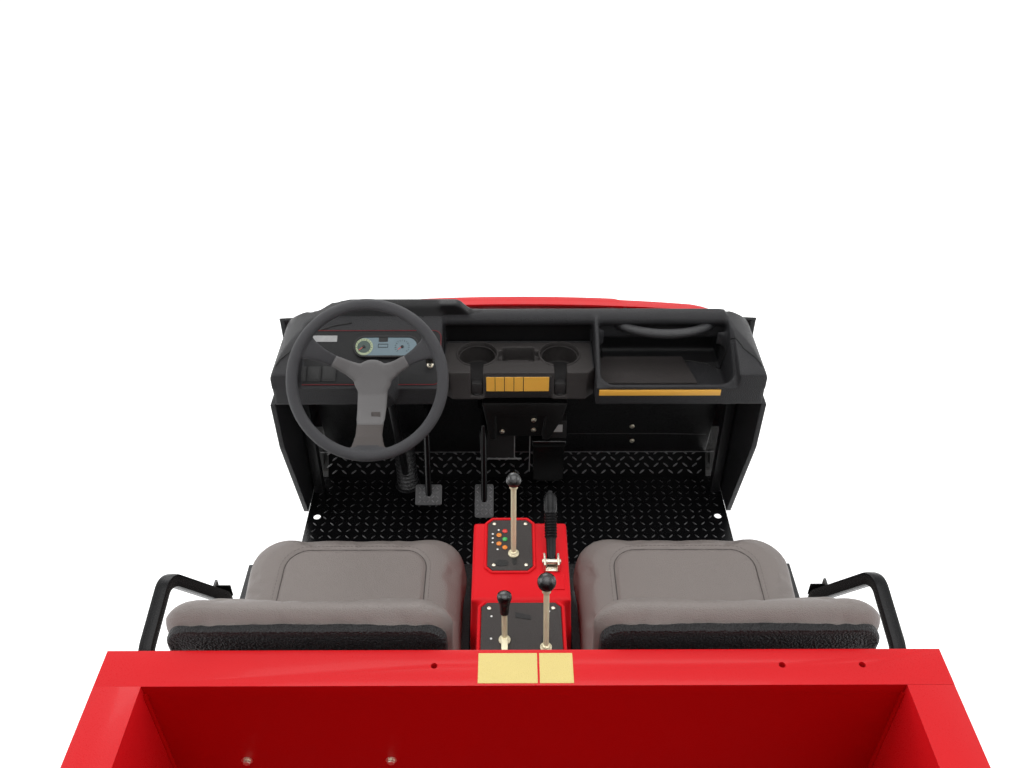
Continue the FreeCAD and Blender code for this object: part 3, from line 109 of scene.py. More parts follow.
viewSettings = {
    "place": (0.023, 1.200, 2.413),
    "pitch": 38.0,  # degrees down from level
    "yaw": 0.19,
    "lens": 32.59,
    "sensor": 36,
    "farEnd": 60,
    "floorSize": 30.0,
    "floorColor": (0.86, 0.86, 0.86, 1),
    "floorRough": 0.9,
    "floorSpec": 0.1,
    "floorGlow": 0.72,  # lifts the paper to white in the picture only
    "skyStrength": 0.34,
    "white": (1, 1, 1, 1),
}
lampSettings = [
    # name, place, target, size, watts
    ("topSoft", (0.0, 0.4, 5.0), (0, -0.3, 0.8), 4.5, 150),
    ("frontSoft", (1.2, -5.0, 3.4), (0, -0.6, 0.9), 3.2, 90),
    ("rearSoft", (-1.8, 4.6, 3.2), (0, 0.4, 0.8), 3.0, 24),
    ("leftSoft", (4.6, -0.6, 2.6), (0, -0.2, 0.7), 3.0, 70),
    ("rightSoft", (-4.6, -0.2, 2.8), (0, -0.2, 0.7), 3.0, 60),
]


def addCamera():
    camera = bpy.data.cameras.new("photoCamera")
    camera.lens = viewSettings["lens"]
    camera.sensor_width = viewSettings["sensor"]
    camera.clip_end = viewSettings["farEnd"]
    holder = looseObject("photoCamera", camera)
    holder.location = viewSettings["place"]
    tilt = math.radians(90 - viewSettings["pitch"])
    holder.rotation_euler = (tilt, 0, math.radians(180 - viewSettings["yaw"]))
    bpy.context.scene.camera = holder
    bpy.context.scene.view_settings.view_transform = "Standard"


def seenDirectly(tree):
    # Light path's outputs, and 1 where the camera sees a thing itself or in a mirror.
    path = tree.nodes.new("ShaderNodeLightPath").outputs
    return path, mathNode(tree, "MAXIMUM", path["Is Camera Ray"], path["Is Glossy Ray"])


def addFloor():
    half = viewSettings["floorSize"] / 2
    mesh = bpy.data.meshes.new("floor")
    mesh.from_pydata([(-half, -half, 0), (half, -half, 0), (half, half, 0), (-half, half, 0)], [],
            [(0, 1, 2, 3)])
    floor = looseObject("floor", mesh)
    finish, tree, surface = newMaterial("floorPaper")
    surface.inputs["Base Color"].default_value = viewSettings["floorColor"]
    surface.inputs["Roughness"].default_value = viewSettings["floorRough"]
    surface.inputs["Specular IOR Level"].default_value = viewSettings["floorSpec"]
    glow = tree.nodes.new("ShaderNodeEmission")
    glow.inputs["Color"].default_value = viewSettings["white"]
    seen = seenDirectly(tree)[1]
    tree.links.new(mathNode(tree, "MULTIPLY", seen, viewSettings["floorGlow"]), glow.inputs["Strength"])
    both = tree.nodes.new("ShaderNodeAddShader")
    tree.links.new(surface.outputs[0], both.inputs[0])
    tree.links.new(glow.outputs[0], both.inputs[1])
    tree.links.new(both.outputs[0], tree.nodes["Material Output"].inputs["Surface"])
    mesh.materials.append(finish)


def addLights():
    for name, place, target, size, watts in lampSettings:
        light = bpy.data.lights.new(name, "AREA")
        light.size = size
        light.energy = watts
        holder = looseObject(name, light)
        holder.location = place
        holder.rotation_euler = (Vector(target) - Vector(place)).to_track_quat("-Z", "Y").to_euler()
    world = bpy.data.worlds.new("studio")
    bpy.context.scene.world = world
    world.use_nodes = True
    tree = world.node_tree
    sky = tree.nodes["Background"]
    sky.inputs["Color"].default_value = viewSettings["white"]
    sky.inputs["Strength"].default_value = viewSettings["skyStrength"]
    white = tree.nodes.new("ShaderNodeBackground")
    white.inputs["Color"].default_value = viewSettings["white"]
    path, seen = seenDirectly(tree)
    blend = tree.nodes.new("ShaderNodeMixShader")
    through = mathNode(tree, "MAXIMUM", seen, path["Is Transmission Ray"])
    for place, output in enumerate((through, sky.outputs[0], white.outputs[0])):
        tree.links.new(output, blend.inputs[place])
    tree.links.new(blend.outputs[0], tree.nodes["World Output"].inputs["Surface"])


# Effects that several finishes share

socketKinds = {"value": "NodeSocketFloat", "color": "NodeSocketColor", "vector": "NodeSocketVector"}


def openGroup(name, inputs, outputs):
    # New group with its inputs' outputs, its result's inputs and the object's own coordinates.
    group = bpy.data.node_groups.new(name, "ShaderNodeTree")
    for label, kind, start in inputs:
        socket = group.interface.new_socket(name=label, in_out="INPUT", socket_type=socketKinds[kind])
        socket.default_value = start
    for label, kind in outputs:
        group.interface.new_socket(name=label, in_out="OUTPUT", socket_type=socketKinds[kind])
    source = group.nodes.new("NodeGroupInput").outputs
    result = group.nodes.new("NodeGroupOutput").inputs
    return group, source, result, group.nodes.new("ShaderNodeTexCoord").outputs["Object"]


def makeToneGroup():
    # Slow cloudy change of brightness, so that no paint or plastic is one flat colour.
    group, source, result, place = openGroup("toneDrift", [("Color", "color", (0.5, 0.5, 0.5, 1)),
            ("Scale", "value", 6.0), ("Amount", "value", 0.1)], [("Color", "color"), ("Mask", "value")])
    cloud = noiseNode(group, place, source["Scale"], 4.0, 0.6)
    spread = mathNode(group, "MULTIPLY", source["Amount"], 2.0)
    low = mathNode(group, "SUBTRACT", 1.0, source["Amount"])
    shade = mathNode(group, "ADD", low, mathNode(group, "MULTIPLY", cloud, spread))
    grey = group.nodes.new("ShaderNodeCombineColor")
    for channel in ("Red", "Green", "Blue"):
        group.links.new(shade, grey.inputs[channel])
    group.links.new(mixColor(group, 1.0, source["Color"], grey.outputs[0], "MULTIPLY"), result["Color"])
    group.links.new(cloud, result["Mask"])
    return group


def makeGrainGroup():
    # Pebbled grain of moulded plastic, vinyl and foam, with a fine second layer.
    group, source, result, place = openGroup("pebbleGrain", [("Scale", "value", 600.0),
            ("Fine", "value", 0.3)], [("Height", "value"), ("Mask", "value")])
    cells = group.nodes.new("ShaderNodeTexVoronoi")
    cells.feature = "SMOOTH_F1"
    cells.inputs["Smoothness"].default_value = 0.6
    group.links.new(place, cells.inputs["Vector"])
    group.links.new(source["Scale"], cells.inputs["Scale"])
    fine = noiseNode(group, place, mathNode(group, "MULTIPLY", source["Scale"], 2.7), 2.0, 0.6)
    dome = mathNode(group, "SUBTRACT", 1.0, cells.outputs["Distance"])
    height = mathNode(group, "ADD", dome, mathNode(group, "MULTIPLY", fine, source["Fine"]))
    group.links.new(height, result["Height"])
    group.links.new(mapRange(group, cells.outputs["Distance"], 0.2, 0.75), result["Mask"])
    return group


def makeCoverGroup(name, label, start, amount, scale, findMask):
    # A second colour over the first where findMask(group, place, scale) says, by the amount.
    group, source, result, place = openGroup(name, [("Color", "color", (0.5, 0.5, 0.5, 1)),
            (label, "color", start), ("Amount", "value", amount), ("Scale", "value", scale)],
            [("Color", "color"), ("Mask", "value")])
    found = findMask(group, place, source["Scale"])
    mask = mathNode(group, "MULTIPLY", found, source["Amount"], True)
    group.links.new(mixColor(group, mask, source["Color"], source[label]), result["Color"])
    group.links.new(mask, result["Mask"])
    return group


def rubbedEdges(group, place, scale):
    # Sharp edges, broken up by noise.
    point = group.nodes.new("ShaderNodeNewGeometry").outputs["Pointiness"]
    broken = mapRange(group, noiseNode(group, place, scale, 5.0, 0.7), 0.45, 0.6)
    return mathNode(group, "MULTIPLY", mapRange(group, point, 0.53, 0.62), broken)


def facesUp(group, place, scale):
    # Faces that look up, in clouds.
    split = group.nodes.new("ShaderNodeSeparateXYZ")
    group.links.new(group.nodes.new("ShaderNodeNewGeometry").outputs["Normal"], split.inputs[0])
    cloud = mapRange(group, noiseNode(group, place, scale, 6.0, 0.65), 0.35, 0.75)
    return mathNode(group, "MULTIPLY", mapRange(group, split.outputs["Z"], 0.2, 0.95), cloud)


def makeBrushGroup():
    # Fine streaks of turned or brushed metal along one axis.
    group, source, result, place = openGroup("brushedStreaks", [("Stretch", "vector", (20.0, 600.0, 600.0))],
            [("Height", "value"), ("Mask", "value")])
    scaled = group.nodes.new("ShaderNodeVectorMath")
    scaled.operation = "MULTIPLY"
    group.links.new(place, scaled.inputs[0])
    group.links.new(source["Stretch"], scaled.inputs[1])
    streak = noiseNode(group, scaled.outputs[0], 1.0, 3.0, 0.6)
    group.links.new(streak, result["Height"])
    group.links.new(mapRange(group, streak, 0.3, 0.7), result["Mask"])
    return group


effects = {
    "tone": makeToneGroup(),
    "grain": makeGrainGroup(),
    "wear": makeCoverGroup("edgeWear", "Bare", (0.3, 0.3, 0.3, 1), 0.3, 60.0, rubbedEdges),
    "dust": makeCoverGroup("dustFilm", "Dust", (0.55, 0.5, 0.44, 1), 0.2, 9.0, facesUp),
    "brush": makeBrushGroup(),
}

finishRows = {
    # name: record slot, color, roughness from and to, tone's scale and amount, texture, what else it has
    # a texture of two is the grain's scale and depth, one of four the streaks' stretch and depth
    "bodyRed": ("body_red", (0.600, 0.008, 0.012), (0.26, 0.36), (5, 0.04), (520, 0.0002),
        {"coat": 0.10, "spec": 0.22}),
    "hoodRed": ("body_red", (0.620, 0.010, 0.014), (0.50, 0.60), (5, 0.04), (520, 0.0002), {"spec": 0.04}),
    "consoleRed": ("body_red", (0.660, 0.010, 0.016), (0.34, 0.44), (5, 0.04), (520, 0.0002), {"spec": 0.10}),
    # darker copy of the body red for the bed wall's upright faces: painted shade
    "shadedWallRed": ("body_red", (0.370, 0.002, 0.003), (0.36, 0.46), (4, 0.04), (520, 0.0002), {"spec": 0.05}),
    "frameBlack": ("frame_black", (0.011, 0.011, 0.012), (0.24, 0.38), (8, 0.12), (420, 0.0006),
        {"coat": 0.1, "spec": 0.30}),
    "floorBlack": ("floor_black", (0.004, 0.004, 0.0045), (0.16, 0.28), (10, 0.15), (500, 0.0004),
        {"coat": 0.1, "spec": 0.25}),
    "toeBlack": ("floor_black", (0.003, 0.003, 0.0033), (0.42, 0.50), (10, 0.1), (500, 0.0004),
        {"spec": 0.05}),
    "railBlack": ("frame_black", (0.006, 0.006, 0.0065), (0.20, 0.30), (8, 0.1), (500, 0.0004),
        {"spec": 0.16}),
    # floor lozenges a little lighter than the plate: painted glints
    "treadDimGlint": ("floor_black", (0.022, 0.022, 0.023), (0.20, 0.34), (90, 0.5), (700, 0.0004),
        {"spec": 0.5}),
    # lighter tread tops: painted glints, partly bare worn steel
    "treadWearAndGlint": ("floor_black", (0.20, 0.20, 0.205), (0.14, 0.30), (90, 0.5), (700, 0.0004), {"spec": 0.8}),
    "dashPlastic": ("dash_plastic", (0.022, 0.022, 0.024), (0.36, 0.5), (7, 0.12), (520, 0.003),
        {"spec": 0.24, "dust": 0.01}),
    "handlePlastic": ("dash_plastic", (0.026, 0.026, 0.028), (0.24, 0.34), (9, 0.1), (620, 0.002),
        {"spec": 0.45}),
    "panelGloss": ("dash_plastic", (0.006, 0.006, 0.0065), (0.28, 0.38), (9, 0.1), (700, 0.001),
        {"spec": 0.20}),
    "trimRed": ("body_red", (0.16, 0.004, 0.008), (0.35, 0.5), (30, 0.1), (700, 0.001), {"spec": 0.3}),
    "binTaupe": ("panel_plastic", (0.046, 0.041, 0.040), (0.5, 0.62), (9, 0.1), (600, 0.003), {"spec": 0.2}),
    "panelPlastic": ("panel_plastic", (0.040, 0.036, 0.035), (0.40, 0.52), (9, 0.1), (600, 0.003),
        {"spec": 0.25, "wear": (0.1, (0.12, 0.11, 0.11)), "dust": 0.01}),
    "trimPlastic": ("trim_plastic", (0.011, 0.011, 0.011), (0.28, 0.42), (12, 0.1), (700, 0.0014),
        {"spec": 0.28}),
    "knobGloss": ("trim_plastic", (0.006, 0.006, 0.006), (0.08, 0.16), (20, 0.1), (900, 0.0004),
        {"coat": 0.3}),
    "bootRubber": ("trim_plastic", (0.020, 0.020, 0.021), (0.16, 0.30), (20, 0.1), (700, 0.001),
        {"spec": 0.6}),
    "bracketGrey": ("frame_black", (0.030, 0.029, 0.029), (0.4, 0.55), (14, 0.1), (500, 0.001),
        {"spec": 0.3}),
    "pedalIron": ("frame_black", (0.050, 0.050, 0.052), (0.26, 0.42), (30, 0.2), (500, 0.001), {"spec": 0.5}),
    "wheelFoam": ("wheel_plastic", (0.050, 0.050, 0.054), (0.46, 0.6), (14, 0.1), (850, 0.003),
        {"spec": 0.3, "dust": 0.012}),
    "hubTaupe": ("wheel_plastic", (0.160, 0.155, 0.155), (0.42, 0.55), (12, 0.08), (760, 0.003),
        {"spec": 0.3, "dust": 0.015}),
    "seatVinyl": ("seat_vinyl", (0.195, 0.170, 0.158), (0.38, 0.5), (5, 0.07), (560, 0.0018),
        {"spec": 0.35, "dust": 0.01}),
    "backPanel": ("trim_plastic", (0.014, 0.014, 0.015), (0.42, 0.62), (9, 0.15), (260, 0.012),
        {"spec": 0.3, "dust": 0.008}),
    "seamShade": ("seat_vinyl", (0.070, 0.060, 0.056), (0.45, 0.55), (12, 0.05), (600, 0.001), {"spec": 0.2}),
    "hubBrown": ("wheel_plastic", (0.085, 0.074, 0.070), (0.42, 0.55), (12, 0.08), (760, 0.003),
        {"spec": 0.3}),
    "plateBlack": ("plate_black", (0.018, 0.017, 0.017), (0.4, 0.5), (12, 0.1), (900, 0.0014), {"spec": 0.3}),
    "controlGrey": ("plate_black", (0.036, 0.031, 0.029), (0.42, 0.52), (12, 0.1), (900, 0.0014),
        {"spec": 0.3}),
    "yellowPlate": ("gauge_plastic", (0.95, 0.50, 0.075), (0.35, 0.5), (20, 0.05), (500, 0.001), {}),
    "paleYellow": ("gauge_plastic", (0.66, 0.53, 0.18), (0.35, 0.5), (14, 0.05), (500, 0.001), {}),
    "paleLabel": ("gauge_plastic", (0.72, 0.72, 0.70), (0.4, 0.5), (20, 0.04), (500, 0.001), {}),
    "greyLabel": ("gauge_plastic", (0.30, 0.30, 0.30), (0.4, 0.5), (60, 0.3), (500, 0.001), {}),
    "gaugeFace": ("gauge_plastic", (0.125, 0.185, 0.215), (0.3, 0.45), (18, 0.08), (900, 0.001), {}),
    "dialCream": ("gauge_plastic", (0.34, 0.40, 0.25), (0.35, 0.5), (24, 0.05), (900, 0.001), {}),
    "dialGreen": ("gauge_plastic", (0.030, 0.055, 0.045), (0.35, 0.5), (24, 0.05), (900, 0.001), {}),
    "markWhite": ("gauge_plastic", (0.8, 0.8, 0.78), (0.4, 0.5), (24, 0.03), (900, 0.001), {}),
    "leverZinc": ("lever_zinc", (0.84, 0.77, 0.53), (0.30, 0.45), (30, 0.14), (400, 400, 30, 0.002),
        {"metal": 0.25}),
    "steel": ("steel", (0.32, 0.32, 0.33), (0.28, 0.46), (18, 0.14), (30, 500, 500, 0.002), {"metal": 1.0}),
    "boltZinc": ("steel", (0.62, 0.58, 0.48), (0.25, 0.4), (60, 0.15), (300, 300, 300, 0.002),
        {"metal": 1.0}),
    "chromeRod": ("chrome_rod", (0.78, 0.78, 0.79), (0.06, 0.14), (20, 0.04), (500, 500, 20, 0.0006),
        {"metal": 1.0}),
    "engineIron": ("engine_iron", (0.055, 0.055, 0.058), (0.5, 0.7), (14, 0.2), (260, 0.008), {"dust": 0.12}),
    "axleIron": ("axle_iron", (0.028, 0.028, 0.029), (0.45, 0.65), (14, 0.2), (240, 0.008), {"dust": 0.1}),
    "rimPaint": ("rim_steel", (0.60, 0.585, 0.54), (0.3, 0.44), (8, 0.06), (300, 0.001),
        {"wear": (0.3, (0.25, 0.22, 0.18)), "dust": 0.05}),
    "tyreRubber": ("tyre", (0.016, 0.016, 0.016), (0.62, 0.82), (9, 0.2), (350, 0.006), {"dust": 0.14}),
    "ledRed": ("lamp_red", (0.75, 0.03, 0.02), (0.2, 0.3), (40, 0.05), (900, 0.001), {}),
    "ledOrange": ("lamp_red", (0.85, 0.25, 0.02), (0.2, 0.3), (40, 0.05), (900, 0.001), {}),
    "ledGreen": ("lamp_red", (0.05, 0.45, 0.10), (0.2, 0.3), (40, 0.05), (900, 0.001), {}),
    "redLens": ("lamp_red", (0.45, 0.012, 0.012), (0.12, 0.2), (30, 0.06), (180, 0.004), {"coat": 0.5}),
    "lampBowl": ("lamp_glass", (0.78, 0.79, 0.80), (0.1, 0.2), (20, 0.05), (60, 60, 60, 0.001),
        {"metal": 1.0}),
}


def placeGroup(tree, effect, values):
    node = tree.nodes.new("ShaderNodeGroup")
    node.node_tree = effects[effect]
    for label, value in values.items():
        plug(tree, value, node.inputs[label])
    return node


surfaceSettings = {
    "coatRough": 0.08,
    "wearScale": 45.0,
    "dustScale": 7.0,
    "bump": 0.6,
    "fine": 0.3,
    "maskSpan": (0.2, 0.8),
    "glassTone": (12.0, 0.02),
    "glassThrough": 0.85,
    "glassIndex": 1.45,
}


def makeFinish(name, color, rough, tone, texture, more):
    s = surfaceSettings
    material, tree, surface = newMaterial(name)
    surface.inputs["Metallic"].default_value = more.get("metal", 0.0)
    surface.inputs["Specular IOR Level"].default_value = more.get("spec", 0.5)
    surface.inputs["Coat Weight"].default_value = more.get("coat", 0.0)
    surface.inputs["Coat Roughness"].default_value = s["coatRough"]
    toned = placeGroup(tree, "tone", {"Color": (*color, 1), "Scale": tone[0], "Amount": tone[1]})
    shown = toned.outputs["Color"]
    if "wear" in more:
        amount, bare = more["wear"]
        values = {"Color": shown, "Bare": (*bare, 1), "Amount": amount, "Scale": s["wearScale"]}
        shown = placeGroup(tree, "wear", values).outputs["Color"]
    if "dust" in more:
        values = {"Color": shown, "Amount": more["dust"], "Scale": s["dustScale"]}
        shown = placeGroup(tree, "dust", values).outputs["Color"]
    tree.links.new(shown, surface.inputs["Base Color"])
    bump = tree.nodes.new("ShaderNodeBump")
    bump.inputs["Strength"].default_value = s["bump"]
    if len(texture) == 2:
        pattern = placeGroup(tree, "grain", {"Scale": texture[0], "Fine": s["fine"]})
    else:
        pattern = placeGroup(tree, "brush", {"Stretch": texture[:3]})
    bump.inputs["Distance"].default_value = texture[-1]
    tree.links.new(pattern.outputs["Height"], bump.inputs["Height"])
    tree.links.new(bump.outputs["Normal"], surface.inputs["Normal"])
    mixed = mathNode(tree, "MULTIPLY", mathNode(tree, "ADD", pattern.outputs["Mask"], toned.outputs["Mask"]),
            0.5)
    tree.links.new(mapRange(tree, mixed, *s["maskSpan"], *rough), surface.inputs["Roughness"])
    return material


def makeGlass(name, color, roughness, alpha):
    s = surfaceSettings
    material, tree, surface = newMaterial(name)
    for label, value in (("Metallic", 0.0), ("Transmission Weight", s["glassThrough"]),
            ("IOR", s["glassIndex"]), ("Alpha", alpha)):
        surface.inputs[label].default_value = value
    scale, amount = s["glassTone"]
    tone = placeGroup(tree, "tone", {"Color": (*color, 1), "Scale": scale, "Amount": amount})
    tree.links.new(tone.outputs["Color"], surface.inputs["Base Color"])
    rough = mapRange(tree, tone.outputs["Mask"], *s["maskSpan"], roughness, roughness * 2)
    tree.links.new(rough, surface.inputs["Roughness"])
    return material


finishes = {name: makeFinish(name, *row[1:]) for name, row in finishRows.items()}
finishes["clearLens"] = makeGlass("clearLens", (0.95, 0.97, 0.98), 0.02, 0.35)
finishSlots = {name: row[0] for name, row in finishRows.items()}
finishSlots["clearLens"] = "lamp_glass"
print("finishes made:", len(finishes))


# Shape helpers

def newPiece(name, mesh, finish, body="chassis", replaced=(), smoothAngle=32.0):
    # Puts a mesh, or several as one, in the scene on its body, with its finish.
    if not isinstance(mesh, bpy.types.Mesh):
        mesh = joined(name, mesh)
    piece = looseObject(name, mesh)
    if not mesh.materials:
        mesh.materials.append(finishes[finish])
    shadeByAngle(mesh, smoothAngle)
    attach(piece, body)
    if replaced:
        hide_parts(*replaced)
    return piece


def shadeByAngle(mesh, degrees):
    work = bmesh.new()
    work.from_mesh(mesh)
    limit = math.radians(degrees)
    for face in work.faces:
        face.smooth = True
    for edge in work.edges:
        edge.smooth = len(edge.link_faces) == 2 and edge.calc_face_angle(0.0) < limit
    work.to_mesh(mesh)
    work.free()


def baked(piece):
    # Applies the piece's modifiers to its mesh.
    graph = bpy.context.evaluated_depsgraph_get()
    mesh = bpy.data.meshes.new_from_object(piece.evaluated_get(graph))
    piece.modifiers.clear()
    piece.data = mesh
    return piece


def meshFromBmesh(name, work):
    bmesh.ops.recalc_face_normals(work, faces=work.faces)
    mesh = bpy.data.meshes.new(name)
    work.to_mesh(mesh)
    work.free()
    return mesh


def cleanCopy(node, flat=1.0):
    # The CAD node's mesh with its doubled points merged and its flat triangles joined.
    work = bmesh.new()
    work.from_mesh(frame["nodes"][node].data)
    bmesh.ops.remove_doubles(work, verts=work.verts, dist=0.00002)
    bmesh.ops.dissolve_limit(work, angle_limit=math.radians(flat), verts=work.verts, edges=work.edges)
    return work


def modified(name, mesh, *steps):
    # The mesh after its modifiers, each given as a kind and its settings.
    piece = looseObject(name, mesh)
    for kind, settings in steps:
        step = piece.modifiers.new(kind, kind)
        for label, value in settings.items():
            setattr(step, label, value)
    baked(piece)
    mesh = piece.data
    bpy.data.objects.remove(piece)
    return mesh


def bevelMesh(name, mesh, width, segments=2, limit=28.0):
    return modified(name, mesh, ("BEVEL", {"width": width, "segments": segments, "limit_method": "ANGLE",
            "angle_limit": math.radians(limit), "use_clamp_overlap": True}))


def softened(node, finish, body="chassis", width=0.0015, segments=2, limit=28.0):
    # A CAD piece with its edges rounded as pressed, cast or moulded edges are.
    mesh = meshFromBmesh(node + "Skin", cleanCopy(node))
    mesh = bevelMesh(node + "Skin", mesh, width, segments, limit)
    return newPiece(node + "_skin", mesh, finish, body, (node,))


def moulded(node, finish, body="chassis", voxel=0.004, rounds=6, share=None, adds=(), cuts=()):
    # A CAD piece remade as one moulding whose edges and corners are all softly rounded.
    mesh = meshFromBmesh(node + "Mould", cleanCopy(node, 0.2))
    if cuts:
        mesh = combined(node + "Mould", mesh, (), cuts)
    if adds:
        mesh = joined(node + "Mould", [mesh] + list(adds))
    mesh = remeshed(node + "Mould", mesh, voxel, rounds, share or 1.0)
    return newPiece(node + "_mould", mesh, finish, body, (node,), 60.0)


def boxMesh(name, low, high, bevel=0.0, segments=2):
    work = bmesh.new()
    corners = [(x, y, z) for x in (low[0], high[0]) for y in (low[1], high[1]) for z in (low[2], high[2])]
    points = [work.verts.new(corner) for corner in corners]
    for face in ((0, 1, 3, 2), (4, 6, 7, 5), (0, 4, 5, 1), (2, 3, 7, 6), (0, 2, 6, 4), (1, 5, 7, 3)):
        work.faces.new([points[index] for index in face])
    if bevel:
        bmesh.ops.bevel(work, geom=work.edges, offset=bevel, segments=segments, affect="EDGES", profile=0.5)
    return meshFromBmesh(name, work)


def ringPoints(centre, axis, radius, count, start=0.0):
    # Points on a circle about an axis.
    along = Vector(axis).normalized()
    side = along.orthogonal().normalized()
    other = along.cross(side)
    points = []
    for index in range(count):
        angle = start + 2 * math.pi * index / count
        points.append(Vector(centre) + side * math.cos(angle) * radius + other * math.sin(angle) * radius)
    return points


def latheMesh(name, centre, axis, profile, count=32):
    # Turned shape: profile is (distance along the axis, radius); radius 0 closes an end.
    work = bmesh.new()
    along = Vector(axis).normalized()
    rings = []
    for distance, radius in profile:
        base = Vector(centre) + along * distance
        if radius <= 0:
            rings.append([work.verts.new(base)])
        else:
            rings.append([work.verts.new(point) for point in ringPoints(base, along, radius, count)])
    for lower, upper in zip(rings, rings[1:]):
        for index in range(count):
            after = (index + 1) % count
            if len(lower) == 1 and len(upper) == 1:
                continue
            if len(lower) == 1:
                work.faces.new((lower[0], upper[index], upper[after]))
            elif len(upper) == 1:
                work.faces.new((lower[index], lower[after], upper[0]))
            else:
                work.faces.new((lower[index], lower[after], upper[after], upper[index]))
    return meshFromBmesh(name, work)


def tubeMesh(name, route, radius, count=14, closed=False, caps=True):
    # Round tube along a list of points, its ring turned smoothly from point to point.
    points = [Vector(point) for point in route]
    work = bmesh.new()
    rings = []
    side = None
    total = len(points)
    for index, point in enumerate(points):
        before = points[index - 1] if index or closed else point
        after = points[(index + 1) % total] if index < total - 1 or closed else point
        along = (after - before).normalized()
        if side is None:
            side = along.orthogonal().normalized()
        side = (side - along * side.dot(along)).normalized()
        other = along.cross(side)
        width = radius[index] if isinstance(radius, (list, tuple)) else radius
        ring = []
        for step in range(count):
            angle = 2 * math.pi * step / count
            ring.append(work.verts.new(point + (side * math.cos(angle) + other * math.sin(angle)) * width))
        rings.append(ring)
    pairs = list(zip(rings, rings[1:]))
    if closed:
        pairs.append((rings[-1], rings[0]))
    for lower, upper in pairs:
        shift = 0
        if lower is rings[-1]:
            gaps = [(lower[0].co - upper[step].co).length for step in range(count)]
            shift = gaps.index(min(gaps))
        for step in range(count):
            after = (step + 1) % count
            work.faces.new((lower[step], lower[after], upper[(after + shift) % count],
                    upper[(step + shift) % count]))
    if caps and not closed:
        work.faces.new(rings[0])
        work.faces.new(rings[-1])
    return meshFromBmesh(name, work)


def roundedRoute(points, bend, steps=6):
    # Points of a bent tube: straight runs joined by arcs.
    corners = [Vector(point) for point in points]
    route = [corners[0]]
    for before, corner, after in zip(corners, corners[1:], corners[2:]):
        runIn = (corner - before).normalized()
        runOut = (after - corner).normalized()
        turn = runIn.angle(runOut)
        if turn < 0.02:
            continue
        tangent = bend * math.tan(turn / 2)
        axis = runIn.cross(runOut).normalized()
        start = corner - runIn * tangent
        centre = start + axis.cross(runIn) * bend
        for step in range(steps + 1):
            route.append(centre + Matrix.Rotation(turn * step / steps, 3, axis) @ (start - centre))
    route.append(corners[-1])
    return route


def joined(name, meshes):
    # One mesh out of several.
    work = bmesh.new()
    for mesh in meshes:
        work.from_mesh(mesh)
    mesh = bpy.data.meshes.new(name)
    work.to_mesh(mesh)
    work.free()
    return mesh


def mirroredMesh(mesh):
    copy = mesh.copy()
    copy.transform(Matrix.Scale(-1, 4, (1, 0, 0)))
    copy.flip_normals()
    return copy


def boltMesh(name, centre, axis, size, washer=1.25, head=0.55):
    # Hex head on a round washer.
    along = Vector(axis).normalized()
    disc = latheMesh(name, centre, along, [(0, 0), (0, size * washer), (size * 0.16, size * washer),
            (size * 0.2, size * washer * 0.94), (size * 0.2, 0)], 20)
    hexagon = latheMesh(name, Vector(centre) + along * size * 0.2, along,
            [(0, 0), (0, size * 0.9), (size * head, size * 0.9), (size * (head + 0.1), size * 0.78),
            (size * (head + 0.1), 0)], 6)
    return joined(name, [disc, hexagon])


def jointPlace(name):
    # Point and axis of a joint, as the record gives them.
    for joint in frame["record"]["behaviour"]["joints"]:
        if joint["name"] == name:
            return Vector(joint["pos_m"]), Vector(joint["axis"])


def combined(name, start, adds=(), cuts=()):
    # Exact union and cut of closed meshes.
    piece = looseObject(name, start)
    for kind, meshes in (("UNION", adds), ("DIFFERENCE", cuts)):
        for mesh in meshes:
            other = looseObject(name + "Tool", mesh)
            step = piece.modifiers.new("join", "BOOLEAN")
            step.operation = kind
            step.solver = "EXACT"
            step.object = other
            baked(piece)
            bpy.data.objects.remove(other)
    mesh = piece.data
    bpy.data.objects.remove(piece)
    return mesh


def remeshed(name, mesh, voxel, rounds, keep=1.0):
    # One skin over the mesh, with every edge and inner corner softly rounded.
    steps = [("REMESH", {"mode": "VOXEL", "voxel_size": voxel}),
            ("SMOOTH", {"factor": 0.5, "iterations": rounds})]
    if keep < 1.0:
        steps.append(("DECIMATE", {"ratio": keep}))
    return modified(name, mesh, *steps)


def surfaceTree(mesh):
    return BVHTree.FromPolygons([vertex.co for vertex in mesh.vertices],
            [face.vertices for face in mesh.polygons])


def draped(tree, points, cast, lift):
    # Points dropped on a surface along the cast, then lifted off it a little.
    way = Vector(cast).normalized()
    found = []
    for point in points:
        hit = tree.ray_cast(Vector(point) - way * 0.15, way)
        if hit[0] is not None:
            found.append(hit[0] - way * lift)
    return found


def lined(points, steps=8):
    # Extra points between the given ones.
    route = []
    for before, after in zip(points, points[1:]):
        for step in range(steps):
            route.append(Vector(before).lerp(Vector(after), step / steps))
    route.append(Vector(points[-1]))
    return route


def bridged(work, rings):
    # Faces between each ring of points and the next.
    for lower, upper in zip(rings, rings[1:]):
        for index in range(len(lower)):
            after = (index + 1) % len(lower)
            work.faces.new((lower[index], lower[after], upper[after], upper[index]))


def prismMesh(name, near, far):
    # Solid between two outlines with as many points.
    work = bmesh.new()
    rings = [[work.verts.new(point) for point in ring] for ring in (near, far)]
    for ring in rings:
        work.faces.new(ring)
    bridged(work, rings)
    return meshFromBmesh(name, work)


def sidePrism(name, outline, x0, x1):
    # Solid whose (y, z) outline is seen from the side.
    return prismMesh(name, *([(x, y, z) for y, z in outline] for x in (x0, x1)))


def topPrism(name, outline, z0, z1):
    # Solid whose (x, y) outline is seen from above.
    return prismMesh(name, *([(x, y, z) for x, y in outline] for z in (z0, z1)))


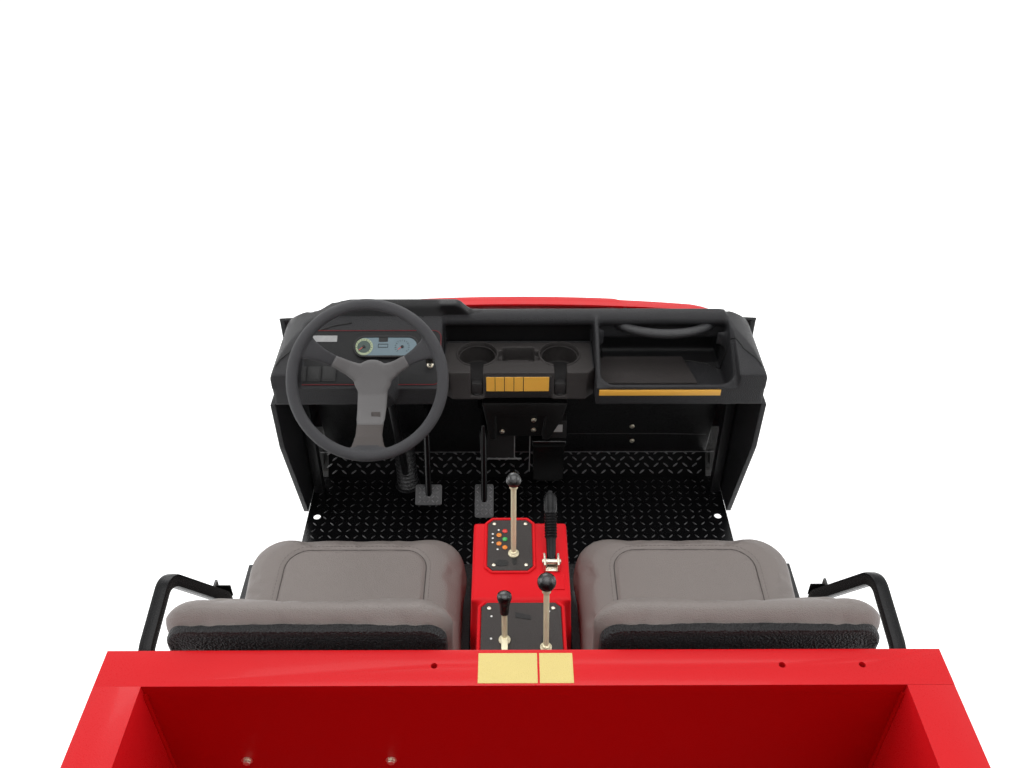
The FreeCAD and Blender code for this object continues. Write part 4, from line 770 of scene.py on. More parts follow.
def roundedOutline(halfX, halfY, corner, steps=6, centre=(0, 0)):
    # Rectangle with round corners; corner is one radius or four, from +x+y turning left.
    radii = corner if isinstance(corner, (list, tuple)) else [corner] * 4
    points = []
    for index, (sideX, sideY, radius) in enumerate(zip((1, -1, -1, 1), (1, 1, -1, -1), radii)):
        for step in range(steps + 1):
            angle = math.pi / 2 * (index + step / steps)
            points.append((centre[0] + sideX * (halfX - radius) + radius * math.cos(angle),
                    centre[1] + sideY * (halfY - radius) + radius * math.sin(angle)))
    return points


def plateMesh(name, outline, thickness, matrix=None, bevel=0.0006):
    # Thin plate from a flat (x, y) outline, then placed by a matrix.
    mesh = topPrism(name, outline, 0, thickness)
    if bevel:
        mesh = bevelMesh(name, mesh, bevel, 2, 40)
    if matrix:
        mesh.transform(matrix)
    return mesh


def facing(place, normal, up=(0, 0, 1)):
    # Matrix whose local z is the normal, and whose local y is as near to up as can be.
    forward = Vector(normal).normalized()
    side = Vector(up).cross(forward).normalized()
    above = forward.cross(side)
    turn = Matrix((side, above, forward)).transposed()
    return Matrix.Translation(place) @ turn.to_4x4()


def boltRow(name, places, axis, size):
    return joined(name, [boltMesh(name, place, axis, size) for place in places])


def screwMesh(name, centre, axis, radius):
    # Small domed screw head.
    head = latheMesh(name, centre, axis, [(0, 0), (0, radius), (radius * 0.35, radius * 0.92),
            (radius * 0.6, radius * 0.6), (radius * 0.68, 0)], 16)
    return head


addCamera()
addFloor()
addLights()
print("stage set")


# Seats: vinyl cushions and backs, blown up by a short cloth simulation

seatSettings = {
    "voxel": 0.0065,
    "pressure": 4.0,
    "frames": 20,
    "cap": 0.014,
    "inset": 0.011,
    "cushionCorners": (0.035, 0.035, 0.085, 0.085),  # rear, rear, front, front
    "cushionRound": 0.028,
    "backCorners": (0.058, 0.058, 0.03, 0.03),  # top, top, bottom, bottom
    "backRound": 0.026,
    "grooveDepth": 0.0042,
    "grooveWidth": 0.0042,
    "topstitchOut": 0.010,
    "topstitchDepth": 0.0009,
    "panelHalf": 0.160,
    "panelFront": 0.058,
    "panelCorner": 0.055,
    "stitchPitch": 0.0095,
    "stitchLength": 0.0062,
    "stitchRadius": 0.00055,
    "keep": 0.42,
    "seamRadius": 0.0013,
}


def paddedBlock(name, rings):
    # Closed mesh through a stack of outlines; each ring is a list of points.
    work = bmesh.new()
    layers = [[work.verts.new(point) for point in ring] for ring in rings]
    bridged(work, layers)
    work.faces.new(layers[0])
    work.faces.new(layers[-1])
    return meshFromBmesh(name, work)


def roundedStack(halfX, halfY, corners, thickness, edgeLow, edgeHigh):
    # Outlines from the underside to the top with both rims rounded: (outline, height) pairs.
    stack = []
    for step in range(5):
        angle = math.pi / 2 * step / 4
        stack.append((edgeLow * (1 - math.sin(angle)), edgeLow * (1 - math.cos(angle))))
    for step in range(6):
        angle = math.pi / 2 * step / 5
        stack.append((edgeHigh * (1 - math.cos(angle)), thickness - edgeHigh * (1 - math.sin(angle))))
    rings = []
    for inset, height in stack:
        radii = [max(radius - inset, 0.004) for radius in corners]
        rings.append((roundedOutline(halfX - inset, halfY - inset, radii), height))
    return rings


def inflated(name, mesh, limit, fit):
    # Blows a closed form up as cloth, spans it over the fit's axes and holds each point within the limit.
    s = seatSettings
    piece = looseObject(name, remeshed(name, mesh, s["voxel"], 2))
    start = [vertex.co.copy() for vertex in piece.data.vertices]
    cloth = piece.modifiers.new("cloth", "CLOTH")
    cloth.settings.use_pressure = True
    cloth.settings.uniform_pressure_force = s["pressure"]
    cloth.settings.effector_weights.gravity = 0
    cloth.settings.quality = 4
    cloth.collision_settings.use_collision = False
    cloth.point_cache.frame_start = 1
    cloth.point_cache.frame_end = s["frames"]
    scene = bpy.context.scene
    for step in range(1, s["frames"] + 1):
        scene.frame_set(step)
    baked(piece)
    scene.frame_set(1)
    for vertex, before in zip(piece.data.vertices, start):
        move = vertex.co - before
        if move.length > s["cap"]:
            vertex.co = before + move.normalized() * s["cap"]
    for axis, (least, most) in fit.items():
        places = [vertex.co[axis] for vertex in piece.data.vertices]
        first, last = min(places), max(places)
        for vertex in piece.data.vertices:
            vertex.co[axis] = least + (vertex.co[axis] - first) * (most - least) / (last - first)
    for vertex in piece.data.vertices:
        vertex.co = limit(vertex.co)
    smooth = piece.modifiers.new("round", "SUBSURF")
    smooth.levels = 1
    smooth.render_levels = 1
    baked(piece)
    mesh = piece.data
    bpy.data.objects.remove(piece)
    return mesh


def outlineDistance(x, y, halfX, halfY, corner):
    # Signed distance from a rounded rectangle about the origin, negative inside.
    dx = abs(x) - (halfX - corner)
    dy = abs(y) - (halfY - corner)
    outside = math.hypot(max(dx, 0), max(dy, 0))
    return outside + min(max(dx, dy), 0) - corner


def grooved(mesh, reach, depth):
    # Presses seams into a mesh; depth(point) tells how deep, reach(normal) where they may be.
    moves = []
    for vertex in mesh.vertices:
        if reach(vertex.normal):
            moves.append((vertex, vertex.normal * depth(vertex.co)))
    for vertex, move in moves:
        vertex.co -= move
    return mesh


def stitchRow(name, mesh, path, cast):
    # Short stitches along a path, laid on the mesh in the direction of the cast.
    s = seatSettings
    tree = surfaceTree(mesh)
    lengths = [0.0]
    for before, after in zip(path, path[1:]):
        lengths.append(lengths[-1] + (Vector(after) - Vector(before)).length)

    def along(distance):
        for index in range(len(path) - 1):
            if distance <= lengths[index + 1]:
                share = (distance - lengths[index]) / max(lengths[index + 1] - lengths[index], 1e-9)
                return Vector(path[index]).lerp(Vector(path[index + 1]), share)
        return Vector(path[-1])

    stitches = []
    down = Vector(cast).normalized()
    for index in range(int(lengths[-1] / s["stitchPitch"])):
        ends = []
        for share in (0.0, 0.5, 1.0):
            point = along(index * s["stitchPitch"] + share * s["stitchLength"])
            hit = tree.ray_cast(point - down * 0.2, down)
            if hit[0] is not None:
                rise = s["stitchRadius"] * (0.9 if share == 0.5 else -0.4)
                ends.append(hit[0] - down * rise)
        if len(ends) == 3:
            stitches.append(tubeMesh(name, ends, s["stitchRadius"], 5))
    return joined(name, stitches)


def seatGroove(distance):
    s = seatSettings
    seam = s["grooveDepth"] * math.exp(-(distance / s["grooveWidth"]) ** 2)
    topstitch = s["topstitchDepth"] * math.exp(-((distance - s["topstitchOut"]) / 0.0028) ** 2)
    return seam + topstitch


def openPanelPath(halfX, low, high, corner, out):
    # Path up one side, round two corners and down the other: (a, b) points of a seam panel.
    x = halfX + out
    y = high + out
    r = corner + out
    points = [(x, low + (y - r - low) * step / 8) for step in range(9)]
    points += [(x - r + r * math.cos(math.pi / 2 * step / 8), y - r + r * math.sin(math.pi / 2 * step / 8))
            for step in range(1, 9)]
    points += [(x - r - 2 * (x - r) * step / 8, y) for step in range(1, 9)]
    points += [(-x + r - r * math.sin(math.pi / 2 * step / 8), y - r + r * math.cos(math.pi / 2 * step / 8))
            for step in range(1, 9)]
    points += [(-x, y - r - (y - r - low) * step / 8) for step in range(1, 9)]
    return points


def addCushions():
    s = seatSettings
    low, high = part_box("seat_cushion_left")
    centre = (low + high) / 2
    size = high - low
    inset = s["inset"]
    rings = []
    for outline, height in roundedStack(size.x / 2 - inset, size.y / 2 - inset, s["cushionCorners"],
            size.z - inset, 0.012, s["cushionRound"]):
        # the block narrows and drops a little towards its back, where the sitter's weight lies
        rings.append([(centre.x + x, centre.y + y,
                low.z + height * (1 - 0.05 * smoothStep(y, 0.0, size.y / 2))) for x, y in outline])

    def limit(point):
        return Vector((min(max(point.x, low.x), high.x), min(max(point.y, low.y), high.y),
                min(max(point.z, low.z), high.z + 0.004)))

    mesh = inflated("cushionPad", paddedBlock("cushionPad", rings), limit,
            {0: (low.x, high.x), 1: (low.y, high.y), 2: (low.z, high.z + 0.002)})
    front = low.y + s["panelFront"]
    rear = high.y + 0.06
    middle = (front + rear) / 2
    half = (rear - front) / 2

    def depth(point):
        return seatGroove(outlineDistance(point.x - centre.x, point.y - middle, s["panelHalf"], half,
                s["panelCorner"]))

    mesh = grooved(mesh, lambda normal: normal.z > 0.45, depth)
    path = openPanelPath(s["panelHalf"], -(high.y - 0.03), -front, s["panelCorner"], s["topstitchOut"])
    path = [(centre.x + a, -b, high.z) for a, b in path]
    thread = stitchRow("cushionThread", mesh, path, (0, 0, -1))
    # dark cord in the seam's groove: the seam's own dark line, deepened as painted shade in the groove
    path = openPanelPath(s["panelHalf"], -(high.y - 0.03), -front, s["panelCorner"], 0.0)
    path = draped(surfaceTree(mesh), lined([(centre.x + a, -b, high.z) for a, b in path], 3), (0, 0, -1),
            -0.0002)
    cord = tubeMesh("cushionSeam", path, s["seamRadius"], 6)
    mesh = modified("thin", mesh, ("DECIMATE", {"ratio": s["keep"]}))
    for side in ("left", "right"):
        skin = mesh if side == "left" else mirroredMesh(mesh)
        stitch = thread if side == "left" else mirroredMesh(thread)
        pad = newPiece("seat_cushion_" + side + "_pad", skin, "seatVinyl", "chassis",
                ("seat_cushion_" + side,), 60)
        newPiece("seat_cushion_" + side + "_thread", stitch, "seatThread")
        newPiece("seat_cushion_" + side + "_seam", cord if side == "left" else mirroredMesh(cord),
                "seamShade", "chassis", (), 60)


def smoothStep(value, low, high):
    share = min(max((value - low) / (high - low), 0.0), 1.0)
    return share * share * (3 - 2 * share)


backSettings = {
    "lean": 0.038,
    "panelInset": 0.010,  # black cover in from the sides
    "panelDrop": 0.026,   # and down from the top
    "panelCorner": 0.042,
    "panelProud": 0.003,
    "panelDome": 0.006,
}


def addSeatBacks():
    s = seatSettings
    b = backSettings
    low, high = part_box("seat_back_left")
    size = high - low
    centre = (low + high) / 2
    thickness = size.y - b["lean"]
    inset = s["inset"]
    rings = []
    for outline, height in roundedStack(size.x / 2 - inset, size.z / 2 - inset, s["backCorners"],
            thickness - 2 * inset, s["backRound"], s["backRound"]):
        ring = []
        for x, z in outline:
            share = (z + size.z / 2) / size.z
            ring.append((centre.x + x, low.y + inset + b["lean"] * share + height, centre.z + z))
        rings.append(ring)

    def limit(point):
        share = (point.z - low.z) / size.z
        frontFace = low.y + b["lean"] * share
        nearest = frontFace + 0.001 if point.z < seatTop + 0.02 else frontFace - 0.008
        return Vector((min(max(point.x, low.x), high.x), min(max(point.y, nearest),
                frontFace + thickness - 0.001), min(max(point.z, low.z), high.z)))

    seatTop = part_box("seat_cushion_left")[1].z
    mesh = inflated("backPad", paddedBlock("backPad", rings), limit,
            {0: (low.x, high.x), 2: (low.z, high.z - 0.003)})
    top = size.z / 2 - s["panelFront"]
    bottom = -size.z / 2 - 0.06
    middle = centre.z + (top + bottom) / 2
    half = (top - bottom) / 2

    def depth(point):
        return seatGroove(outlineDistance(point.x - centre.x, point.z - middle, s["panelHalf"], half,
                s["panelCorner"]))

    mesh = grooved(mesh, lambda normal: normal.y < -0.45, depth)
    path = openPanelPath(s["panelHalf"], low.z + 0.15, centre.z + top, s["panelCorner"], s["topstitchOut"])
    path = [(centre.x + a, low.y, c) for a, c in path]
    thread = stitchRow("backThread", mesh, path, (0, 1, 0))
    mesh = modified("thin", mesh, ("DECIMATE", {"ratio": s["keep"]}))
    cover = backCover(low, high, centre, size, thickness)
    for side in ("left", "right"):
        skin = mesh if side == "left" else mirroredMesh(mesh)
        stitch = thread if side == "left" else mirroredMesh(thread)
        panel = cover if side == "left" else mirroredMesh(cover)
        pad = newPiece("seat_back_" + side + "_pad", skin, "seatVinyl", "chassis", ("seat_back_" + side,), 60)
        newPiece("seat_back_" + side + "_thread", stitch, "seatThread")
        newPiece("seat_back_" + side + "_cover", panel, "backPanel", "chassis", (), 50)


def backCover(low, high, centre, size, thickness):
    # Textured cover over the rear of the backrest, a shallow dished shell with a rolled rim.
    b = backSettings
    halfX = size.x / 2 - b["panelInset"]
    top = high.z - b["panelDrop"]
    bottom = low.z + 0.012
    halfZ = (top - bottom) / 2
    middle = (top + bottom) / 2
    corners = (b["panelCorner"], b["panelCorner"], 0.02, 0.02)
    rings = []
    for inset, proud in ((0.0, -0.012), (0.0, -0.002), (0.002, b["panelProud"]),
            (0.006, b["panelProud"] + 0.0015), (0.012, b["panelProud"]), (0.02, b["panelProud"] - 0.001),
            (0.06, b["panelProud"] + b["panelDome"] * 0.5), (0.14, b["panelProud"] + b["panelDome"])):
        radii = [max(radius - inset * 0.7, 0.006) for radius in corners]
        ring = []
        for x, z in roundedOutline(halfX - inset, halfZ - inset, radii, 8):
            share = (middle + z - low.z) / size.z
            ring.append((centre.x + x, low.y + b["lean"] * share + thickness + proud, middle + z))
        rings.append(ring)
    return paddedBlock("backCover", rings)


finishes["seatThread"] = makeFinish("seatThread", (0.10, 0.085, 0.078), (0.55, 0.7), (60, 0.1),
        (1500, 0.0005), {})
finishSlots["seatThread"] = "seat_vinyl"
addCushions()
addSeatBacks()
print("seats done")


# Steering wheel: foam rim and spokes, with a smooth pad over the hub

wheelSettings = {
    "rim": 0.1725,
    "tube": 0.0135,
    "dish": 0.072,
    "padEnd": 0.096,       # where the pad's upper arms end
    "padEndLow": 0.103,    # and its lower arm
    "voxel": 0.0030,
}


def wheelMatrix():
    place, axis = jointPlace("wheel_turn")
    tilt = math.atan2(axis.z, axis.y)
    return Matrix.Translation(place) @ Matrix.Rotation(tilt - math.pi / 2, 4, "X")


def wheelHeight(radius):
    # How far the spokes lie behind the rim's plane.
    s = wheelSettings
    return -s["dish"] * (1 - smoothStep(radius, 0.035, 0.165))


def wheelArm(direction, stations):
    # Flattened spoke through (radius, width, thickness) stations.
    along = Vector((direction[0], direction[1], 0)).normalized()
    side = Vector((-along.y, along.x, 0))
    rings = []
    for radius, width, thickness in stations:
        base = along * radius + Vector((0, 0, wheelHeight(radius) - thickness / 2))
        ring = []
        for step in range(16):
            angle = 2 * math.pi * step / 16
            c = math.cos(angle)
            d = math.sin(angle)
            across = math.copysign(abs(c) ** 0.6, c) * width / 2
            height = math.copysign(abs(d) ** 0.8, d) * thickness / 2
            ring.append(base + side * across + Vector((0, 0, height)))
        rings.append(ring)
    return paddedBlock("wheelArm", rings)


def addSteeringWheel():
    s = wheelSettings
    matrix = wheelMatrix()
    count = 96
    circle = [(s["rim"] * math.cos(2 * math.pi * i / count), s["rim"] * math.sin(2 * math.pi * i / count), 0)
            for i in range(count)]
    ring = tubeMesh("wheelRim", circle, s["tube"], 20, closed=True)
    upper = [(0.004, 0.062, 0.020), (0.03, 0.050, 0.020), (0.06, 0.036, 0.018), (0.095, 0.029, 0.015),
            (0.12, 0.033, 0.013), (0.145, 0.046, 0.013), (0.165, 0.064, 0.015), (0.172, 0.072, 0.012)]
    lower = [(0.004, 0.070, 0.020), (0.035, 0.072, 0.020), (0.07, 0.070, 0.018), (0.103, 0.066, 0.015),
            (0.13, 0.066, 0.013), (0.152, 0.078, 0.013), (0.166, 0.100, 0.015), (0.172, 0.110, 0.012)]
    angle = math.radians(62)
    arms = [wheelArm((math.sin(angle), -math.cos(angle)), upper),
            wheelArm((-math.sin(angle), -math.cos(angle)), upper), wheelArm((0, 1), lower)]
    low = -0.105
    hub = latheMesh("wheelHub", (0, 0, low), (0, 0, 1), [(0, 0), (0, 0.03), (0.004, 0.034), (0.018, 0.034),
            (0.030, 0.042), (-low - s["dish"] - 0.004, 0.040), (-low - s["dish"], 0.034),
            (-low - s["dish"], 0)], 40)
    blend = latheMesh("wheelBlend", (0, -0.004, -s["dish"] - 0.012), (0, 0, 1),
            [(-0.008, 0), (-0.006, 0.035), (0.0, 0.046), (0.008, 0.044), (0.0115, 0.036), (0.0122, 0)], 40)
    solid = combined("wheelSolid", ring, arms + [hub, blend])
    mesh = remeshed("wheelSkin", solid, s["voxel"], 6)
    work = bmesh.new()
    work.from_mesh(mesh)
    planes = [(Vector((math.sin(angle), -math.cos(angle), 0)), s["padEnd"]),
            (Vector((-math.sin(angle), -math.cos(angle), 0)), s["padEnd"]),
            (Vector((0, 1, 0)), s["padEndLow"])]
    for normal, distance in planes:
        near = [face for face in work.faces if face.calc_center_median().normalized().dot(normal) > 0.9]
        geometry = near + list({edge for face in near for edge in face.edges}) + list({v for face in near
                for v in face.verts})
        bmesh.ops.bisect_plane(work, geom=geometry, plane_co=normal * distance, plane_no=normal, dist=0.00001)
    for vertex in work.verts:
        for normal, distance in planes:
            if vertex.co.length < 0.15 and vertex.co.normalized().dot(normal) > 0.8:
                gap = abs(vertex.co.dot(normal) - distance)
                vertex.co.z -= 0.0026 * math.exp(-(gap / 0.0022) ** 2)
    mesh = bpy.data.meshes.new("wheelSkin")
    work.to_mesh(mesh)
    work.free()
    mesh.materials.append(finishes["wheelFoam"])
    mesh.materials.append(finishes["hubTaupe"])
    mesh.materials.append(finishes["hubBrown"])
    for face in mesh.polygons:
        point = face.center
        flat = Vector((point.x, point.y, 0))
        inPad = flat.length < 0.03 or all(flat.dot(normal) < distance for normal, distance in planes)
        lowArm = flat.y > s["padEndLow"] and flat.length < 0.158 and abs(flat.x) < 0.06
        if (inPad or lowArm) and point.z < -0.004 and flat.length < 0.158:
            face.material_index = 2 if lowArm else 1
    mesh.transform(matrix)
    newPiece("steering_wheel_skin", mesh, "wheelFoam", "steering_wheel", ("steering_wheel",), 60)
    badge = plateMesh("wheelBadge", roundedOutline(0.0105, 0.0095, 0.0015), 0.0024,
            matrix @ Matrix.Translation((-0.012, 0.083, wheelHeight(0.083) - 0.0008)), 0.0008)
    newPiece("steering_wheel_badge", badge, "hubBrown", "steering_wheel")


def addColumn():
    # Column tube, lower shaft with its joint, and the ribbed boot on the floor.
    place, axis = jointPlace("wheel_turn")
    joint = place - axis * 0.34
    tube = tubeMesh("columnTube", [place - axis * 0.108, place - axis * 0.2, joint + axis * 0.012],
            [0.0215, 0.0235, 0.0235], 28)
    collar = latheMesh("columnCollar", place - axis * 0.118, -axis,
            [(0, 0.0), (0, 0.027), (0.004, 0.029), (0.016, 0.029), (0.02, 0.024)], 28)
    foot = Vector((0.338, -0.873, 0.400))
    shaft = tubeMesh("columnShaft", [joint, foot + (joint - foot) * 0.05], 0.0115, 16)
    yokes = []
    for end in (joint, joint + (foot - joint).normalized() * 0.05):
        yokes.append(latheMesh("yoke", end, (foot - joint), [(-0.018, 0), (-0.018, 0.017), (-0.012, 0.020),
                (0.012, 0.020), (0.018, 0.017), (0.018, 0)], 20))
    profile = [(0, 0), (0, 0.031)]
    folds = 13
    height = 0.196
    for fold in range(folds):
        share = (fold + 0.25) / folds
        profile.append((height * share, 0.0325 - 0.005 * share))
        share = (fold + 0.75) / folds
        profile.append((height * share, 0.0235 - 0.004 * share))
    profile += [(height, 0.018), (height + 0.004, 0.015), (height + 0.004, 0)]
    boot = latheMesh("columnBoot", foot, (0, 0, 1), profile, 36)
    flange = latheMesh("bootFlange", foot, (0, 0, 1), [(0, 0), (0, 0.039), (0.004, 0.038), (0.005, 0.032),
            (0.005, 0)], 36)
    newPiece("steering_column_tube", [tube, collar, shaft] + yokes, "frameBlack", "chassis",
            ("steering_column",))
    # lighter thin rings on the boot's fold crests: painted highlights
    rings = []
    for fold in range(folds):
        share = (fold + 0.25) / folds
        circle = ringPoints(foot + Vector((0, 0, height * share)), (0, 0, 1), 0.0325 - 0.005 * share, 28)
        rings.append(tubeMesh("bootFoldHighlight", circle, 0.0011, 6, True))
    newPiece("steering_boot_fold_highlights", rings, "pedalIron")
    newPiece("steering_column_boot", [boot, flange], "bootRubber", "chassis", (), 30)


addSteeringWheel()
addColumn()
print("steering done")


# Dashboard, cup panel, instruments and grab handle

dashSettings = {
    "ridge": (-0.765, 1.090),
    "slope": (0.851, -0.525),
    "voxel": 0.0045,
    "seam": 0.0022,
    "cornerCentre": (0.470, 0.990),  # the ears' round top corners, seen from behind
    "cornerRound": (0.150, 0.108),
    "panel": (0.196, 0.572, 0.034, 0.180),  # dark instrument panel: x and the run down the slope
    "panelCorner": 0.018,
    "binX": (-0.535, -0.205),
    "binBack": -0.615,
    "binTop": -0.762,
    "fillet": 0.040,
    "crestEdge": -0.7930,
    # rolled edge along the ridge: (y, z) round from the top
    "brow": ((-0.801, 1.0965), (-0.788, 1.0960), (-0.777, 1.0915), (-0.7695, 1.0830), (-0.7680, 1.0730),
        (-0.7720, 1.0640),
             (-0.7800, 1.0580), (-0.801, 1.0560)),
}


def slopePlace(x, run, out=0.0):
    # A point on the dash's sloping face, by its distance down from the ridge.
    d = dashSettings
    return Vector((x, d["ridge"][0] + d["slope"][0] * run - d["slope"][1] * out,
            d["ridge"][1] + d["slope"][1] * run + d["slope"][0] * out))


def slopeNormal():
    return Vector((0, -dashSettings["slope"][1], dashSettings["slope"][0]))


def rearPrism(name, outline, y0, y1):
    # Solid whose (x, z) outline is seen from behind.
    return prismMesh(name, *([(x, y, z) for x, z in outline] for y in (y0, y1)))


def earCorner(side):
    # What is taken off an ear to round its top corner.
    (cx, cz), (rx, rz) = dashSettings["cornerCentre"], dashSettings["cornerRound"]
    outline = [(cx, cz + 0.2), (cx + 0.25, cz + 0.2), (cx + 0.25, cz)]
    for step in range(13):
        angle = math.pi / 2 * step / 12
        outline.append((cx + rx * math.cos(angle), cz + rz * math.sin(angle)))
    return rearPrism("earCorner", [(side * x, z) for x, z in outline], -0.95, -0.55)


def binFillet(x, y, sideX, sideY, radius, z0, z1):
    # Fills an upright inner corner to a round one.
    outline = [(x - sideX * 0.002, y - sideY * 0.002), (x + sideX * radius, y - sideY * 0.002)]
    for step in range(9):
        angle = math.pi / 2 * step / 8
        outline.append((x + sideX * radius * (1 - math.sin(angle)),
                y + sideY * radius * (1 - math.cos(angle))))
    outline.append((x - sideX * 0.002, y + sideY * radius))
    return topPrism("binFillet", outline, z0, z1)


def addDashboard():
    d = dashSettings
    # the hump over the instruments runs down to the ridge in a slant at each end
    slants = [rearPrism("humpSlant", [(0.200, 1.070), (0.200, 1.1265), (0.158, 1.1265), (0.149, 1.1235),
            (0.126, 1.0990), (0.112, 1.070)], -0.804, -0.774), sidePrism("dashBrow", d["brow"], 0.198,
            -0.532), rearPrism("humpSlant", [(0.475, 1.070), (0.475, 1.1180), (0.500, 1.1020),
            (0.520, 1.0880), (0.530, 1.070)], -0.804, -0.768)]
    trims = [rearPrism("humpTrim", [(0.490, 1.16), (0.400, 1.16), (0.400, 1.1300), (0.445, 1.1240),
            (0.490, 1.1090)], -0.95, -0.70), earCorner(1), earCorner(-1)]
    shroud = latheMesh("dashShroud", slopePlace(0.347, 0.163, -0.02), (0, d["slope"][0], -0.30),
            [(0, 0), (0, 0.052), (0.03, 0.048), (0.06, 0.038), (0.062, 0)], 32)
    (x0, x1), back, top = d["binX"], d["binBack"], d["binTop"]
    fillet = d["fillet"]
    fills = [binFillet(x0, back, 1, -1, fillet, 0.930, 0.993), binFillet(x1, back, -1, -1, fillet * 0.75,
            0.930, 0.993), binFillet(x0, top, 1, 1, fillet * 0.8, 1.010, 1.052),
            binFillet(x1, top, -1, 1, fillet * 0.6, 1.010, 1.058)]
    rim = [slopePlace(x1 + 0.006, 0.03), slopePlace(x1 + 0.006, 0.186), slopePlace(x0 - 0.006, 0.186),
            slopePlace(x0 - 0.006, 0.03)]
    rim = tubeMesh("binRim", roundedRoute(rim, 0.040, 8), 0.0052, 12)
    dash = moulded("dashboard", "dashPlastic", "chassis", d["voxel"], 6, 0.6, (shroud, rim, *slants, *fills),
            trims)
    # the crest and the hump over the instruments are a blacker moulding
    dash.data.materials.append(finishes["panelGloss"])
    for face in dash.data.polygons:
        x, y, z = face.center
        if y < d["crestEdge"] or (z > 1.0945 and 0.10 < x < 0.545):
            face.material_index = 1
    tree = surfaceTree(dash.data)
    down = (0, -0.3, -1)
    seams = []
    for side in (-1, 1):
        groove = [slopePlace(side * x, run) for x, run in ((0.425, 0.012), (0.470, 0.020), (0.515, 0.036),
                (0.545, 0.066), (0.562, 0.100), (0.590, 0.130), (0.600, 0.150))]
        seams.append(tubeMesh("dashSeam", draped(tree, lined(groove), down, 0.0002), d["seam"], 8))
    strip = lined([slopePlace(-0.425, 0.012), slopePlace(0.105, 0.010)], 24)
    seams.append(tubeMesh("dashSeam", draped(tree, strip, down, 0.0002), 0.0017, 8))
    newPiece("dash_seams", seams, "trimPlastic")
    addInstrumentPanel(tree)
    insert = topPrism("binInsert", [(-0.214, -0.806), (-0.440, -0.806), (-0.464, -0.690), (-0.214, -0.690)],
            0.9315, 0.9400)
    newPiece("dash_bin_insert", bevelMesh("binInsert", insert, 0.003, 2, 30), "binTaupe")
    strip = boxMesh("binStrip", (-0.5025, -0.6050, 0.967), (-0.2000, -0.6022, 0.985), 0.0008)
    newPiece("dash_bin_strip", strip, "yellowPlate")


def addInstrumentPanel(tree):
    # Dark panel round the instruments with a thin red edge, its switches, key and blank label.
    d = dashSettings
    x0, x1, run0, run1 = d["panel"]
    middle = slopePlace((x0 + x1) / 2, (run0 + run1) / 2)
    place = facing(middle, slopeNormal())
    outline = roundedOutline((x1 - x0) / 2, (run1 - run0) / 2, d["panelCorner"], 6)
    plate = plateMesh("instrumentPanel", outline, 0.0026, place @ Matrix.Translation((0, 0, -0.0010)), 0.0008)
    newPiece("dash_instrument_panel", plate, "panelGloss")
    route = [place @ Vector((x, y, 0.0017)) for x, y in outline]
    newPiece("dash_panel_edge", tubeMesh("panelEdge", route, 0.0009, 8, True), "trimRed")
    down = (0, -0.3, -1)
    switches = []
    for x in (0.546, 0.509, 0.472):
        switchPlace = facing(slopePlace(x, 0.152, 0.0014), slopeNormal())
        switches.append(plateMesh("switchBlank", roundedOutline(0.0170, 0.0205, 0.003), 0.0030, switchPlace,
                0.0012))
        switches.append(plateMesh("switchBlank", roundedOutline(0.0135, 0.0165, 0.002), 0.0042, switchPlace,
                0.0010))
    newPiece("dash_switches", switches, "trimPlastic")
    hit = draped(tree, [slopePlace(0.221, 0.128)], down, 0.0)[0] + slopeNormal() * 0.0014
    barrel = latheMesh("keySwitch", hit, slopeNormal(), [(-0.004, 0), (-0.004, 0.0085), (0.003, 0.0085),
            (0.0042, 0.0076), (0.0042, 0.0052), (0.008, 0.0048), (0.009, 0.0042), (0.009, 0)], 32)
    newPiece("dash_key", barrel, "boltZinc")
    keyPlace = facing(hit, slopeNormal())
    key = joined("dashKey", [plateMesh("dashKey", roundedOutline(0.0014, 0.006, 0.0006), 0.014, keyPlace),
            plateMesh("dashKey", roundedOutline(0.009, 0.0015, 0.001), 0.032,
            keyPlace @ Matrix.Translation((0, 0, 0.012)))])
    newPiece("dash_key_grip", key, "trimPlastic")
    label = plateMesh("dashLabel", roundedOutline(0.042, 0.0085, 0.001), 0.0007,
            facing(slopePlace(0.500, 0.056, 0.0014), slopeNormal()), 0)
    newPiece("dash_label", label, "greyLabel")


clusterSettings = {
    "face": 0.0055,   # how far the face lies inside the bezel
    "dials": ((0.388, 0.0225), (0.292, 0.0200)),  # x and radius
    "ticks": 15,
}


